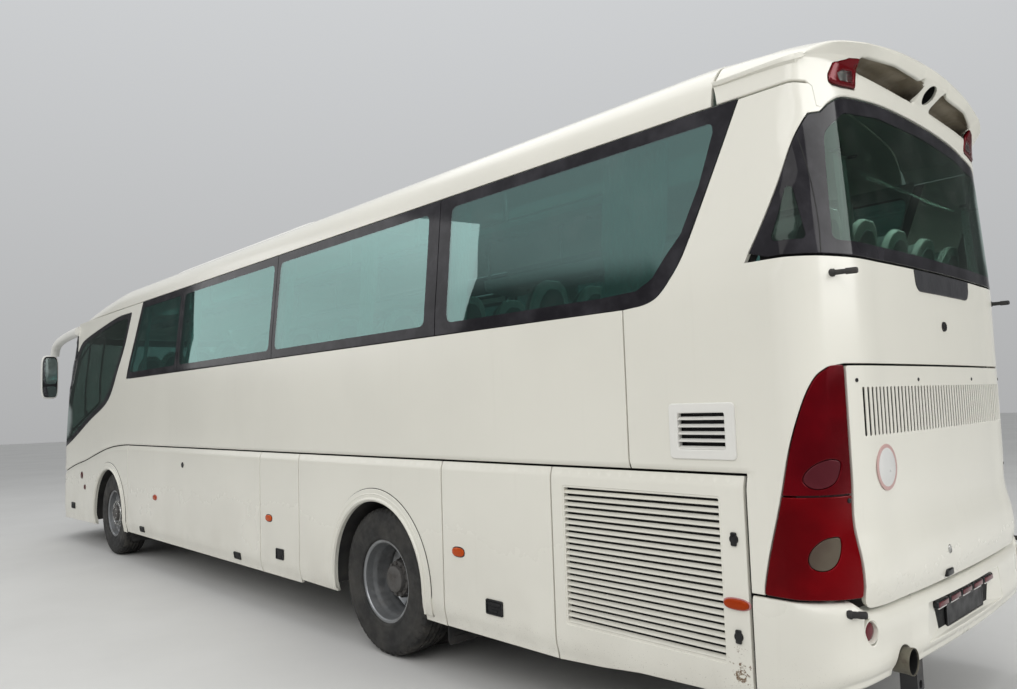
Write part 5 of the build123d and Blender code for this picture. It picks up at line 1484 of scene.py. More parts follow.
# backing behind the rear gaps, clear of the lid's way out
bk = Part("rear_gap_linings", "body", [VOID])
dk = dict(thick=0.006, r=0.002, grid=0.3, step=0.10, seg=1)
panel(bk, offset(rear, -1, 0.052), -1, rect(-1.02, 1.02, 1.862, 1.905), **dk)
for s in (1, -1):
    panel(bk, offset(rear, -1, 0.056), -1, [(s * 1.045, 0.87), (s * 1.115, 0.87), (s * 1.115, 1.90), (s * 1.045, 1.90)][::s], **dk)
    e = [(s * t, z) for t, z in lamp_edge]
    l = [(s * (t - 0.03), z) for t, z in lamp_edge] + [(s * (t + 0.03), z) for t, z in lamp_edge][::-1]
    panel(bk, offset(rear, -1, 0.036), -1, l, **dk)
    ge = [(s * (t - 0.03), z) for t, z in glass_edge] + [(s * (t + 0.03), z) for t, z in glass_edge][::-1]
    panel(bk, offset(rear, -1, 0.030), -1, ge, **dk)
panel(bk, offset(rear, -1, 0.030), -1, rect(-1.45, 1.45, 2.340, 2.392), **dk)
bk.done()

# ------------------------------------------------------------------ tail lamps
LEAF_UP = [(1.128, 1.471), (1.122, 1.444), (1.145, 1.392), (1.185, 1.363), (1.241, 1.354), (1.281, 1.368), (1.299, 1.397), (1.279, 1.434),
           (1.234, 1.465), (1.178, 1.480)]
LEAF_LOW = [(1.152, 1.148), (1.155, 1.101), (1.182, 1.045), (1.217, 1.018), (1.255, 1.014), (1.286, 1.030), (1.296, 1.063), (1.278, 1.105),
            (1.235, 1.140), (1.190, 1.153)]
p = Part("tail_lamp_lenses", "body", [RED, RED_LOW, LENS_GREY, LENS_DARK, BLACKG, REFLECTOR], "red_lens", ("tail_lamps",))
for s in (1, -1):
    edge = [(s * t, z) for t, z in lamp_edge if z > 0.90]
    base = [(s * LAMP_T, 0.893), (s * float(lamp_edge[0][0]), 0.893)] + edge + [(s * 1.150, 1.884), (s * LAMP_T, 1.884)]
    base = fillet(base, 0.014, 3)
    split = 1.325
    up = [(t, z) for t, z in base]
    lens_s = lambda P: rear_b(P) + np.array([-0.004, 0, 0])

    def crown(P, s=s):
        """The tail's swelling surface, unchanged: the lens is not raised."""
        S = rear_b(P)
        return S
    b = np.asarray(base)
    # two coloured fields with a narrow dark joint
    def cut(l, z0, z1):
        """The part of a loop between two heights."""
        out = []
        n = len(l)
        for i in range(n):
            p0, p1 = l[i], l[(i + 1) % n]
            if z0 <= p0[1] <= z1:
                out.append(tuple(p0))
            for zc in (z0, z1):
                if (p0[1] - zc) * (p1[1] - zc) < 0:
                    k = (zc - p0[1]) / (p1[1] - p0[1])
                    q = p0 + (p1 - p0) * k
                    out.append((float(q[0]), zc, abs(k)))
        return [q[:2] for q in out]
    lo_f, hi_f = cut(b, 0.0, split - 0.003), cut(b, split + 0.003, 3.0)
    ov = smooth_loop([(s * a, b) for a, b in LEAF_UP][::s], 5)
    ov2 = smooth_loop([(s * a, b) for a, b in LEAF_LOW][::s], 5)
    kw = dict(thick=0.028, r=0.006, grid=(0.05, 0.06), step=0.03)
    panel(p, rear_b, -1, hi_f, [ov], mat=0, **kw)
    panel(p, rear_b, -1, lo_f, [ov2], mat=1, **kw)
    panel(p, offset(rear_b, -1, 0.003), -1, grown(ov, -0.0015), thick=0.020, r=0.005, grid=0.04, step=0.03, mat=3)
    panel(p, offset(rear_b, -1, 0.003), -1, grown(ov2, -0.0015), thick=0.020, r=0.005, grid=0.04, step=0.03, mat=2)
    panel(p, offset(rear_b, -1, 0.012), -1, [(s * (LAMP_T + 0.01), split - 0.012), (s * 1.33, split - 0.012), (s * 1.33, split + 0.012),
                                            (s * (LAMP_T + 0.01), split + 0.012)][::s], thick=0.006, r=0.001, grid=0.2, step=0.05, mat=4, seg=1)
    q = np.array([[s * (LAMP_T + 0.018), 1.301]])
    S, N = rear_b(q)[0], -normals_of(rear_b, q)[0]
    lathe(p, [(-0.002, 0), (-0.002, 0.011), (0.003, 0.011), (0.006, 0.007), (0.006, 0)], S, N, 4, 14, closed=False)
p.done()

# ------------------------------------------------------------------ engine lid
p = Part("rear_engine_lid", "engine_lid", [WHITE, VOID, DISC, DISC_RIM, BLACKG, CHROME, GALV, BLACK], "white_paint", ("engine_lid",))
LT = 1.060
outer = fillet([(-LT, 0.843, 0.05), (LT, 0.843, 0.05), (LT, 1.879, 0.012), (-LT, 1.879, 0.012)], 0.01, 5)
NSLOT, SL0, SL1 = 52, 1.569, 1.784
slot_holes = []
step = 1.95 / NSLOT
for i in range(NSLOT):
    c = -0.975 + (i + 0.5) * step
    slot_holes.append(rect(c - step * 0.23, c + step * 0.23, SL0, SL1, 0.005, 2))
lid_rows = np.array([(t, z) for t in np.arange(-1.03, 1.04, 0.06) for z in np.arange(0.87, 1.34, 0.03)])
panel(p, rear_b, -1, outer, slot_holes, thick=0.024, r=0.0020, grid=(0.09, 0.07), step=0.05, seg=2, extra=lid_rows, hole_thick=0.0045, back_mat=7)
panel(p, offset(rear_b, -1, 0.026), -1, rect(-1.00, 1.00, SL0 - 0.03, SL1 + 0.03), thick=0.004, r=0.001, grid=0.2, step=0.1, mat=1, seg=1)
inn = rect(-LT + 0.05, LT - 0.05, 0.90, 1.54, 0.04, 4)
panel(p, offset(rear_b, -1, 0.0245), -1, inn, [rect(0.06, LT - 0.14, 0.98, 1.46, 0.06, 4), rect(-LT + 0.14, -0.06, 0.98, 1.46, 0.06, 4)],
      thick=0.012, r=0.004, grid=0.3, step=0.1, mat=6, seg=2)
# screws at the top, blank disc, lock and pull
for t in (-1.0, -0.39, 0.39, 1.0):
    round_cap(p, rear_b, -1, t, 1.815, 0.009, 4, 0.003)
q = np.array([[0.794, 1.423]])
S, N = rear_b(q)[0], -normals_of(rear_b, q)[0]
lathe(p, [(-0.001, 0), (-0.001, 0.103), (0.0022, 0.103), (0.003, 0.101), (0.003, 0.086)], S, N, 3, 56, closed=False)
lathe(p, [(0.0026, 0.0865), (0.0030, 0.0855), (0.0030, 0.0)], S, N, 2, 56, closed=False)
q = np.array([[0.231, 0.985]])
S, N = rear_b(q)[0], -normals_of(rear_b, q)[0]
lathe(p, [(-0.002, 0), (-0.002, 0.022), (0.002, 0.022), (0.004, 0.018), (0.003, 0.015), (0.003, 0)], S, N, 5, 24, closed=False)
q = np.array([[0.235, 0.878]])
S, N = rear_b(q)[0], -normals_of(rear_b, q)[0]
rbox(p, (S[0] - 0.010, S[1] - 0.045, S[2] - 0.022), (S[0] + 0.012, S[1] + 0.045, S[2] + 0.014), 0.008, 3, 4)
p.done()


# ------------------------------------------------------------------ rear bumper
def grid_surf(G, u0, u1, v0, v1):
    """A smooth surface through a grid of points."""
    nu, nv = G.shape[:2]

    def wts(f):
        return [-0.5 * f ** 3 + f ** 2 - 0.5 * f, 1.5 * f ** 3 - 2.5 * f ** 2 + 1,
                -1.5 * f ** 3 + 2 * f ** 2 + 0.5 * f, 0.5 * f ** 3 - 0.5 * f ** 2]

    def surf(P):
        a = np.clip((P[:, 0] - u0) / (u1 - u0) * (nu - 1), 0.0, nu - 1.0)
        b = np.clip((P[:, 1] - v0) / (v1 - v0) * (nv - 1), 0.0, nv - 1.0)
        i = np.clip(a.astype(int), 1, nu - 3)
        j = np.clip(b.astype(int), 1, nv - 3)
        wa, wb = wts(a - i), wts(b - j)
        out = np.zeros((len(P), 3))
        for k in range(4):
            for l in range(4):
                out += (wa[k] * wb[l])[:, None] * G[i + k - 1, j + l - 1]
        return out
    return surf


p = Part("tail_bumper", "body", [WHITE, PLATE, BLACKG, LENS_DARK, RUBBER, REFLECTOR, VOID, GALV], "white_paint", ("rear_bumper",))
TB = float(np.interp(-0.004, BX, BS))
V0, V1 = 0.012, float(BV[-1]) - 0.012
v625, v709 = bumper_v(0.585), bumper_v(0.654)
EY, ER = 0.800, 0.069
te = float(np.interp(EY, BY, BS))
notch = [(te - ER, V0), (te - ER, v625)] + \
    [(te + ER * math.cos(a), v625 + (v709 - v625) * math.sin(a)) for a in np.linspace(math.pi, 0, 15)[1:-1]] + \
    [(te + ER, v625), (te + ER, V0)]
lower = [(t, V0) for t in np.arange(-TB, te - 0.10, 0.06)] + notch + [(t, V0) for t in np.arange(te + 0.10, TB, 0.06)] + [(TB, V0)]
upper = [(t, V1) for t in np.arange(TB, -TB, -0.06)] + [(-TB, V1)]
vp0, vp1 = bumper_v(0.607), bumper_v(0.777)
pl_hole = fillet([(-0.552, vp0), (0.552, vp0), (0.522, vp1), (-0.522, vp1)], 0.014, 4)
lamp_holes = [ellipse(s * 1.055, 0.331, 0.047, 0.050, 36) for s in (1, -1)]
b_rows = np.array([(t, v) for t in np.arange(-TB + 0.03, TB, 0.055) for v in
                   list(np.arange(0.07, 0.16, 0.012)) + list(np.arange(0.34, V1, 0.014))])
panel(p, bump, -1, lower + upper, [pl_hole] + lamp_holes, thick=0.030, r=0.004, grid=(0.06, 0.035), step=0.03, extra=b_rows,
      hole_thick=0.004)
# plate recess: slanted white returns, dark back, blank plate and three small lamps
rim = np.asarray(pl_hole)
outer_ring = bump(rim)
lean = 0.355 + 0.060 * np.clip((outer_ring[:, 2] - 0.607) / 0.170, 0, 1)
inner_y = np.clip(outer_ring[:, 1], -lean, lean)
inner_z = np.clip(outer_ring[:, 2], 0.624, 0.766)
XI = -0.446
inner_ring = np.stack([np.full(len(rim), XI), inner_y, inner_z], 1)
n = len(rim)
start = outer_ring + np.array([0.0035, 0, 0])
rings = [start * (1 - k) + inner_ring * k for k in (0, 0.5, 1.0)]
rings += [inner_ring + np.array([0.004, 0, 0]), start + np.array([0.006, 0, 0])]
faces = []
for k in range(len(rings)):
    for i in range(n):
        j = (i + 1) % n
        a, b = k * n, ((k + 1) % len(rings)) * n
        faces.append([a + i, a + j, b + j, b + i])
p.add(np.vstack(rings), faces, 0, flip=True)
UY, UZ = np.array([0, -1.0, 0]), np.array([0, 0, 1.0])
plate(p, (XI + 0.001, 0, 0), UY, UZ, rect(-0.428, 0.428, 0.614, 0.774, 0.01, 3), thick=0.004, r=0.001, mat=6)
plate(p, (XI - 0.010, 0, 0), UY, UZ, rect(-0.262, 0.262, 0.620, 0.716, 0.008, 4), thick=0.003, r=0.001, mat=1)
plate(p, (XI - 0.0115, 0, 0), UY, UZ, rect(-0.268, 0.268, 0.616, 0.722, 0.010, 4), [rect(-0.258, 0.258, 0.624, 0.713, 0.007, 4)],
      thick=0.010, r=0.002, mat=2)
for y in (-0.340, -0.170, 0.0, 0.170, 0.340):
    rbox(p, (XI - 0.026, y - 0.077, 0.727), (XI + 0.002, y + 0.077, 0.765), 0.011, 4, 2)
    rbox(p, (XI - 0.0275, y - 0.066, 0.733), (XI - 0.022, y + 0.066, 0.757), 0.006, 3, 3)
    rbox(p, (XI - 0.022, y - 0.052, 0.722), (XI - 0.004, y + 0.052, 0.732), 0.004, 3, 5)
# round recessed lamps and rubber pegs
for s in (1, -1):
    q = np.array([[s * 1.055, 0.331]])
    S, N = bump(q)[0], -normals_of(bump, q)[0]
    lathe(p, [(-0.030, 0.0), (-0.0265, 0.030), (-0.022, 0.043), (-0.004, 0.0465), (-0.004, 0.050), (-0.036, 0.052), (-0.036, 0.0)],
          S, N, 0, 40, closed=False)
    lathe(p, [(-0.026, 0.0), (-0.026, 0.041), (-0.021, 0.041), (-0.016, 0.034), (-0.013, 0.020), (-0.012, 0.0)], S, N, 3, 40, closed=False)
    q = np.array([[s * 1.165, 0.372]])
    S, N = bump(q)[0], -normals_of(bump, q)[0]
    d = unit(N * 0.55 + np.array([-0.62, -s * 0.55, -0.05]))
    lathe(p, [(-0.012, 0), (-0.012, 0.0185), (0.005, 0.0185), (0.009, 0.0145), (0.030, 0.0138), (0.033, 0.0155), (0.060, 0.0155), (0.066, 0.0120),
              (0.067, 0)], S - N * 0.004, d, 4, 24, closed=False)
p.done()

# ------------------------------------------------------------------ rear window
p = Part("rear_window_glass", "body", [FRIT, DARKG, SEAL, TRIMP], "dark_glass", ("rear_window",))
gh = [(0.0, 2.371)] + [(t, 2.371) for t in np.arange(0.1, 1.45, 0.1)] + [tuple(q) for q in glass_edge[1:]]
gh[len(np.arange(0.1, 1.45, 0.1)) + 1 - 1:len(np.arange(0.1, 1.45, 0.1)) + 1 - 1] = []
gh = [q for q in gh if q[1] >= 2.3705]
gh += [tuple(q) for q in glass_top[:-1]]
gh += [(0.0, 3.177)]
gl_out = gh + [(-t, z) for t, z in gh[1:-1]][::-1]
joint = open_curve([(1.158, 2.371), (1.152, 2.522), (1.169, 2.725), (1.198, 2.876), (1.215, 2.955)], 5)
main_clear = fillet([(1.085, 2.435, 0.03), (1.075, 2.70), (1.060, 2.93, 0.10), (0.90, 3.045, 0.10), (0.55, 3.095), (0.0, 3.108),
                     (-0.55, 3.095), (-0.90, 3.045, 0.10), (-1.060, 2.93, 0.10), (-1.075, 2.70), (-1.085, 2.435, 0.03)], 0.02, 5)
tri = [fillet([(s * 1.215, 2.435), (s * 1.385, 2.435), (s * 1.262, 2.735)][::s], 0.022, 4) for s in (1, -1)]
jl = []
for s in (1, -1):
    a = [(s * (t + 0.0035), z) for t, z in joint] + [(s * (t - 0.0035), z) for t, z in joint][::-1]
    jl.append(np.array(a))


def rear_mat(c):
    m = np.where(inside(c, [main_clear]) | inside(c, [tri[0]]) | inside(c, [tri[1]]), 1, 0)
    return np.where(inside(c, [jl[0]]) | inside(c, [jl[1]]), 2, m)


panel(p, rear, -1, gl_out, thick=0.007, r=0.003, grid=(0.14, 0.12), step=0.05, lines=[main_clear] + tri + jl, matf=rear_mat)
# rubber that closes the joint between the panes, and the inside surround
inr = offset(rear, -1, 0.0075)
ring_o = grown(gl_out, -0.006)
panel(p, inr, -1, ring_o, [fillet([(1.10, 2.405), (1.10, 2.95), (0.90, 3.085), (0.55, 3.135), (0, 3.145),
      (-0.55, 3.135), (-0.90, 3.085), (-1.10, 2.95), (-1.10, 2.405)], 0.03, 4),
      fillet([(1.175, 2.405), (1.44, 2.405), (1.30, 2.80), (1.21, 2.90)], 0.02, 3), fillet([(-1.21, 2.90), (-1.30, 2.80), (-1.44, 2.405), (-1.175, 2.405)], 0.02, 3)],
      thick=0.010, r=0.003, grid=0.3, step=0.08, mat=2)
p.done()

# ------------------------------------------------------------------ roof
p = Part("roof_skin", "body", [WHITE, TRIMP, SEAL, BLACK], "white_paint", ("roof_panel",))
xs = np.concatenate([np.arange(0.124, 10.90, 0.25), [10.95]])
a_l = [(x, roof_a(3.158 + float(drop(x)))) for x in xs]
ZF = 2.989
a_f = roof_a(ZF + float(drop(10.95)))


def x_at(a, z, lo=10.6, hi=12.2):
    for _ in range(40):
        m = (lo + hi) / 2
        if roof(np.array([[m, a]]))[0][2] > z:
            lo = m
        else:
            hi = m
    return lo


fr_l = [(x_at(a, ZF), a) for a in np.linspace(a_f, 0.0, 26)]
fr_l = [q for q in fr_l if q[0] > 10.952]
right_e = [(x, -a) for x, a in a_l]
front = [(10.950, a_f)] + fr_l
outl = right_e + [(10.950, -a_f)] + [(x, -a) for x, a in fr_l] + fr_l[::-1][1:] + [(10.950, a_f)] + a_l[::-1]
sh = [roof_a(z) for z in (3.19, 3.22, 3.25, 3.28, 3.31, 3.34, 3.37, 3.40, 3.43)]
r_rows = np.array([(x, s * a) for x in np.arange(0.2, 11.4, 0.12) for a in sh for s in (1, -1)])
panel(p, roof, 1, outl, thick=0.022, r=0.004, grid=(0.28, 0.14), step=0.08, extra=r_rows)
# two raised hatches, each on a slightly larger rubber seat
for x in (1.6, 10.05):
    zt = float(roof(np.array([[x, 0.0]]))[0][2])
    q = fillet([(x - 0.40, -0.36), (x + 0.40, -0.36), (x + 0.40, 0.36), (x - 0.40, 0.36)], 0.05, 6)
    up_ = lambda P: roof(P) + np.array([0, 0, 0.028])
    panel(p, up_, 1, q, thick=0.040, r=0.014, grid=0.12, step=0.06, mat=0, seg=4)
    q2 = grown(q, 0.018)
    panel(p, lambda P: roof(P) + np.array([0, 0, 0.006]), 1, q2, thick=0.016, r=0.005, grid=0.2, step=0.06, mat=2)
p.done()

# ------------------------------------------------------------------ rear roof cap with its visor
TS = float(t_of(rear, 0, np.array([0.116]), np.array([3.2]), 0, LR + 3)[0])
NT, VMAX = 361, 1.30
CV = [0.0, 0.050, 0.085, 0.105, 0.165, 0.205, 0.240, 0.330, 0.365, 0.405, 0.440, 0.480, 0.560, 0.80, VMAX]
GT = np.linspace(-TS - 0.12, TS + 0.12, NT)
vs_ = np.arange(0, VMAX + 1e-9, 0.0065)
POLE = np.array([1.5, 0.0])


def roof_height(x, y):
    return np.interp(np.minimum(np.abs(y), 1.1825), RFY, RFZ) - drop(x)


def cap_grid():
    G = np.zeros((NT, len(vs_), 3))
    glass_hi = np.array(sorted([(q[0], q[1]) for q in glass_top] + [(1.078, 3.0)]))
    for i, t in enumerate(GT):
        a = abs(t)
        W = lambda z: rear(np.array([[t, z]]))[0]
        zb = 3.04 + 0.07 * float(smooth01((1.02 - a) / 0.3))          # below the visible lower edge
        w0 = W(3.36)
        n2 = unit(np.array([w0[0] - 0.9, w0[1] * 0.55]))               # outwards, in plan
        tn = W(3.36)
        dt = rear(np.array([[t + 0.004, 3.36], [t - 0.004, 3.36]]))
        tan = unit((dt[0] - dt[1])[:2])
        nrm = np.array([-tan[1], tan[0]])
        if nrm[0] > 0 or (abs(nrm[0]) < 0.3 and nrm[1] * t < 0):
            nrm = -nrm
        # how far the wall's edge, the fascia's lower edge and the lip stand out
        ow = float(np.interp(a, [0, 0.70, 1.0, 1.15], [0.025, 0.024, 0.012, 0]))
        of = float(np.interp(a, [0, 0.50, 0.765, 1.0, 1.12, 1.18], [0.100, 0.098, 0.056, 0.026, 0.008, 0]))
        e = float(np.interp(a, [0, 0.48, 0.80, 1.0, 1.10, 1.19], [0.136, 0.126, 0.108, 0.068, 0.032, 0]))
        zf = float(np.interp(a, [0, 0.50, 0.765, 1.0, 1.18], [3.335, 3.335, 3.326, 3.300, 3.270]))
        mid_ = 1 - float(smooth01((a - 0.13) / 0.08))                  # the pod's flat face in the middle
        of += 0.016 * mid_
        zf += 0.034 * mid_
        zt = float(roof_height(w0[0] + nrm[0] * e, w0[1] + nrm[1] * e))
        ends = float(smooth01((0.768 - a) / 0.018))
        zw = 3.272

        def P(o, z, zz=None):
            b = W(zz if zz is not None else z)
            return np.array([b[0] + nrm[0] * o, b[1] + nrm[1] * o, z])
        lo = [P(0, zb - 0.05), P(0, zb), P(ow * 0.45, 3.218)]
        # plain face from the wall's edge up to the fascia
        k = np.linspace(0, 1, 6)
        wall = [P(ow + (of - ow) * q, zw + (zf - zw) * q) for q in k]
        # the recess: in behind the wall's edge, up, and out again under the fascia
        inn = [P(ow, zw), P(-0.030, zw + 0.006), P(-0.075, zw + 0.034), P(-0.070, zf + 0.036), P(of - 0.040, zf + 0.044), P(of - 0.004, zf)]
        mid = []
        for q in range(6):
            r_ = float(smooth01((a - 0.092 - 0.066 * q / 5) / 0.020)) * ends
            mid.append(wall[q] * (1 - r_) + inn[q] * r_)
        lip = [P(of + (e - of) * 0.80, zf + (zt - zf) * 0.62), P(e, zt - 0.014), P(e - 0.014, zt - 0.002)]
        start = lip[-1][:2]
        top = []
        for f in (0.05, 0.35, 1.0):
            q = start + (POLE - start) * f
            top.append(np.array([q[0], q[1], roof_height(q[0], q[1])]))
        C = np.array([lo[0], lo[1], lo[2]] + mid + lip + top)
        # heights of the control points along v
        V = [0.0, 0.040, 0.090, 0.130, 0.175, 0.220, 0.290, 0.335, 0.395, 0.440, 0.475, 0.492, 0.56, 0.90, VMAX]
        D = np.stack([np.interp(vs_, V, C[:, c]) for c in range(3)], 1)
        # the top follows the roof between its control points
        kt = vs_ > 0.56
        D[kt, 2] = roof_height(D[kt, 0], D[kt, 1])
        G[i] = D

    def soften(G, k):
        w = np.hanning(2 * k + 3)[1:-1]
        w /= w.sum()
        pad = np.concatenate([2 * G[:, :1] - G[:, k:0:-1], G, 2 * G[:, -1:] - G[:, -2:-k - 2:-1]], 1)
        return np.apply_along_axis(lambda q: np.convolve(q, w, "valid"), 1, pad)
    S1, S2 = soften(G, 2), soften(G, 13)
    b = smooth01((np.abs(GT) - 0.93) / 0.22)[:, None, None]
    G = S1 * (1 - b) + S2 * b
    w = np.hanning(5)[1:-1]
    w /= w.sum()
    pad = np.concatenate([G[:1], G, G[-1:]], 0)
    return np.apply_along_axis(lambda q: np.convolve(q, w, "valid"), 0, pad)


CAPG = cap_grid()
cap = grid_surf(CAPG, GT[0], GT[-1], 0.0, VMAX)


def cap_v(t, z, top=0.50):
    """v at which the cap's wall has height z."""
    v = np.linspace(0, top, 300)
    S = cap(np.stack([np.full(300, t), v], 1))
    return float(np.interp(z, np.maximum.accumulate(S[:, 2]), v))


def cap_seam(t, x=0.116):
    v = np.linspace(0.10, VMAX, 500)
    S = cap(np.stack([np.full(500, t), v], 1))
    k = np.nonzero(S[:, 0] > x)[0]
    return float(v[k[0]]) if len(k) else VMAX


gt_hi = [(float(t), float(z)) for t, z in glass_top]
# lower edge: over the glass, round its corner, then forward above the rear wall
low_c = [(t, cap_v(t, z + 0.006)) for t, z in [(0.0, 3.177)] + [q for q in gt_hi[::-1] if q[0] > 0.03] if t < 1.055]
low_c += [(1.083, cap_v(1.083, 3.045)), (1.095, cap_v(1.095, 3.135)), (1.13, cap_v(1.13, 3.158))]
low_c += [(t, cap_v(t, 3.158)) for t in np.arange(1.20, TS - 0.02, 0.06)]
tt = np.concatenate([np.arange(0.0, TS - 0.05, 0.05), np.linspace(TS - 0.05, TS - 0.003, 6)])
seam = [(t, cap_seam(t)) for t in tt]
right_lo = [(-t, v) for t, v in low_c][::-1]
outl = right_lo[:-1] + low_c + seam[::-1] + [(-t, v) for t, v in seam[1:]]


def cap_at(points):
    """Points (y, z) of the photo's lamp, given on the tail wall, as (t, v)."""
    return [(t, cap_v(abs(t), z)) for t, z in points]


D_LAMP = [(0.774, 3.322), (0.760, 3.250), (0.757, 3.184), (0.895, 3.165), (0.968, 3.163), (0.994, 3.176), (0.994, 3.204),
          (0.974, 3.240), (0.925, 3.279), (0.855, 3.307)]
p = Part("rear_cap", "body", [WHITE, VOID, BLACK, RECESS_SHADE], "white_paint", ("rear_roof_cap",))
hole_l = fillet(cap_at(D_LAMP), 0.012, 3)
hole_r = [(-a, b) for a, b in hole_l][::-1]
vh = cap_v(0.0, 3.323)
pod_hole = ellipse(0.0, vh, 0.060, 0.108, 36)
rows = []
for t in np.arange(-TS + 0.03, TS - 0.02, 0.030):
    for v in np.arange(0.06, 0.60, 0.022):
        rows.append((t, v))
for t in list(np.arange(0.088, 0.19, 0.009)) + list(np.arange(0.742, 0.775, 0.008)):
    for v in np.arange(0.10, 0.47, 0.016):
        rows += [(t, v), (-t, v)]


def cap_panel(part, surf, sign, outer, holes, rows, thick, r, mat):
    panel(part, surf, sign, outer, holes, thick=thick, r=r, grid=(0.07, 0.06), step=0.03, mat=mat, extra=np.array(rows), hole_thick=0.005)


CSIGN = -1 if float(normals_of(cap, np.array([[0.0, 0.9]]))[0][2]) < 0 else 1
cap_panel(p, cap, CSIGN, outl, [hole_l, hole_r, pod_hole], rows, 0.016, 0.004, 0)
q = np.array([[0.0, vh]])
S, N = cap(q)[0], normals_of(cap, q)[0] * CSIGN
lathe(p, [(-0.010, 0.069), (-0.050, 0.062), (-0.050, 0.0)], S, N, 1, 36, closed=False)
lathe(p, [(-0.054, 0.0), (-0.054, 0.066), (-0.010, 0.073)], S, N, 2, 36, closed=False)
# painted shade inside the two recesses: the faces that lie behind the wall's edge and the fascia take the dark recess
# material
_P = np.concatenate(p.v)
for _i, _f in enumerate(p.f):
    _c = _P[_f].mean(0)
    _a = abs(_c[1])
    if p.m[_i] == 0 and 0.118 < _a < 0.770 and 3.274 < _c[2] < 3.392:
        _w = float(rear(np.array([[_c[1], _c[2]]]))[0][0])
        _lim = float(np.interp(_a, [0, 0.50, 0.765], [0.100, 0.098, 0.056])) * float(np.interp(_c[2], [3.274, 3.335], [0.30, 1.0])) - 0.010
        if _w - _c[0] < _lim:
            p.m[_i] = 3
p.done()

p = Part("high_rear_lamps", "body", [RED, LAMPG, REFLECTOR, BLACKG], "red_lens", ("high_lamps",))
for s in (1, -1):
    l = hole_l if s > 0 else hole_r
    l2 = grown(l, -0.0025)
    clear = fillet([(s * t, cap_v(abs(t), z)) for t, z in [(0.785, 3.212), (0.905, 3.200), (0.932, 3.220), (0.885, 3.250), (0.800, 3.262)]][::s], 0.010, 3)
    panel(p, offset(cap, CSIGN, -0.005), CSIGN, l2, [clear], thick=0.022, r=0.007, grid=(0.03, 0.03), step=0.02, mat=0)
    panel(p, offset(cap, CSIGN, -0.004), CSIGN, grown(clear, -0.001), thick=0.006, r=0.003, grid=0.03, step=0.02, mat=1)
    panel(p, offset(cap, CSIGN, 0.012), CSIGN, grown(clear, 0.006), thick=0.006, r=0.002, grid=(0.018, 0.014), step=0.02, mat=2)
p.done()

# ------------------------------------------------------------------ roof unit
p = Part("roof_unit", "body", [CREAM, VOID, BLACK, GALV], "white_paint", ("roof_aircon",))
x0, x1 = 4.500, 8.500
nu, nv = 81, 61
G = np.zeros((nu, nv, 3))
prof_x = pchip([4.50, 4.535, 4.60, 4.72, 4.95, 7.9, 8.15, 8.33, 8.44, 8.50], [0.0, 0.42, 0.70, 0.88, 1.0, 1.0, 0.90, 0.70, 0.42, 0.0])
for i, x in enumerate(np.linspace(x0, x1, nu)):
    h = float(prof_x(x))
    wy = 0.850 * (1 - 0.10 * (1 - h) ** 2)
    th = np.linspace(-1, 1, nv)
    for j, q in enumerate(th):
        a = abs(q)
        y = wy * q
        zb = float(np.interp(abs(y), RFY, RFZ)) - 0.012
        zt = 3.617 - 0.030 * a ** 2
        k = 1 - a ** 9
        z = zb + (zt - zb) * h * max(k, 0) ** 0.75 + 0.0005
        G[i, j] = (x, y, z)
unit_s = grid_surf(G, x0, x1, -1.0, 1.0)
fan = [ellipse(x, y, 0.235, 0.235 / 0.85, 40) for x in (5.35, 6.10, 6.85, 7.60) for y in (0.0,)]
panel(p, unit_s, 1, fillet([(x0 + 0.002, -0.998), (x1 - 0.002, -0.998), (x1 - 0.002, 0.998), (x0 + 0.002, 0.998)], 0.004, 2),
      fan, thick=0.010, r=0.004, grid=(0.11, 0.055), step=0.05, mat=0, hole_thick=0.03)
for x in (5.35, 6.10, 6.85, 7.60):
    zc = 3.612
    for rr in np.arange(0.035, 0.232, 0.028):
        ring = [(x + rr * math.cos(t), rr * math.sin(t), zc - 0.006) for t in np.linspace(0, 2 * math.pi, 40, endpoint=False)]
        tube(p, ring, 0.0035, 6, 2, closed=True)
    for k in range(6):
        t = k * math.pi / 3
        tube(p, [(x, 0, zc - 0.008), (x + 0.238 * math.cos(t), 0.238 * math.sin(t), zc - 0.012)], 0.0045, 6, 2)
    lathe(p, [(-0.05, 0), (-0.05, 0.07), (-0.010, 0.06), (-0.006, 0.0)], (x, 0, zc), (0, 0, 1), 2, 24, closed=False)
    lathe(p, [(-0.085, 0), (-0.085, 0.24), (-0.082, 0.24), (-0.082, 0)], (x, 0, zc), (0, 0, 1), 1, 32, closed=False)
    for k in range(5):
        t = k * 2 * math.pi / 5
        c, s_ = math.cos(t), math.sin(t)
        pts = []
        for rr, w, h in ((0.06, 0.035, 0.012), (0.14, 0.055, 0.010), (0.222, 0.060, 0.006)):
            pts.append([(x + c * rr - s_ * w, s_ * rr + c * w, zc - 0.055 + h), (x + c * rr + s_ * w, s_ * rr - c * w, zc - 0.055 - h)])
        v = [q for pr in pts for q in pr]
        v += [(a, b, z - 0.004) for a, b, z in v]
        m = 6
        f = [[0, 1, 3, 2], [2, 3, 5, 4], [8, 9, 7, 6], [10, 11, 9, 8], [0, 2, 8, 6], [2, 4, 10, 8], [3, 1, 7, 9], [5, 3, 9, 11], [1, 0, 6, 7], [4, 5, 11, 10]]
        p.add(v, f, 3)
p.done()


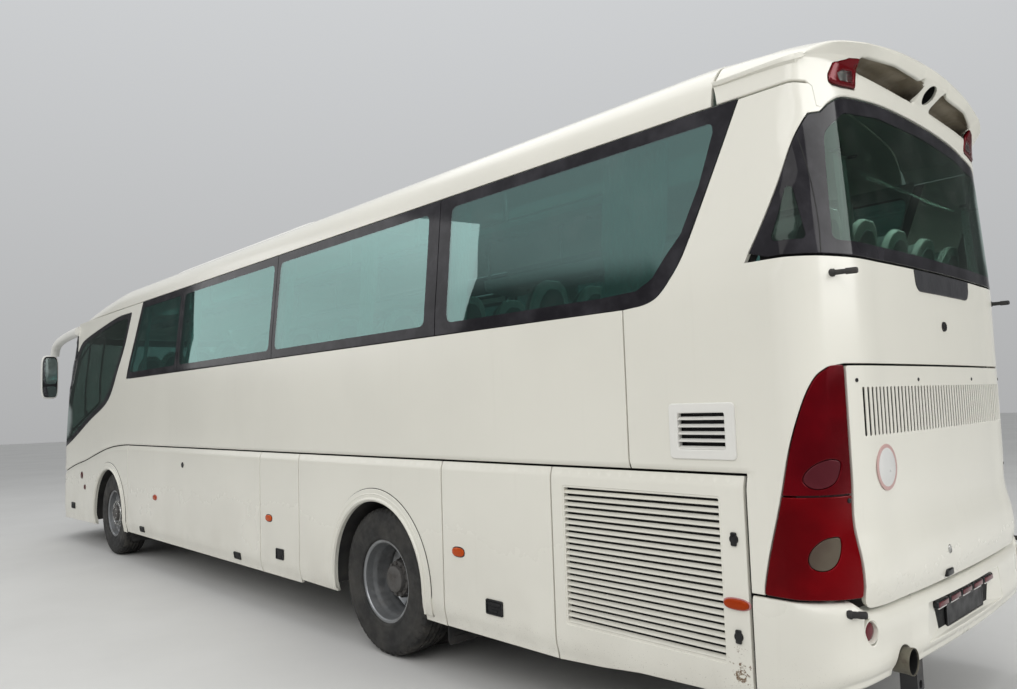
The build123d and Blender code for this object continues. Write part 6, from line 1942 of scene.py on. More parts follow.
# ------------------------------------------------------------------ windscreen
ws_edge = nose_t(np.array([(11.3475, 1.290), (11.2625, 1.850), (11.08, 2.270), (10.892, 2.720), (10.898, 2.800), (10.93, 2.900), (10.985, 2.972)]))
ws_l = [tuple(q) for q in ws_edge[:5]] + [(float(ws_edge[5][0]), 2.900), (float(ws_edge[6][0]) - 0.01, 2.975)]
ZT = 2.982
t_low = float(ws_edge[0][0])
low_z = lambda t: 1.262 + 0.028 * float(smooth01((abs(t) - 1.0) / 0.9))
bottom = [(t, low_z(t)) for t in np.linspace(-t_low + 0.05, t_low - 0.05, 40)]
ws_half = ws_l
outl = bottom + ws_half + [(t, ZT) for t in np.linspace(ws_half[-1][0] - 0.03, -ws_half[-1][0] + 0.03, 30)] + \
    [(-t, z) for t, z in ws_half][::-1]
p = Part("windscreen_glass", "body", [FRIT, SCREEN, SEAL, BLACKG], "clear_glass", ("windscreen",))
tm = float(ws_edge[2][0])
wclear = fillet([(-t_low + 0.16, 1.380), (t_low - 0.16, 1.380), (t_low - 0.14, 1.80), (float(ws_edge[3][0]) - 0.10, 2.65),
                 (float(ws_edge[3][0]) - 0.16, 2.885), (-float(ws_edge[3][0]) + 0.16, 2.885), (-float(ws_edge[3][0]) + 0.10, 2.65),
                 (-t_low + 0.14, 1.80)], 0.10, 6)
panel(p, nose, 1, outl, thick=0.008, r=0.003, grid=(0.16, 0.14), step=0.06, lines=[wclear],
      matf=lambda c: np.where(inside(c, [wclear]), 1, 0))
panel(p, offset(nose, 1, 0.0085), 1, grown(outl, -0.008), [grown(wclear, 0.012)], thick=0.010, r=0.003, grid=0.35, step=0.08, mat=2)
p.done()

# ------------------------------------------------------------------ front panel
NT_S = float(t_of(nose, 0, np.array([11.434]), np.array([1.15]), 0, LN + 3)[0])
t_side = lambda z: float(t_of(nose, 0, np.array([11.434]), np.array([z]), 0, LN + 3)[0])
p = Part("front_wall", "body", [WHITE, BLACK, SEAL, CREAM, BLACKG], "white_paint", ("front_panel",))
zs_ = np.linspace(0.909, 1.255, 8)
side_l = [(t_side(z), z) for z in zs_]
outl = [(t, 0.909) for t in np.linspace(-side_l[0][0] + 0.05, side_l[0][0] - 0.05, 44)] + side_l + \
    [(t, low_z(t) - 0.006) for t in np.linspace(side_l[-1][0] - 0.03, -side_l[-1][0] + 0.03, 44)] + [(-t, z) for t, z in side_l][::-1]
f_rows = np.array([(s * t, float(CREASE(nose(np.array([[t, 0.93]]))[0][0])) + d) for t in np.arange(0.02, side_l[0][0], 0.06)
                   for d in (0.014, 0.028, 0.045) for s in (1, -1)])
ribs = [rect(s * 0.40 - 0.26, s * 0.40 + 0.26, z, z + 0.026, 0.010, 3) for s in (1, -1) for z in (1.120, 1.162)]
panel(p, nose, 1, outl, ribs, thick=0.024, r=0.004, grid=(0.10, 0.08), step=0.05, extra=f_rows)
panel(p, offset(nose, 1, 0.028), 1, rect(-0.72, 0.72, 1.10, 1.21), thick=0.005, r=0.001, grid=0.2, step=0.1, mat=1)
p.done()

# ------------------------------------------------------------------ front bumper
p = Part("bumper_front", "body", [WHITE, BLACK, PLATE, VOID, CREAM, RED_DARK], "white_paint", ("front_bumper",))
zb_f = lambda t: 0.285 + 0.0 * t
side_b = [(t_side(z), z) for z in np.linspace(0.300, 0.900, 10)]
tb = side_b[0][0]
low = [(t, 0.285 + 0.015 * float(smooth01((abs(t) - 0.9) / 0.8))) for t in np.linspace(-tb + 0.04, tb - 0.04, 44)]
top_b = [(t, 0.900) for t in np.linspace(side_b[-1][0] - 0.03, -side_b[-1][0] + 0.03, 44)]
outl = low + side_b + top_b + [(-t, z) for t, z in side_b][::-1]
hl = [[tuple(q) for q in nose_y([(s * 0.652, 0.572), (s * 1.088, 0.572), (s * 1.088, 0.768), (s * 0.652, 0.768)])] for s in (1, -1)]
hl = [fillet(l, 0.045, 6) for l in hl]
intake = fillet([(-0.52, 0.385), (0.52, 0.385), (0.56, 0.520), (-0.56, 0.520)], 0.03, 5)
fogs = [ellipse(s * 0.93, 0.430, 0.070, 0.055, 28) for s in (1, -1)]
n_rows = np.array([(t, z) for t in np.arange(-tb, tb, 0.10) for z in (0.33, 0.36, 0.545, 0.80, 0.84, 0.87)])
panel(p, nose, 1, outl, hl + [intake] + fogs, thick=0.030, r=0.005, grid=(0.11, 0.07), step=0.04, extra=n_rows)
panel(p, offset(nose, 1, 0.075), 1, grown(intake, 0.03), thick=0.005, r=0.001, grid=0.2, step=0.1, mat=3)
for k in range(5):
    z = 0.403 + 0.025 * k
    panel(p, offset(nose, 1, 0.018), 1, rect(-0.54, 0.54, z, z + 0.011, 0.002, 1), thick=0.026, r=0.002, grid=0.3, step=0.08, mat=1)
panel(p, lambda P: nose(P) + np.array([0.010, 0, 0]), 1, rect(-0.262, 0.262, 0.600, 0.714, 0.008, 3), thick=0.012, r=0.003, grid=0.2, step=0.06, mat=1)
panel(p, lambda P: nose(P) + np.array([0.0125, 0, 0]), 1, rect(-0.256, 0.256, 0.606, 0.708, 0.006, 3), thick=0.003, r=0.001, grid=0.2, step=0.06, mat=2)
p.done()

# ------------------------------------------------------------------ head lamps
p = Part("head_lamp_units", "body", [LAMPG, REFLECTOR, BLACK, ORANGE, BULB], "lamp_glass", ("head_lamps",))
for k, s in enumerate((1, -1)):
    l = grown(hl[k], -0.0035)
    panel(p, offset(nose, 1, 0.002), 1, l, thick=0.005, r=0.003, grid=0.09, step=0.04, mat=0)
    panel(p, offset(nose, 1, 0.070), 1, grown(hl[k], 0.012), thick=0.006, r=0.001, grid=0.12, step=0.05, mat=2)
    panel(p, offset(nose, 1, 0.010), 1, grown(hl[k], 0.006), [grown(hl[k], -0.016)], thick=0.060, r=0.003, grid=0.3, step=0.05, mat=1)
    for ty, rr in ((0.755, 0.078), (0.925, 0.072)):
        q = nose_y([(s * ty, 0.672)])
        S, N = nose(q)[0], normals_of(nose, q)[0]
        d = unit(np.array([1.0, 0.10 * s, 0.0]))
        o = S - N * 0.062
        lathe(p, [(0.0, 0.012), (0.006, rr * 0.45), (0.020, rr * 0.78), (0.040, rr), (0.044, rr), (0.044, rr + 0.004), (0.0, rr * 0.6)],
              o, d, 1, 40, closed=False)
        lathe(p, [(0.002, 0.0), (0.002, 0.013), (0.030, 0.012), (0.034, 0.009), (0.036, 0.0)], o, d, 4, 20, closed=False)
    q = nose_y([(s * 1.045, 0.672)])
    S, N = nose(q)[0], normals_of(nose, q)[0]
    lathe(p, [(0.0, 0.0), (0.0, 0.040), (0.016, 0.036), (0.024, 0.020), (0.026, 0.0)], S - N * 0.060, N, 3, 28, closed=False)
    q = np.array([[s * 0.93, 0.430]])
    S, N = nose(q)[0], normals_of(nose, q)[0]
    lathe(p, [(-0.055, 0.0), (-0.050, 0.035), (-0.030, 0.052), (-0.012, 0.056), (-0.012, 0.060), (-0.058, 0.058), (-0.058, 0.0)],
          S, N, 1, 32, closed=False)
    lathe(p, [(-0.014, 0.0), (-0.014, 0.055), (-0.009, 0.055), (-0.006, 0.040), (-0.004, 0.0)], S, N, 0, 32, closed=False)
p.done()

# ------------------------------------------------------------------ wipers
p = Part("wiper_set", "body", [BLACK, BLACKG, RUBBER], "black_plastic", ("wipers",))
for y in (0.700, 0.100):
    S = nose(np.array([[y, 1.20]]))[0]
    lathe(p, [(-0.03, 0), (-0.03, 0.026), (0.012, 0.026), (0.020, 0.020), (0.030, 0.018), (0.034, 0.012), (0.034, 0)],
          (S[0], y, 1.190), (1, 0, 0), 0, 24, closed=False)
    pa = np.array([(S[0] + 0.024, y, 1.190), (S[0] + 0.038, y - 0.01, 1.212), (S[0] + 0.034, y - 0.10, 1.235), (11.910, y - 0.30, 1.268)])
    path = open_curve(pa[:, :2], 8), open_curve(pa[:, [0, 2]], 8)
    path = np.stack([path[0][:, 0], path[0][:, 1], path[1][:, 1]], 1)
    tube(p, path, np.linspace(0.012, 0.007, len(path)), 12, 0, flatten=(1.3, 0.7))
    ys = np.linspace(y - 0.62, y + 0.02, 24)
    bow = [(11.912 - 0.0 + 0.0 * q, q, 1.276) for q in ys]
    for q0, q1 in ((y - 0.60, y - 0.02), (y - 0.56, y - 0.34), (y - 0.26, y - 0.06)):
        n = 16
        t = np.linspace(0, 1, n)
        z = 1.278 + 0.010 * np.sin(math.pi * t)
        tube(p, np.stack([11.914 + 0.004 * np.sin(math.pi * t), q0 + (q1 - q0) * t, z], 1), 0.0042, 8, 0)
    rbox(p, (11.905, y - 0.62, 1.262), (11.913, y + 0.02, 1.272), 0.002, 2, 2)
    rbox(p, (11.903, y - 0.62, 1.270), (11.915, y + 0.02, 1.276), 0.002, 2, 1)
    rbox(p, (11.905, y - 0.325, 1.262), (11.922, y - 0.275, 1.290), 0.005, 3, 0)
p.done()

# ------------------------------------------------------------------ mirrors on their horns
def loft(part, rings, mat, cap=True):
    """Rings of equal count joined one after another."""
    n = len(rings[0])
    faces = []
    for k in range(len(rings) - 1):
        for i in range(n):
            j = (i + 1) % n
            faces.append([k * n + i, k * n + j, (k + 1) * n + j, (k + 1) * n + i])
    if cap:
        faces.append(list(range(n))[::-1])
        faces.append([(len(rings) - 1) * n + i for i in range(n)])
    V = np.vstack(rings)
    c = V.mean(0)
    vol = 0.0
    for f in faces:
        for k in range(1, len(f) - 1):
            vol += float(np.dot(V[f[0]] - c, np.cross(V[f[k]] - c, V[f[k + 1]] - c)))
    part.add(V, faces, mat, flip=vol < 0)


def oval_ring(c, u, w, a, b, n=28, e=0.75):
    t = np.linspace(0, 2 * math.pi, n, endpoint=False)
    ca, sa = np.cos(t), np.sin(t)
    return np.asarray(c) + np.outer(np.sign(ca) * np.abs(ca) ** e * a, u) + np.outer(np.sign(sa) * np.abs(sa) ** e * b, w)


p = Part("mirror_horns", "body", [CREAM, BLACK, MIRRORG, BLACKG], "white_paint", ("mirrors",))
Y_, Z_ = np.array([0, 1.0, 0]), np.array([0, 0, 1.0])
for s in (1, -1):
    cl = open_curve([(11.00, 3.045), (11.22, 3.040), (11.50, 3.005), (11.72, 2.955), (11.88, 2.885), (11.965, 2.80), (11.985, 2.74)], 8)
    n = len(cl)
    k = np.linspace(0, 1, n)
    yy = s * (1.150 + 0.11 * smooth01(k * 1.4))
    hh = np.interp(k, [0, 0.25, 0.6, 0.85, 1.0], [0.075, 0.062, 0.052, 0.050, 0.048])
    ww = np.interp(k, [0, 0.3, 0.7, 1.0], [0.075, 0.070, 0.062, 0.060])
    P3 = np.stack([cl[:, 0], yy, cl[:, 1]], 1)
    rings = []
    for i in range(n):
        tan = unit(P3[min(i + 1, n - 1)] - P3[max(i - 1, 0)])
        u = unit(np.cross(Z_, tan)) if abs(tan[2]) < 0.95 else Y_
        if u[1] < 0:
            u = -u
        w = np.cross(tan, u)
        rings.append(oval_ring(P3[i], u, w, ww[i], hh[i], 28, 0.85))
    loft(p, rings, 0)
    # the head: a deep shell with a rounded back, two glasses set in its rear face
    yc = s * 1.335
    prof = [(11.934, 0.94), (11.945, 0.985), (11.970, 1.0), (12.000, 0.985), (12.030, 0.93), (12.055, 0.82), (12.072, 0.60), (12.079, 0.25)]
    loft(p, [oval_ring((x, yc, 2.41), Y_, Z_, 0.119 * f, 0.338 * (0.35 + 0.65 * f) if f < 0.9 else 0.338 * f, 48, 0.42) for x, f in prof], 0)
    loft(p, [oval_ring((11.9335, yc, 2.41), Y_, Z_, 0.105, 0.318, 48, 0.42), oval_ring((11.9395, yc, 2.41), Y_, Z_, 0.105, 0.318, 48, 0.42)], 1)
    loft(p, [oval_ring((11.9318, yc, 2.500), Y_, Z_, 0.094, 0.200, 40, 0.36), oval_ring((11.9345, yc, 2.500), Y_, Z_, 0.094, 0.200, 40, 0.36)], 2)
    loft(p, [oval_ring((11.9318, yc, 2.180), Y_, Z_, 0.092, 0.082, 40, 0.40), oval_ring((11.9345, yc, 2.180), Y_, Z_, 0.092, 0.082, 40, 0.40)], 2)
    tube(p, [(11.985, s * 1.262, 2.76), (11.985, s * 1.300, 2.70)], 0.035, 18, 1)
p.done()

# ------------------------------------------------------------------ passenger doors
for nm, x0, x1, z0, z1, sgn in (("front_door", 10.130, 11.010, 0.330, 2.820, 1), ("middle_door", 4.120, 4.810, 0.360, 2.950, -1)):
    p = Part(nm + "_leaf", nm, [WHITE, FRIT, CABG if nm == "front_door" else TINT, SEAL, BLACK, TRIMP, CHROME], "white_paint", (nm,))
    surf = lambda P: side(P, -1)
    zc = float(CREASE((x0 + x1) / 2))
    outer = fillet([(x0, z0, 0.02), (x1, z0, 0.02), (x1, z1, 0.03), (x0, z1, 0.03)], 0.02, 4)
    hi = fillet([(x0 + 0.090, 1.500), (x1 - 0.090, 1.500), (x1 - 0.090, z1 - 0.095), (x0 + 0.090, z1 - 0.095)], 0.05, 5)
    lo = fillet([(x0 + 0.090, 0.760), (x1 - 0.090, 0.760), (x1 - 0.090, 1.390), (x0 + 0.090, 1.390)], 0.05, 5)
    panel(p, surf, 1, outer, [hi, lo], thick=0.030, r=0.005, grid=(0.12, 0.09), step=0.045,
          extra=CREASE_ROWS)
    # glass on the inside, with its dark border
    for h in (hi, lo):
        c = grown(h, -0.035)
        panel(p, offset(surf, 1, 0.007), 1, grown(h, -0.003), thick=0.005, r=0.0015, grid=(0.2, 0.2), step=0.06, lines=[c],
              matf=lambda q, c=c: np.where(inside(q, [np.asarray(c)]), 2, 1), seg=2)
        panel(p, offset(surf, 1, 0.0125), 1, grown(h, -0.001), [grown(h, -0.020)], thick=0.016, r=0.002, grid=0.3, step=0.08, mat=3, seg=2)
    # rubber round the leaf, inside grab bars
    panel(p, offset(surf, 1, 0.031), 1, grown(outer, -0.010), [grown(outer, -0.040)], thick=0.014, r=0.005, grid=0.3, step=0.08, mat=3, seg=2)
    for z in (1.445,):
        ends = [(x0 + 0.12, -1.196, z), (x0 + 0.12, -1.165, z), (x0 + 0.16, -1.150, z), (x1 - 0.16, -1.150, z), (x1 - 0.12, -1.165, z), (x1 - 0.12, -1.196, z)]
        tube(p, ends, 0.013, 14, 6)
    # eyes that hold the swing arm's pins
    ex = 10.415 if nm == "front_door" else 4.715
    for zb in (0.900, 1.900):
        for d in (-0.026, 0.026):
            rbox(p, (ex - 0.028, -1.236, zb + d - 0.010), (ex + 0.028, -1.130, zb + d + 0.010), 0.006, 3, 4)
        rbox(p, (x0 + 0.060, -1.234, zb - 0.030), (x1 - 0.060, -1.214, zb + 0.030), 0.006, 2, 5)
    p.done()


# ------------------------------------------------------------------ wheels
XF, XR, ZA = 9.128, 2.959, 0.520
TYRE_ROWS = [(-0.121, 0.2915), (-0.132, 0.294), (-0.1385, 0.302), (-0.1415, 0.318), (-0.1400, 0.323), (-0.1425, 0.334),
             (-0.1447, 0.365), (-0.1450, 0.395), (-0.1440, 0.428), (-0.1455, 0.436), (-0.1455, 0.444), (-0.1425, 0.450),
             (-0.1395, 0.468), (-0.1350, 0.484), (-0.1310, 0.4935), (-0.1240, 0.5040), (-0.1160, 0.5115), (-0.1060, 0.5152),
             (-0.0660, 0.5185), (-0.0645, 0.5075), (-0.0555, 0.5075), (-0.0540, 0.5190), (-0.0260, 0.5197),
             (-0.0245, 0.5080), (-0.0155, 0.5080), (-0.0140, 0.5199)]
TYRE_ROWS = TYRE_ROWS + [(-y, r) for y, r in TYRE_ROWS[::-1]]
TYRE_ROWS += [(0.100, 0.300), (0.0, 0.304), (-0.100, 0.300)]


def tyre_mesh(part, yc, x, pitches, per, mat_side, mat_tread, phase=0.0):
    n = pitches * per
    t = np.arange(n) / n * 2 * math.pi + phase
    low = (np.arange(n) % per) >= per - 2 if per > 3 else np.zeros(n, bool)
    verts = []
    for k, (y, r) in enumerate(TYRE_ROWS):
        a = abs(y)
        rr = np.full(n, r)
        yy = np.full(n, y)
        if 0.070 < a < 0.1335 and r > 0.49:
            rr = np.where(low, r - 0.009, r)
            yy = np.where(low, y * 0.992, y)
        elif 0.0660 - 1e-6 <= a <= 0.070 and r > 0.515:
            rr = np.full(n, r)
        elif a < 0.052 and r > 0.515:
            sh = np.roll(low, 2 if y > 0 else 4)
            rr = np.where(sh & (np.arange(n) % per == (per - 2 + (2 if y > 0 else 4)) % per), r - 0.004, r)
        verts.append(np.stack([x + rr * np.cos(t), yc + yy, ZA + rr * np.sin(t)], 1))
    V = np.vstack(verts)
    m = len(TYRE_ROWS)
    faces, fm = [], []
    for k in range(m):
        l = (k + 1) % m
        tread = TYRE_ROWS[k][1] > 0.50 and TYRE_ROWS[l][1] > 0.50
        for i in range(n):
            j = (i + 1) % n
            faces.append([k * n + i, l * n + i, l * n + j, k * n + j])
            fm.append(mat_tread if tread else mat_side)
    part.add(V, faces, fm, flip=True)


def disc_surf(x, yc, s, prof):
    """A wheel disc over (x, z) about the axle, its height set by the radius."""
    def f(P):
        r = np.hypot(P[:, 0], P[:, 1])
        return np.stack([x + P[:, 0], yc + s * prof(np.clip(r, 0.02, 0.30)), ZA + P[:, 1]], 1)
    return f


def ring_of(part, make, n, r, phase=0.0):
    for k in range(n):
        a = phase + 2 * math.pi * k / n
        make(r * math.cos(a), r * math.sin(a), a)


def nut(part, x, yb, s, px, pz, a, size=0.0165, h=0.024, mat=0, stud=True):
    c = np.array([x + px, yb, ZA + pz])
    ax = np.array([0, s, 0.0])
    lathe(part, [(-0.002, 0), (-0.002, size * 1.30), (0.0035, size * 1.30), (0.005, size * 1.12), (0.005, 0)], c, ax, mat, 16, closed=False)
    u, w = np.array([math.cos(a), 0, math.sin(a)]), np.array([-math.sin(a), 0, math.cos(a)])
    rings = []
    for d, f in ((0.004, 1.0), (h - 0.004, 1.0), (h, 0.88)):
        rings.append(np.array([c + ax * d + size * f * (u * math.cos(q) + w * math.sin(q)) for q in np.linspace(0, 2 * math.pi, 6, endpoint=False)]))
    loft(part, rings, mat)
    if stud:
        lathe(part, [(h - 0.001, 0), (h - 0.001, size * 0.55), (h + 0.010, size * 0.55), (h + 0.012, size * 0.42), (h + 0.012, 0)], c, ax, mat, 12, closed=False)


def rim_lathe(part, rows, x, yc, s, mats, n=96):
    R = [(y * s, r) for y, r in rows]
    if s < 0:
        R, mats = R[::-1], (mats[::-1][1:] + mats[:1])
    lathe(part, R, (x, yc, ZA), (0, 1, 0), 0, n, closed=True, mats=mats)


for side_, s in (("left", 1), ("right", -1)):
    # tyres
    p = Part("tyre_front_" + side_, "front_wheel_" + side_, [TYRE, TREAD], "tyre_rubber", ("front_tyre_" + side_,), angle=28)
    tyre_mesh(p, s * 1.083, XF, 54, 6, 0, 1)
    p.done()
    p = Part("tyres_rear_" + side_, "rear_wheels_" + side_, [TYRE, TREAD], "tyre_rubber", ("rear_tyres_" + side_,), angle=28)
    tyre_mesh(p, s * 1.085, XR, 54, 6, 0, 1, 0.3)
    tyre_mesh(p, s * 0.752, XR, 90, 1, 0, 1, 0.1)
    p.done()
    # front rim
    p = Part("rim_front_" + side_, "front_wheel_" + side_, [RIM, HUB, CHROME, VOID], "rim_steel", ("front_rim_" + side_,))
    yc = s * 1.083
    rows = [(-0.122, 0.2910), (-0.118, 0.2970), (-0.108, 0.2910), (0.108, 0.2910), (0.117, 0.2970), (0.1235, 0.2955), (0.1245, 0.2860), (0.1225, 0.2740),
            (0.1150, 0.2675), (0.095, 0.2655), (0.070, 0.262), (0.056, 0.2585), (0.050, 0.2480), (0.046, 0.2380), (0.030, 0.2380), (0.024, 0.244), (-0.122, 0.266)]
    rim_lathe(p, rows, XF, yc, s, [0] * len(rows))
    prof = pchip([0.02, 0.100, 0.112, 0.130, 0.172, 0.190, 0.210, 0.236, 0.30], [0.074, 0.074, 0.074, 0.073, 0.072, 0.066, 0.054, 0.047, 0.047])
    disc = disc_surf(XF, yc, s, prof)
    sg = 1 if float(normals_of(disc, np.array([[0.2, 0.0]]))[0][1]) * s > 0 else -1
    holes = [ellipse(0.2085 * math.cos(a), 0.2085 * math.sin(a), 0.0225, 0.0225, 18) for a in np.linspace(0, 2 * math.pi, 10, endpoint=False) + 0.2]
    panel(p, disc, sg, ellipse(0, 0, 0.2395, 0.2395, 72), holes, thick=0.013, r=0.004, grid=0.03, step=0.018, mat=0)
    ring_of(p, lambda px, pz, a: nut(p, XF, yc + s * 0.073, s, px, pz, a, mat=2), 10, 0.1425)
    ring = [(XF + 0.1425 * math.cos(a), yc + s * 0.1005, ZA + 0.1425 * math.sin(a)) for a in np.linspace(0, 2 * math.pi, 72, endpoint=False)]
    tube(p, ring, 0.0055, 8, 2, closed=True)
    lathe(p, [(0.070, 0.0), (0.070, 0.108), (0.078, 0.109), (0.086, 0.100), (0.098, 0.0965), (0.118, 0.094), (0.1265, 0.086), (0.1280, 0.070),
              (0.1240, 0.062), (0.1240, 0.040), (0.1285, 0.034), (0.1285, 0.0)], (XF, yc, ZA), (0, s, 0), 1, 56, closed=False)
    ring_of(p, lambda px, pz, a: nut(p, XF, yc + s * 0.1265, s, px, pz, a, 0.0060, 0.006, 2, False), 8, 0.074)
    p.done()
    # rear rims: outer deep dish, hub, and the inner rim behind
    p = Part("rims_rear_" + side_, "rear_wheels_" + side_, [RIM, HUB, CHROME, VOID, CAST], "rim_steel", ("rear_rim_" + side_,))
    yc = s * 1.085
    rows = [(-0.122, 0.2910), (-0.118, 0.2970), (-0.108, 0.2910), (0.108, 0.2910), (0.117, 0.2970), (0.1235, 0.2960), (0.1250, 0.2880), (0.1235, 0.2760),
            (0.1160, 0.2690), (0.098, 0.2665), (0.070, 0.2620), (0.055, 0.2600), (0.040, 0.2530), (0.020, 0.2500), (-0.020, 0.2490), (-0.045, 0.2460),
            (-0.062, 0.2380), (-0.080, 0.2360), (-0.095, 0.2400), (-0.118, 0.2440), (-0.130, 0.2500), (-0.122, 0.270)]
    rim_lathe(p, rows, XR, yc, s, [0] * len(rows), 112)
    prof = pchip([0.02, 0.145, 0.160, 0.182, 0.205, 0.222, 0.236, 0.30], [-0.130, -0.130, -0.128, -0.126, -0.116, -0.104, -0.090, -0.085])
    disc = disc_surf(XR, yc, s, prof)
    sg = 1 if float(normals_of(disc, np.array([[0.2, 0.0]]))[0][1]) * s > 0 else -1
    holes = [ellipse(0.2035 * math.cos(a), 0.2035 * math.sin(a), 0.0275, 0.0275, 20) for a in np.linspace(0, 2 * math.pi, 8, endpoint=False) + 0.25]
    panel(p, disc, sg, ellipse(0, 0, 0.2375, 0.2375, 80), holes, thick=0.014, r=0.005, grid=0.03, step=0.018, mat=0)
    ring_of(p, lambda px, pz, a: nut(p, XR, yc - s * 0.128, s, px, pz, a, 0.0170, 0.026, 1), 10, 0.1675, 0.1)
    lathe(p, [(-0.132, 0.0), (-0.132, 0.1465), (-0.118, 0.1465), (-0.108, 0.138), (-0.060, 0.132), (0.000, 0.127), (0.020, 0.126), (0.024, 0.122),
              (0.024, 0.100), (0.036, 0.098), (0.052, 0.092), (0.059, 0.080), (0.060, 0.045), (0.055, 0.036), (0.055, 0.0)],
          (XR, yc, ZA), (0, s, 0), 1, 64, closed=False)
    ring_of(p, lambda px, pz, a: nut(p, XR, yc + s * 0.023, s, px, pz, a, 0.0085, 0.011, 4, False), 12, 0.1120)
    for k in range(10):     # ribs of the hub
        a = 2 * math.pi * k / 10 + 0.15
        c, q = math.cos(a), math.sin(a)
        pts = [(XR + c * 0.134, yc - s * 0.112, ZA + q * 0.134), (XR + c * 0.137, yc - s * 0.060, ZA + q * 0.137), (XR + c * 0.129, yc + s * 0.010, ZA + q * 0.129)]
        tube(p, pts, 0.008, 8, 1)
    yi = s * 0.752
    rows = [(-0.122, 0.2910), (-0.118, 0.2970), (-0.108, 0.2910), (0.108, 0.2910), (0.117, 0.2965), (0.1235, 0.2940), (0.1225, 0.2600), (0.150, 0.2520),
            (0.180, 0.2480), (0.180, 0.1500), (0.172, 0.1490), (0.160, 0.1540), (0.160, 0.2300), (0.100, 0.2350), (-0.122, 0.266)]
    rim_lathe(p, rows, XR, yi, s, [0] * len(rows), 80)
    p.done()

# ------------------------------------------------------------------ mudflaps and exhaust
p = Part("mudflap_sheets", "body", [RUBBER, GALV], "black_rubber", ("mudflaps",))
UY, UZ = np.array([0, 1.0, 0]), np.array([0, 0, 1.0])
for x, yi, z0 in ((2.235, 0.620, 0.210), (8.445, 0.930, 0.230)):
    for s in (1, -1):
        a, b = sorted((s * yi, s * 1.215))

        def flap(P, x=x):
            return np.stack([x + 0.001 + 0.0016 * np.sin(P[:, 0] * 14.0) * np.clip((0.70 - P[:, 1]) * 2, 0, 1), P[:, 0], P[:, 1]], 1)
        panel(p, flap, -1, fillet([(a, z0, 0.03), (b, z0, 0.03), (b, 0.700, 0.005), (a, 0.700, 0.005)], 0.02, 5), thick=0.006, r=0.002, grid=0.05, step=0.03)
        for z in (z0 + 0.05, z0 + 0.075, z0 + 0.10):
            tube(p, [(x - 0.0015, a + 0.04, z), (x - 0.0015, b - 0.04, z)], 0.004, 8, 0)
        rbox(p, (x - 0.008, a + 0.01, 0.655), (x - 0.001, b - 0.01, 0.690), 0.002, 2, 1)
        for k in range(5):
            y = a + 0.05 + (b - a - 0.10) * k / 4
            lathe(p, [(0, 0), (0, 0.011), (0.004, 0.010), (0.006, 0.006), (0.006, 0)], (x - 0.008, y, 0.672), (-1, 0, 0), 1, 12, closed=False)
p.done()

p = Part("exhaust_system", "body", [RUSTY, CAST, VOID, GALV], "cast_metal", ("exhaust",))
EYY, EZZ = 0.800, 0.585
lathe(p, [(-0.492, 0.0570), (-0.4912, 0.0585), (-0.486, 0.0590), (-0.478, 0.0575), (-0.462, 0.0560), (-0.440, 0.0555), (-0.300, 0.0555),
          (-0.295, 0.0585), (-0.265, 0.0585), (-0.260, 0.0555), (0.220, 0.0555), (0.225, 0.0600), (0.305, 0.0600), (0.305, 0.0540),
          (-0.460, 0.0535), (-0.480, 0.0545), (-0.4912, 0.0560)], (0, EYY, EZZ), (1, 0, 0), 0, 64, closed=True)
# sooty bore, in the near-black shadow material: soot and painted shade
lathe(p, [(-0.486, 0.0545), (-0.460, 0.0528), (0.290, 0.0528), (0.290, 0.0500), (-0.458, 0.0505), (-0.484, 0.0525)], (0, EYY, EZZ), (1, 0, 0), 2, 64, closed=True)
lathe(p, [(0.300, 0.0), (0.300, 0.060), (0.303, 0.110), (0.312, 0.132), (0.318, 0.146), (0.326, 0.1495), (0.334, 0.1460), (0.345, 0.1450),
          (0.560, 0.1450), (0.565, 0.1480), (0.575, 0.1480), (0.580, 0.1450), (0.870, 0.1450), (0.875, 0.1480), (0.885, 0.1480), (0.890, 0.1450),
          (1.105, 0.1450), (1.116, 0.1460), (1.124, 0.1495), (1.132, 0.146), (1.138, 0.132), (1.147, 0.110), (1.150, 0.0)], (0, EYY, EZZ), (1, 0, 0), 1, 64, closed=False)
for x in (0.45, 1.00):
    ring = [(x, EYY + 0.1485 * math.cos(a), EZZ + 0.1485 * math.sin(a)) for a in np.linspace(0, 2 * math.pi, 48, endpoint=False)]
    sweep(p, ring, [(-0.016, -0.0010), (0.016, -0.0010), (0.016, 0.0013), (-0.016, 0.0013)], np.array([(0, math.cos(a), math.sin(a)) for a in np.linspace(0, 2 * math.pi, 48, endpoint=False)]), 3, closed=True)
    rbox(p, (x - 0.014, EYY - 0.158 + 0.15, EZZ + 0.138), (x + 0.014, EYY + 0.02, EZZ + 0.150), 0.004, 2, 3)
p.done()


# ------------------------------------------------------------------ padded forms
def bake(ob):
    """The evaluated mesh of an object as plain arrays."""
    dg = bpy.context.evaluated_depsgraph_get()
    ev = ob.evaluated_get(dg)
    me = ev.to_mesh()
    v = np.empty(len(me.vertices) * 3)
    me.vertices.foreach_get("co", v)
    f = [tuple(q.vertices) for q in me.polygons]
    ev.to_mesh_clear()
    return v.reshape(-1, 3), f


def temp(verts, faces):
    me = bpy.data.meshes.new("pad_source")
    me.from_pydata([tuple(q) for q in verts], [], [list(q) for q in faces])
    me.validate()
    ob = bpy.data.objects.new("pad_source", me)
    COL.objects.link(ob)
    return ob


def drop_temp(ob):
    me = ob.data
    bpy.data.objects.remove(ob)
    bpy.data.meshes.remove(me)


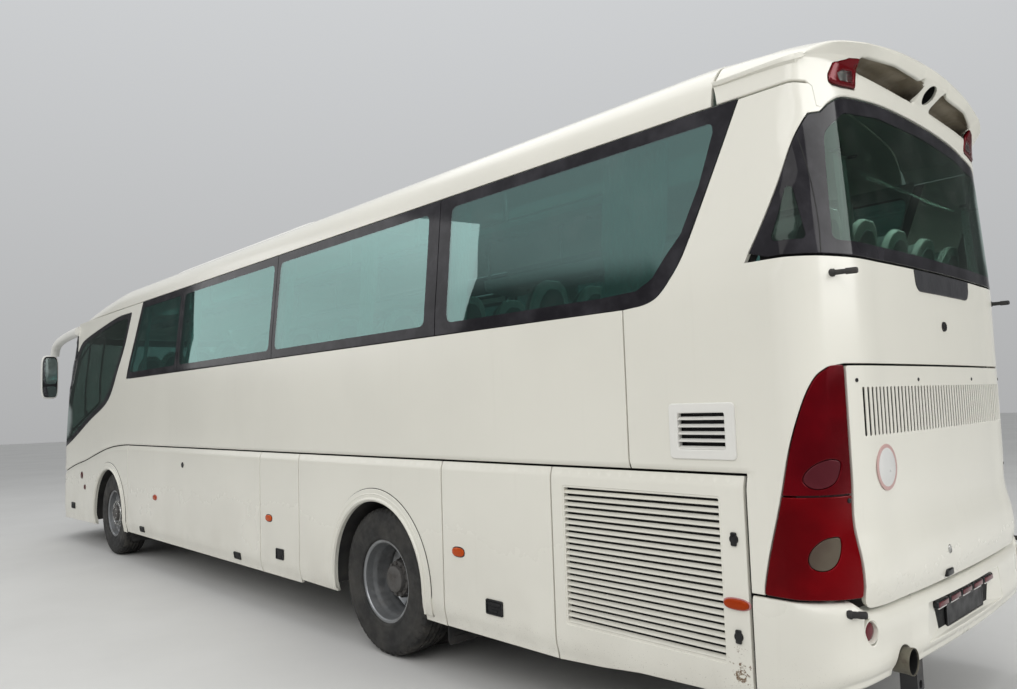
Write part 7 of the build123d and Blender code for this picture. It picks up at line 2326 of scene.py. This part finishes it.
def pillow(verts, faces, voxel=0.006, pressure=4.0, cap_d=0.026, tris=1100, hold=None):
    """Blow a closed form up as sewn cloth, then thin the mesh out."""
    ob = temp(verts, faces)
    m = ob.modifiers.new("voxels", "REMESH")
    m.mode, m.voxel_size = "VOXEL", voxel
    v, f = bake(ob)
    drop_temp(ob)
    ob = temp(v, f)
    if hold is not None:
        g = ob.vertex_groups.new(name="held")
        idx = [int(i) for i in np.nonzero(hold(v))[0]]
        g.add(idx, 1.0, "REPLACE")
    m = ob.modifiers.new("cloth", "CLOTH")
    c = m.settings
    c.quality, c.mass = 5, 0.3
    c.tension_stiffness = c.compression_stiffness = 22.0
    c.shear_stiffness, c.bending_stiffness = 10.0, 2.5
    c.use_pressure, c.uniform_pressure_force = True, pressure
    c.effector_weights.gravity = 0.0
    if hold is not None:
        c.vertex_group_mass, c.pin_stiffness = "held", 1.0
    m.point_cache.frame_start, m.point_cache.frame_end = 1, 20
    sc = bpy.context.scene
    for k in range(1, 21):
        sc.frame_set(k)
    w, _ = bake(ob)
    sc.frame_set(1)
    drop_temp(ob)
    d = w - v
    l = np.linalg.norm(d, axis=1, keepdims=True)
    v = v + d * np.minimum(1.0, cap_d / np.maximum(l, 1e-9))
    ob = temp(v, f)
    m = ob.modifiers.new("thin", "DECIMATE")
    count = sum(len(q) - 2 for q in f)
    m.ratio = min(1.0, tris / 1.0 / count)
    v, f = bake(ob)
    drop_temp(ob)
    return v, f


def cut_box(lo, hi, cuts, shape=None):
    """A box divided into cells, its points moved by shape."""
    n = cuts
    pts, faces, index = [], [], {}

    def at(i, j, k):
        key = (i, j, k)
        if key not in index:
            index[key] = len(pts)
            q = np.array([i / n[0], j / n[1], k / n[2]])
            pts.append(np.asarray(lo) + (np.asarray(hi) - np.asarray(lo)) * q)
        return index[key]
    for i in range(n[0]):
        for j in range(n[1]):
            faces.append([at(i, j, 0), at(i, j + 1, 0), at(i + 1, j + 1, 0), at(i + 1, j, 0)])
            faces.append([at(i, j, n[2]), at(i + 1, j, n[2]), at(i + 1, j + 1, n[2]), at(i, j + 1, n[2])])
    for i in range(n[0]):
        for k in range(n[2]):
            faces.append([at(i, 0, k), at(i + 1, 0, k), at(i + 1, 0, k + 1), at(i, 0, k + 1)])
            faces.append([at(i, n[1], k), at(i, n[1], k + 1), at(i + 1, n[1], k + 1), at(i + 1, n[1], k)])
    for j in range(n[1]):
        for k in range(n[2]):
            faces.append([at(0, j, k), at(0, j, k + 1), at(0, j + 1, k + 1), at(0, j + 1, k)])
            faces.append([at(n[0], j, k), at(n[0], j + 1, k), at(n[0], j + 1, k + 1), at(n[0], j, k + 1)])
    P = np.array(pts)
    return (shape(P) if shape else P), faces


# one seat: x is measured back from the front of the cushion, y from its middle, z from the floor
HALF = 0.196


def back_x(z):
    """Front face of the back's shell at height z over the floor."""
    return np.interp(z, [0.36, 0.45, 0.75, 1.08, 1.16], [-0.500, -0.516, -0.556, -0.600, -0.612])


def arch_w(z, top=1.135, w=HALF):
    """Half width of the back at height z."""
    k = np.clip((z - 0.78) / (top - 0.78), 0, 1)
    taper = 1 - 0.16 * smooth01((z - 0.62) / 0.42)
    return w * taper * np.sqrt(np.clip(1 - k ** 4.5, 0, 1))


def cushion_form(P):
    P = P.copy()
    x, y, z = P[:, 0], P[:, 1], P[:, 2]
    fx = np.clip((x + 0.45) / 0.45, 0, 1)
    P[:, 2] = z + 0.012 * fx - 0.018 * smooth01((fx - 0.86) / 0.14) * (z > 0.40)
    return P


def back_form(P):
    """From (across, up, through) fractions to the padded front of the back."""
    u, w, d = P[:, 0], P[:, 1], P[:, 2]
    z = 0.425 + w * 0.690
    y = u * (arch_w(z, 1.128) - 0.012)
    thick = 0.050 + 0.014 * np.exp(-((z - 0.58) / 0.12) ** 2) + 0.016 * smooth01((z - 0.92) / 0.10)
    x = back_x(z) + 0.004 + d * (thick - 0.012)
    return np.stack([x, y, z], 1)


CUSH_V, CUSH_F = cut_box((-0.452, -HALF + 0.010, 0.345), (-0.012, HALF - 0.010, 0.438), (10, 9, 3), cushion_form)
CUSH = pillow(CUSH_V, CUSH_F, cap_d=0.022, tris=1000)
BV_, BF_ = cut_box((-1, 0, 0), (1, 1, 1), (12, 18, 3), back_form)
BACKP = pillow(BV_, BF_, cap_d=0.022, tris=1200)
Z_FL = 1.380
SEATS = []
for i in range(11):
    x = 1.300 + 0.790 * i
    for ys in ((0.535, 0.945), (-0.535, -0.945)):
        if ys[0] < 0 and (4.04 < x < 5.57 or x > 9.0):
            continue
        SEATS += [(x, y) for y in ys]
BENCH = [(0.380, y) for y in (-0.83, -0.415, 0.0, 0.415, 0.83)]
BENCH_UP = 0.120           # the rear bench stands on a raised floor
DRIVER = [(10.620, 0.660)]


def put_copies(part, form, places, z, mat=0, scale=(1, 1, 1)):
    v, f = form
    for x, y in places:
        q = v * np.asarray(scale)
        up = BENCH_UP if (x, y) in BENCH else 0.0
        part.add(q + np.array([x, y, z + up]), f, mat)


for nm, form, places in (("seat_cushions", CUSH, SEATS + BENCH), ("seat_back_pads", BACKP, SEATS + BENCH)):
    p = Part(nm, "body", [SEATC], "seat_fabric", ("passenger_seats",) if nm == "seat_cushions" else (), angle=180)
    put_copies(p, form, places, Z_FL)
    ob = p.done()


def arch_loop(z0, top, w, n=14):
    """Arch outline in (across, up)."""
    zs = list(np.linspace(z0, 0.78, 4)) + list(0.78 + (top - 0.78) * np.sin(np.linspace(0, math.pi / 2, n))[1:])
    r = [(float(arch_w(z, top, w)), z) for z in zs]
    r = [q for q in r if q[0] > 0.004]
    return [(a, z) for a, z in r] + [(-a, z) for a, z in r[::-1]]


p = Part("seat_shells", "body", [SEATP, SEATC, BLACK, GALV, BLACKG], "seat_fabric")
for x, y in SEATS + BENCH:
    fl_ = Z_FL + (BENCH_UP if (x, y) in BENCH else 0.0)
    sh_ = lambda P, x=x, y=y, fl_=fl_: np.stack([x + back_x(P[:, 1]) - 0.030 - 0.022 * np.clip(1 - (P[:, 0] / HALF) ** 2, 0, 1), y + P[:, 0], fl_ + P[:, 1]], 1)
    panel(p, sh_, -1, arch_loop(0.345, 1.138, HALF, 9), thick=0.036, r=0.010, grid=0.14, step=0.075, mat=0, seg=2)
    inn_ = lambda P, x=x, y=y: sh_(P) + np.array([-0.005, 0, 0])
    panel(p, inn_, -1, arch_loop(0.70, 1.085, HALF * 0.70, 9), thick=0.008, r=0.004, grid=0.14, step=0.07, mat=1, seg=1, back=False)
p.done()
p = Part("seat_frames", "body", [BLACK, GALV, SEATC], "seat_fabric")
rows_ = sorted(set((x, 1 if y > 0 else -1) for x, y in SEATS))
for x, s in rows_:
    for dy in (-0.15, 0.15):
        yc = s * 0.74 + dy
        tube(p, [(x - 0.12, yc, Z_FL + 0.012), (x - 0.18, yc, Z_FL + 0.03), (x - 0.25, yc, Z_FL + 0.20), (x - 0.27, yc, Z_FL + 0.335)], 0.017, 8, 0)
        tube(p, [(x - 0.42, yc, Z_FL + 0.012), (x - 0.36, yc, Z_FL + 0.03), (x - 0.29, yc, Z_FL + 0.20), (x - 0.27, yc, Z_FL + 0.335)], 0.017, 8, 0)
        rbox(p, (x - 0.45, yc - 0.020, Z_FL), (x - 0.09, yc + 0.020, Z_FL + 0.010), 0.003, 1, 1)
    rbox(p, (x - 0.43, s * 0.74 - 0.37, Z_FL + 0.325), (x - 0.06, s * 0.74 + 0.37, Z_FL + 0.345), 0.006, 1, 0)
    for y in (s * 0.312, s * 0.740, s * 1.165):
        tube(p, [(x - 0.50, y, Z_FL + 0.40), (x - 0.49, y, Z_FL + 0.59), (x - 0.46, y, Z_FL + 0.615), (x - 0.20, y, Z_FL + 0.605), (x - 0.17, y, Z_FL + 0.59)], 0.015, 8, 0)
rbox(p, (-0.22, -1.02, Z_FL), (0.37, 1.02, Z_FL + 0.125), 0.008, 2, 2)
rbox(p, (-0.05, -1.010, Z_FL + 0.110), (0.345, 1.010, Z_FL + BENCH_UP + 0.345), 0.010, 2, 2)
p.done()

# driver's seat on its pedestal
p = Part("driver_seat_pads", "body", [SEATC], "seat_fabric", ("driver_seat",), angle=180)
put_copies(p, CUSH, [(10.610, 0.660)], 1.130, scale=(1.0, 1.22, 1.0))
put_copies(p, BACKP, [(10.632, 0.660)], 1.130, scale=(1.0, 1.22, 1.0))
p.done()
p = Part("driver_seat_frame", "body", [BLACK, GALV, RUBBER], "seat_fabric")
rbox(p, (10.16, 0.43, 1.440), (10.60, 0.89, 1.478), 0.012, 3, 0)
for k in range(7):
    rbox(p, (10.24 + 0.004 * (k % 2), 0.55 + 0.004 * (k % 2), 1.19 + 0.035 * k), (10.52 - 0.004 * (k % 2), 0.77 - 0.004 * (k % 2), 1.226 + 0.035 * k), 0.012, 2, 2)
rbox(p, (10.22, 0.52, 1.130), (10.54, 0.80, 1.192), 0.010, 2, 0)
sh_ = lambda P: np.stack([10.632 + back_x(P[:, 1]) - 0.026 - 0.022 * np.clip(1 - (P[:, 0] / 0.24) ** 2, 0, 1), 0.660 + P[:, 0], 1.130 + P[:, 1]], 1)
panel(p, sh_, -1, arch_loop(0.345, 1.138, 0.238, 12), thick=0.030, r=0.010, grid=0.08, step=0.04, mat=0)
p.done()

# ------------------------------------------------------------------ curtains
CURT = [(0.430, 0.880, 0), (2.000, 2.240, 0), (3.090, 3.340, 0), (4.420, 4.570, 0), (4.690, 4.880, 0), (6.480, 6.820, 0),
        (8.060, 8.200, 0), (0.790, 0.940, 1)]        # the last pair hangs at the rear window: |y| from, to
rails = Part("curtain_rails", "body", [GALV, BLACK], "curtain_cloth")
for k, (x0, x1, at_back) in enumerate(CURT):
    for s in (1, -1):
        if s < 0 and 3.9 < x0 < 4.9:
            continue
        w = x1 - x0
        waves = max(3, int(round(w / 0.034)))
        nx, nz = waves * 8 + 1, 15
        u = np.linspace(0, 1, nx)
        amp = 0.0120
        verts, area = [], 0.0
        V = np.zeros((nz, nx, 3))
        for j, t in enumerate(np.linspace(0, 1, nz)):
            z = 3.098 - t * (3.098 - 2.293)
            y0 = 1.114 + t * (1.200 - 1.114)
            pinch = 1.0 - 0.16 * math.exp(-((t - 0.80) / 0.10) ** 2)
            xx = x0 + 0.006 + (u - 0.5) * (w - 0.012) * pinch + (w - 0.012) / 2
            ph = 2 * math.pi * waves * u + 0.5 * math.sin(3.0 * t + 1.3 * k) + 0.35 * np.sin(2 * math.pi * u * 2.0 + k)
            wave = amp * (0.55 + 0.45 * t) * np.sin(ph) * (0.85 + 0.15 * np.cos(5.0 * u + t * 2))
            if at_back:
                z = 2.856 - t * (2.856 - 2.440)
                V[j] = np.stack([-0.3395 - 0.0155 * t + wave * 0.62, s * xx, np.full(nx, z)], 1)
            else:
                V[j] = np.stack([xx, s * (y0 + wave - 0.013), np.full(nx, z)], 1)
        P = V.reshape(-1, 3)
        th = 0.0009
        dx = np.gradient(V, axis=1)
        dz = np.gradient(V, axis=0)
        N = unit(np.cross(dx, dz)).reshape(-1, 3)
        allv = np.vstack([P + N * th / 2, P - N * th / 2])
        faces = []
        o = nz * nx
        for j in range(nz - 1):
            for i in range(nx - 1):
                a, b, c, d = j * nx + i, j * nx + i + 1, (j + 1) * nx + i + 1, (j + 1) * nx + i
                faces.append([a, b, c, d])
                faces.append([o + d, o + c, o + b, o + a])
                e1, e2 = V[j, i + 1] - V[j, i], V[j + 1, i] - V[j, i]
                area += float(np.linalg.norm(np.cross(e1, e2)))
        rim_ = [j * nx for j in range(nz)] + [(nz - 1) * nx + i for i in range(1, nx)] + [j * nx + nx - 1 for j in range(nz - 2, -1, -1)] + \
            [i for i in range(nx - 2, 0, -1)]
        for a, b in zip(rim_, rim_[1:] + rim_[:1]):
            faces.append([a, b, o + b, o + a][::-1])
        p = Part("curtain_%s_%02d" % ("left" if s > 0 else "right", k), "body", [CURTAIN], "curtain_cloth",
                 ("curtains",) if k == 0 and s > 0 else (), angle=180)
        c0 = allv.mean(0)
        vol = 0.0
        for f in faces:
            for q in range(1, len(f) - 1):
                vol += float(np.dot(allv[f[0]] - c0, np.cross(allv[f[q]] - c0, allv[f[q + 1]] - c0)))
        p.add(allv, faces, 0, flip=vol < 0)
        ob = p.done()
for s in (1, -1):
    tube(rails, [(-0.3395, s * 0.775, 2.863), (-0.3395, s * 0.955, 2.863)], 0.0045, 10, 0)
    for y in (0.780, 0.950):
        rbox(rails, (-0.385, s * y - 0.006, 2.859), (-0.336, s * y + 0.006, 2.873), 0.003, 1, 1)
    runs = [(0.40, 8.25)] if s > 0 else [(0.40, 4.05), (4.86, 8.25)]
    for x0, x1 in runs:
        tube(rails, [(x0, s * 1.100, 3.106), (x1, s * 1.100, 3.106)], 0.0055, 10, 0)
        for x in np.arange(x0 + 0.1, x1, 1.1):
            rbox(rails, (x - 0.010, s * 1.094, 3.104), (x + 0.010, s * 1.150, 3.122), 0.003, 1, 1)
rails.done()

# ------------------------------------------------------------------ racks over the seats
p = Part("rack_shelves", "body", [RACKP, GALV, BLACKG, TRIMP], "rack_plastic", ("luggage_racks",))
for s in (1, -1):
    for x0, x1 in ([(0.700, 9.000)] if s > 0 else [(0.700, 4.020), (4.900, 8.700)]):
        sec = [(1.118, 2.862), (0.95, 2.876), (0.800, 2.896), (0.776, 2.905), (0.762, 2.925), (0.760, 3.000), (0.766, 3.009), (0.780, 3.010),
               (0.788, 3.002), (0.789, 2.950), (0.800, 2.940), (0.95, 2.918), (1.114, 2.900)]
        n = len(sec)
        xs_ = np.linspace(x0, x1, 12)
        V = np.array([(x, s * y, z) for x in xs_ for y, z in sec])
        f = []
        for i in range(len(xs_) - 1):
            for k in range(n):
                l = (k + 1) % n
                f.append([i * n + k, i * n + l, (i + 1) * n + l, (i + 1) * n + k])
        f.append(list(range(n))[::-1])
        f.append([(len(xs_) - 1) * n + k for k in range(n)])
        p.add(V, f, 0, flip=s < 0)
        tube(p, [(x0 + 0.02, s * 0.770, 3.030), (x1 - 0.02, s * 0.770, 3.030)], 0.008, 10, 1)
        for x in np.arange(x0 + 0.4, x1 - 0.1, 0.79):     # service panels with two air nozzles each
            rbox(p, (x - 0.13, s * 0.83, 2.868), (x + 0.13, s * 0.98, 2.892), 0.006, 2, 3)
            for dx in (-0.07, 0.07):
                lathe(p, [(0, 0), (0, 0.018), (0.008, 0.016), (0.012, 0.010), (0.012, 0)], (x + dx, s * 0.90, 2.868), (0, 0, -1), 2, 14, closed=False)
        for x in np.arange(math.ceil(x0), x1, 1.0):
            if 1 <= x < 9 and not (s < 0 and (4.0 < x < 4.9 or x > 8.65)):
                rbox(p, (x - 0.012, s * 0.802, 2.935), (x + 0.012, s * 0.828, 3.395), 0.004, 2, 1)
                rbox(p, (x - 0.030, s * 0.795, 3.380), (x + 0.030, s * 0.835, 3.398), 0.003, 1, 1)
p.done()

# ------------------------------------------------------------------ dash
p = Part("dash_board", "body", [DASHP, BLACKG, BLACK, LENS_GREY, ORANGE, CHROME, DISC], "dash_plastic", ("dashboard",))
nu, nv = 41, 31
prof_d = open_curve([(11.155, 1.150), (11.150, 1.350), (11.130, 1.500), (11.165, 1.572), (11.290, 1.632), (11.440, 1.600), (11.560, 1.520), (11.680, 1.395)], 6)
G = np.zeros((nu, nv, 3))
_s2 = np.concatenate([[0], np.cumsum(np.linalg.norm(np.diff(prof_d, axis=0), axis=1))])
for i, y in enumerate(np.linspace(-0.395, 1.120, nu)):
    k = np.linspace(0, _s2[-1], nv)
    px, pz = np.interp(k, _s2, prof_d[:, 0]), np.interp(k, _s2, prof_d[:, 1])
    hood = 0.030 * math.exp(-((y - 0.66) / 0.30) ** 4)
    lim = float(np.interp(abs(y), NY, NX)) - 0.20
    px = np.minimum(px - hood * 0.6 * np.exp(-((pz - 1.56) / 0.10) ** 2), lim)
    pz = pz + hood * np.exp(-((px - 11.22) / 0.10) ** 2) - 0.0
    G[i] = np.stack([px, np.full(nv, y), pz], 1)
dash_s = grid_surf(G, 0.0, 1.0, 0.0, 1.0)
ds = 1 if float(normals_of(dash_s, np.array([[0.5, 0.2]]))[0][0]) < 0 else -1
panel(p, dash_s, ds, fillet([(0.01, 0.01), (0.99, 0.01), (0.99, 0.99), (0.01, 0.99)], 0.02, 3), thick=0.018, r=0.005, grid=0.05, step=0.03)
for y in (0.56, 0.76):
    lathe(p, [(0, 0), (0, 0.062), (0.006, 0.062), (0.008, 0.056), (0.004, 0.054), (0.004, 0)], (11.128, y, 1.470), unit(np.array([-1.0, 0, 0.25])), 5, 36, closed=False)
    lathe(p, [(0.0045, 0.053), (0.0050, 0.050), (0.0050, 0)], (11.128, y, 1.470), unit(np.array([-1.0, 0, 0.25])), 1, 36, closed=False)
for k in range(7):
    rbox(p, (11.130, 0.06 + 0.045 * k, 1.385), (11.146, 0.092 + 0.045 * k, 1.425), 0.004, 2, 2)
p.done()

# ------------------------------------------------------------------ finishes of the CAD's own pieces
for nodes, mat in ((("chassis_rails", "cross_members"), CHASSIS), (("floor_posts",), GALV), (("luggage_bays",), GALV),
                   (("engine_block",), CAST), (("rear_axle", "front_axle"), CAST), (("steering_knuckle_left", "steering_knuckle_right"), CAST),
                   (("front_door_arm", "middle_door_arm"), GALV), (("steering_wheel",), BLACK), (("steering_column",), DASHP),
                   (("entrance_steps",), FLOORC), (("cabin_floor",), FLOORC)):
    for nd in nodes:
        ob = bpy.data.objects.get(nd)
        if ob is not None:
            ob.data.materials.clear()
            ob.data.materials.append(mat)


# ------------------------------------------------------------------ camera, floor and light
def camera():
    cam = bpy.data.cameras.new("camera")
    cam.lens, cam.sensor_width, cam.sensor_fit = 785.0 * 36.0 / 1017.0, 36.0, "HORIZONTAL"
    cam.clip_start, cam.clip_end = 0.05, 300.0
    ob = bpy.data.objects.new("camera", cam)
    COL.objects.link(ob)
    yaw, pitch, roll = (math.radians(a) for a in (-43.068, 4.332, -1.860))
    fwd = Vector((math.cos(yaw) * math.cos(pitch), math.sin(yaw) * math.cos(pitch), math.sin(pitch)))
    right = Vector((math.sin(yaw), -math.cos(yaw), 0))
    up = right.cross(fwd)
    r2 = right * math.cos(roll) + up * math.sin(roll)
    u2 = up * math.cos(roll) - right * math.sin(roll)
    M = Matrix((r2, u2, -fwd)).transposed().to_4x4()
    M.translation = Vector((-7.653, 4.452, 1.760))
    ob.matrix_world = M
    bpy.context.scene.camera = ob


camera()


def floor():
    m = Mat("studio_floor_pale")
    c = m.mix(m.map(m.noise(0.5, 4, 0.6), 0.3, 0.7), (0.62, 0.615, 0.60), (0.58, 0.575, 0.56))
    m.pbr(c, 0.75, 0.0, m.bump(m.noise(260.0, 3, 0.6), 0.12, 0.001), Specular_IOR_Level=0.3)
    me = bpy.data.meshes.new("studio_floor")
    n, r = 96, 60.0
    vs = [(0, 0, -0.0005)] + [(r * math.cos(2 * math.pi * k / n), r * math.sin(2 * math.pi * k / n), -0.0005)
                              for k in range(n)]
    me.from_pydata(vs, [], [[0, 1 + k, 1 + (k + 1) % n] for k in range(n)])
    me.materials.append(m.m)
    ob = bpy.data.objects.new("studio_floor", me)
    COL.objects.link(ob)


floor()


def area(name, loc, target, size, power, color=(1, 1, 1)):
    li = bpy.data.lights.new(name, "AREA")
    li.shape, li.size, li.size_y = "RECTANGLE", size[0], size[1]
    li.energy, li.color = power, color
    ob = bpy.data.objects.new(name, li)
    COL.objects.link(ob)
    ob.location = loc
    ob.rotation_euler = (Vector(target) - Vector(loc)).to_track_quat("-Z", "Y").to_euler()


area("key_light_left", (-7.0, 10.0, 9.0), (0, 0, 1.5), (12.0, 8.0), 620, (1.0, 0.985, 0.96))
area("fill_light_rear", (-15.0, -3.0, 6.0), (-4, 0, 1.5), (8.0, 6.0), 620, (0.985, 0.985, 0.975))
area("top_light", (0.0, 0.0, 13.0), (0, 0, 0), (16.0, 9.0), 520)
area("rim_light_front", (12.0, 9.0, 6.0), (3, 0, 1.5), (8.0, 6.0), 200)
# soft lamps along the cabin ceiling and behind the rear glass
for nm_, x_, w_ in (("cabin_lamp_rear", -4.2, 2.6), ("cabin_lamp_middle", -0.6, 3.6), ("cabin_lamp_front", 3.2, 3.0)):
    area(nm_, (x_, 0.0, 3.30), (x_, 0.0, 1.4), (w_, 0.5), 9, (0.96, 1.0, 0.98))
    bpy.data.objects[nm_].visible_camera = False
area("cabin_lamp_tail", (-6.085, 0.0, 2.84), (-5.90, 0.0, 2.45), (1.3, 0.10), 8, (0.96, 1.0, 0.98))
bpy.data.objects["cabin_lamp_tail"].visible_camera = False

world = bpy.data.worlds.new("studio_world")
world.use_nodes = True
nt = world.node_tree
nt.nodes.clear()
o = nt.nodes.new("ShaderNodeOutputWorld")
bg = nt.nodes.new("ShaderNodeBackground")
tc = nt.nodes.new("ShaderNodeTexCoord")
sep = nt.nodes.new("ShaderNodeSeparateXYZ")
mr = nt.nodes.new("ShaderNodeMapRange")
mx = nt.nodes.new("ShaderNodeMix")
mx.data_type = "RGBA"
nt.links.new(tc.outputs["Generated"], sep.inputs[0])
nt.links.new(sep.outputs[2], mr.inputs[0])
mr.inputs[1].default_value, mr.inputs[2].default_value = -0.05, 0.55
nt.links.new(mr.outputs[0], mx.inputs[0])
mx.inputs[6].default_value = (0.58, 0.585, 0.59, 1)
mx.inputs[7].default_value = (0.90, 0.92, 0.94, 1)


def w_math(op, a, b):
    n = nt.nodes.new("ShaderNodeMath")
    n.operation = op
    for k, v in ((0, a), (1, b)):
        if isinstance(v, (int, float)):
            n.inputs[k].default_value = v
        else:
            nt.links.new(v, n.inputs[k])
    return n.outputs[0]


def w_step(v, lo, hi, a=0.0, b=1.0):
    n = nt.nodes.new("ShaderNodeMapRange")
    n.interpolation_type = "SMOOTHSTEP"
    nt.links.new(v, n.inputs[0])
    for k, q in ((1, lo), (2, hi), (3, a), (4, b)):
        n.inputs[k].default_value = q
    return n.outputs[0]


# dark screens low beside the left side and behind the tail, out of the camera's view, for the glass to mirror
dx_, dy_, dz_ = sep.outputs
side_ = w_math("MULTIPLY", w_math("MULTIPLY", w_step(dy_, 0.02, 0.22), w_step(dx_, 0.02, 0.22)), w_step(dz_, 0.24, 0.34, 1.0, 0.0))
dot_ = w_math("ADD", w_math("ADD", w_math("MULTIPLY", dx_, -0.62), w_math("MULTIPLY", dy_, -0.66)), w_math("MULTIPLY", dz_, 0.42))
back_ = w_step(dot_, 0.62, 0.86)
dark_ = w_math("MULTIPLY", w_math("MAXIMUM", side_, back_), 0.88)
mx2 = nt.nodes.new("ShaderNodeMix")
mx2.data_type = "RGBA"
nt.links.new(dark_, mx2.inputs[0])
nt.links.new(mx.outputs[2], mx2.inputs[6])
mx2.inputs[7].default_value = (0.050, 0.056, 0.052, 1)
nt.links.new(mx2.outputs[2], bg.inputs[0])
bg.inputs[1].default_value = 0.72
nt.links.new(bg.outputs[0], o.inputs[0])
bpy.context.scene.world = world
bpy.context.scene.view_settings.view_transform = "Standard"
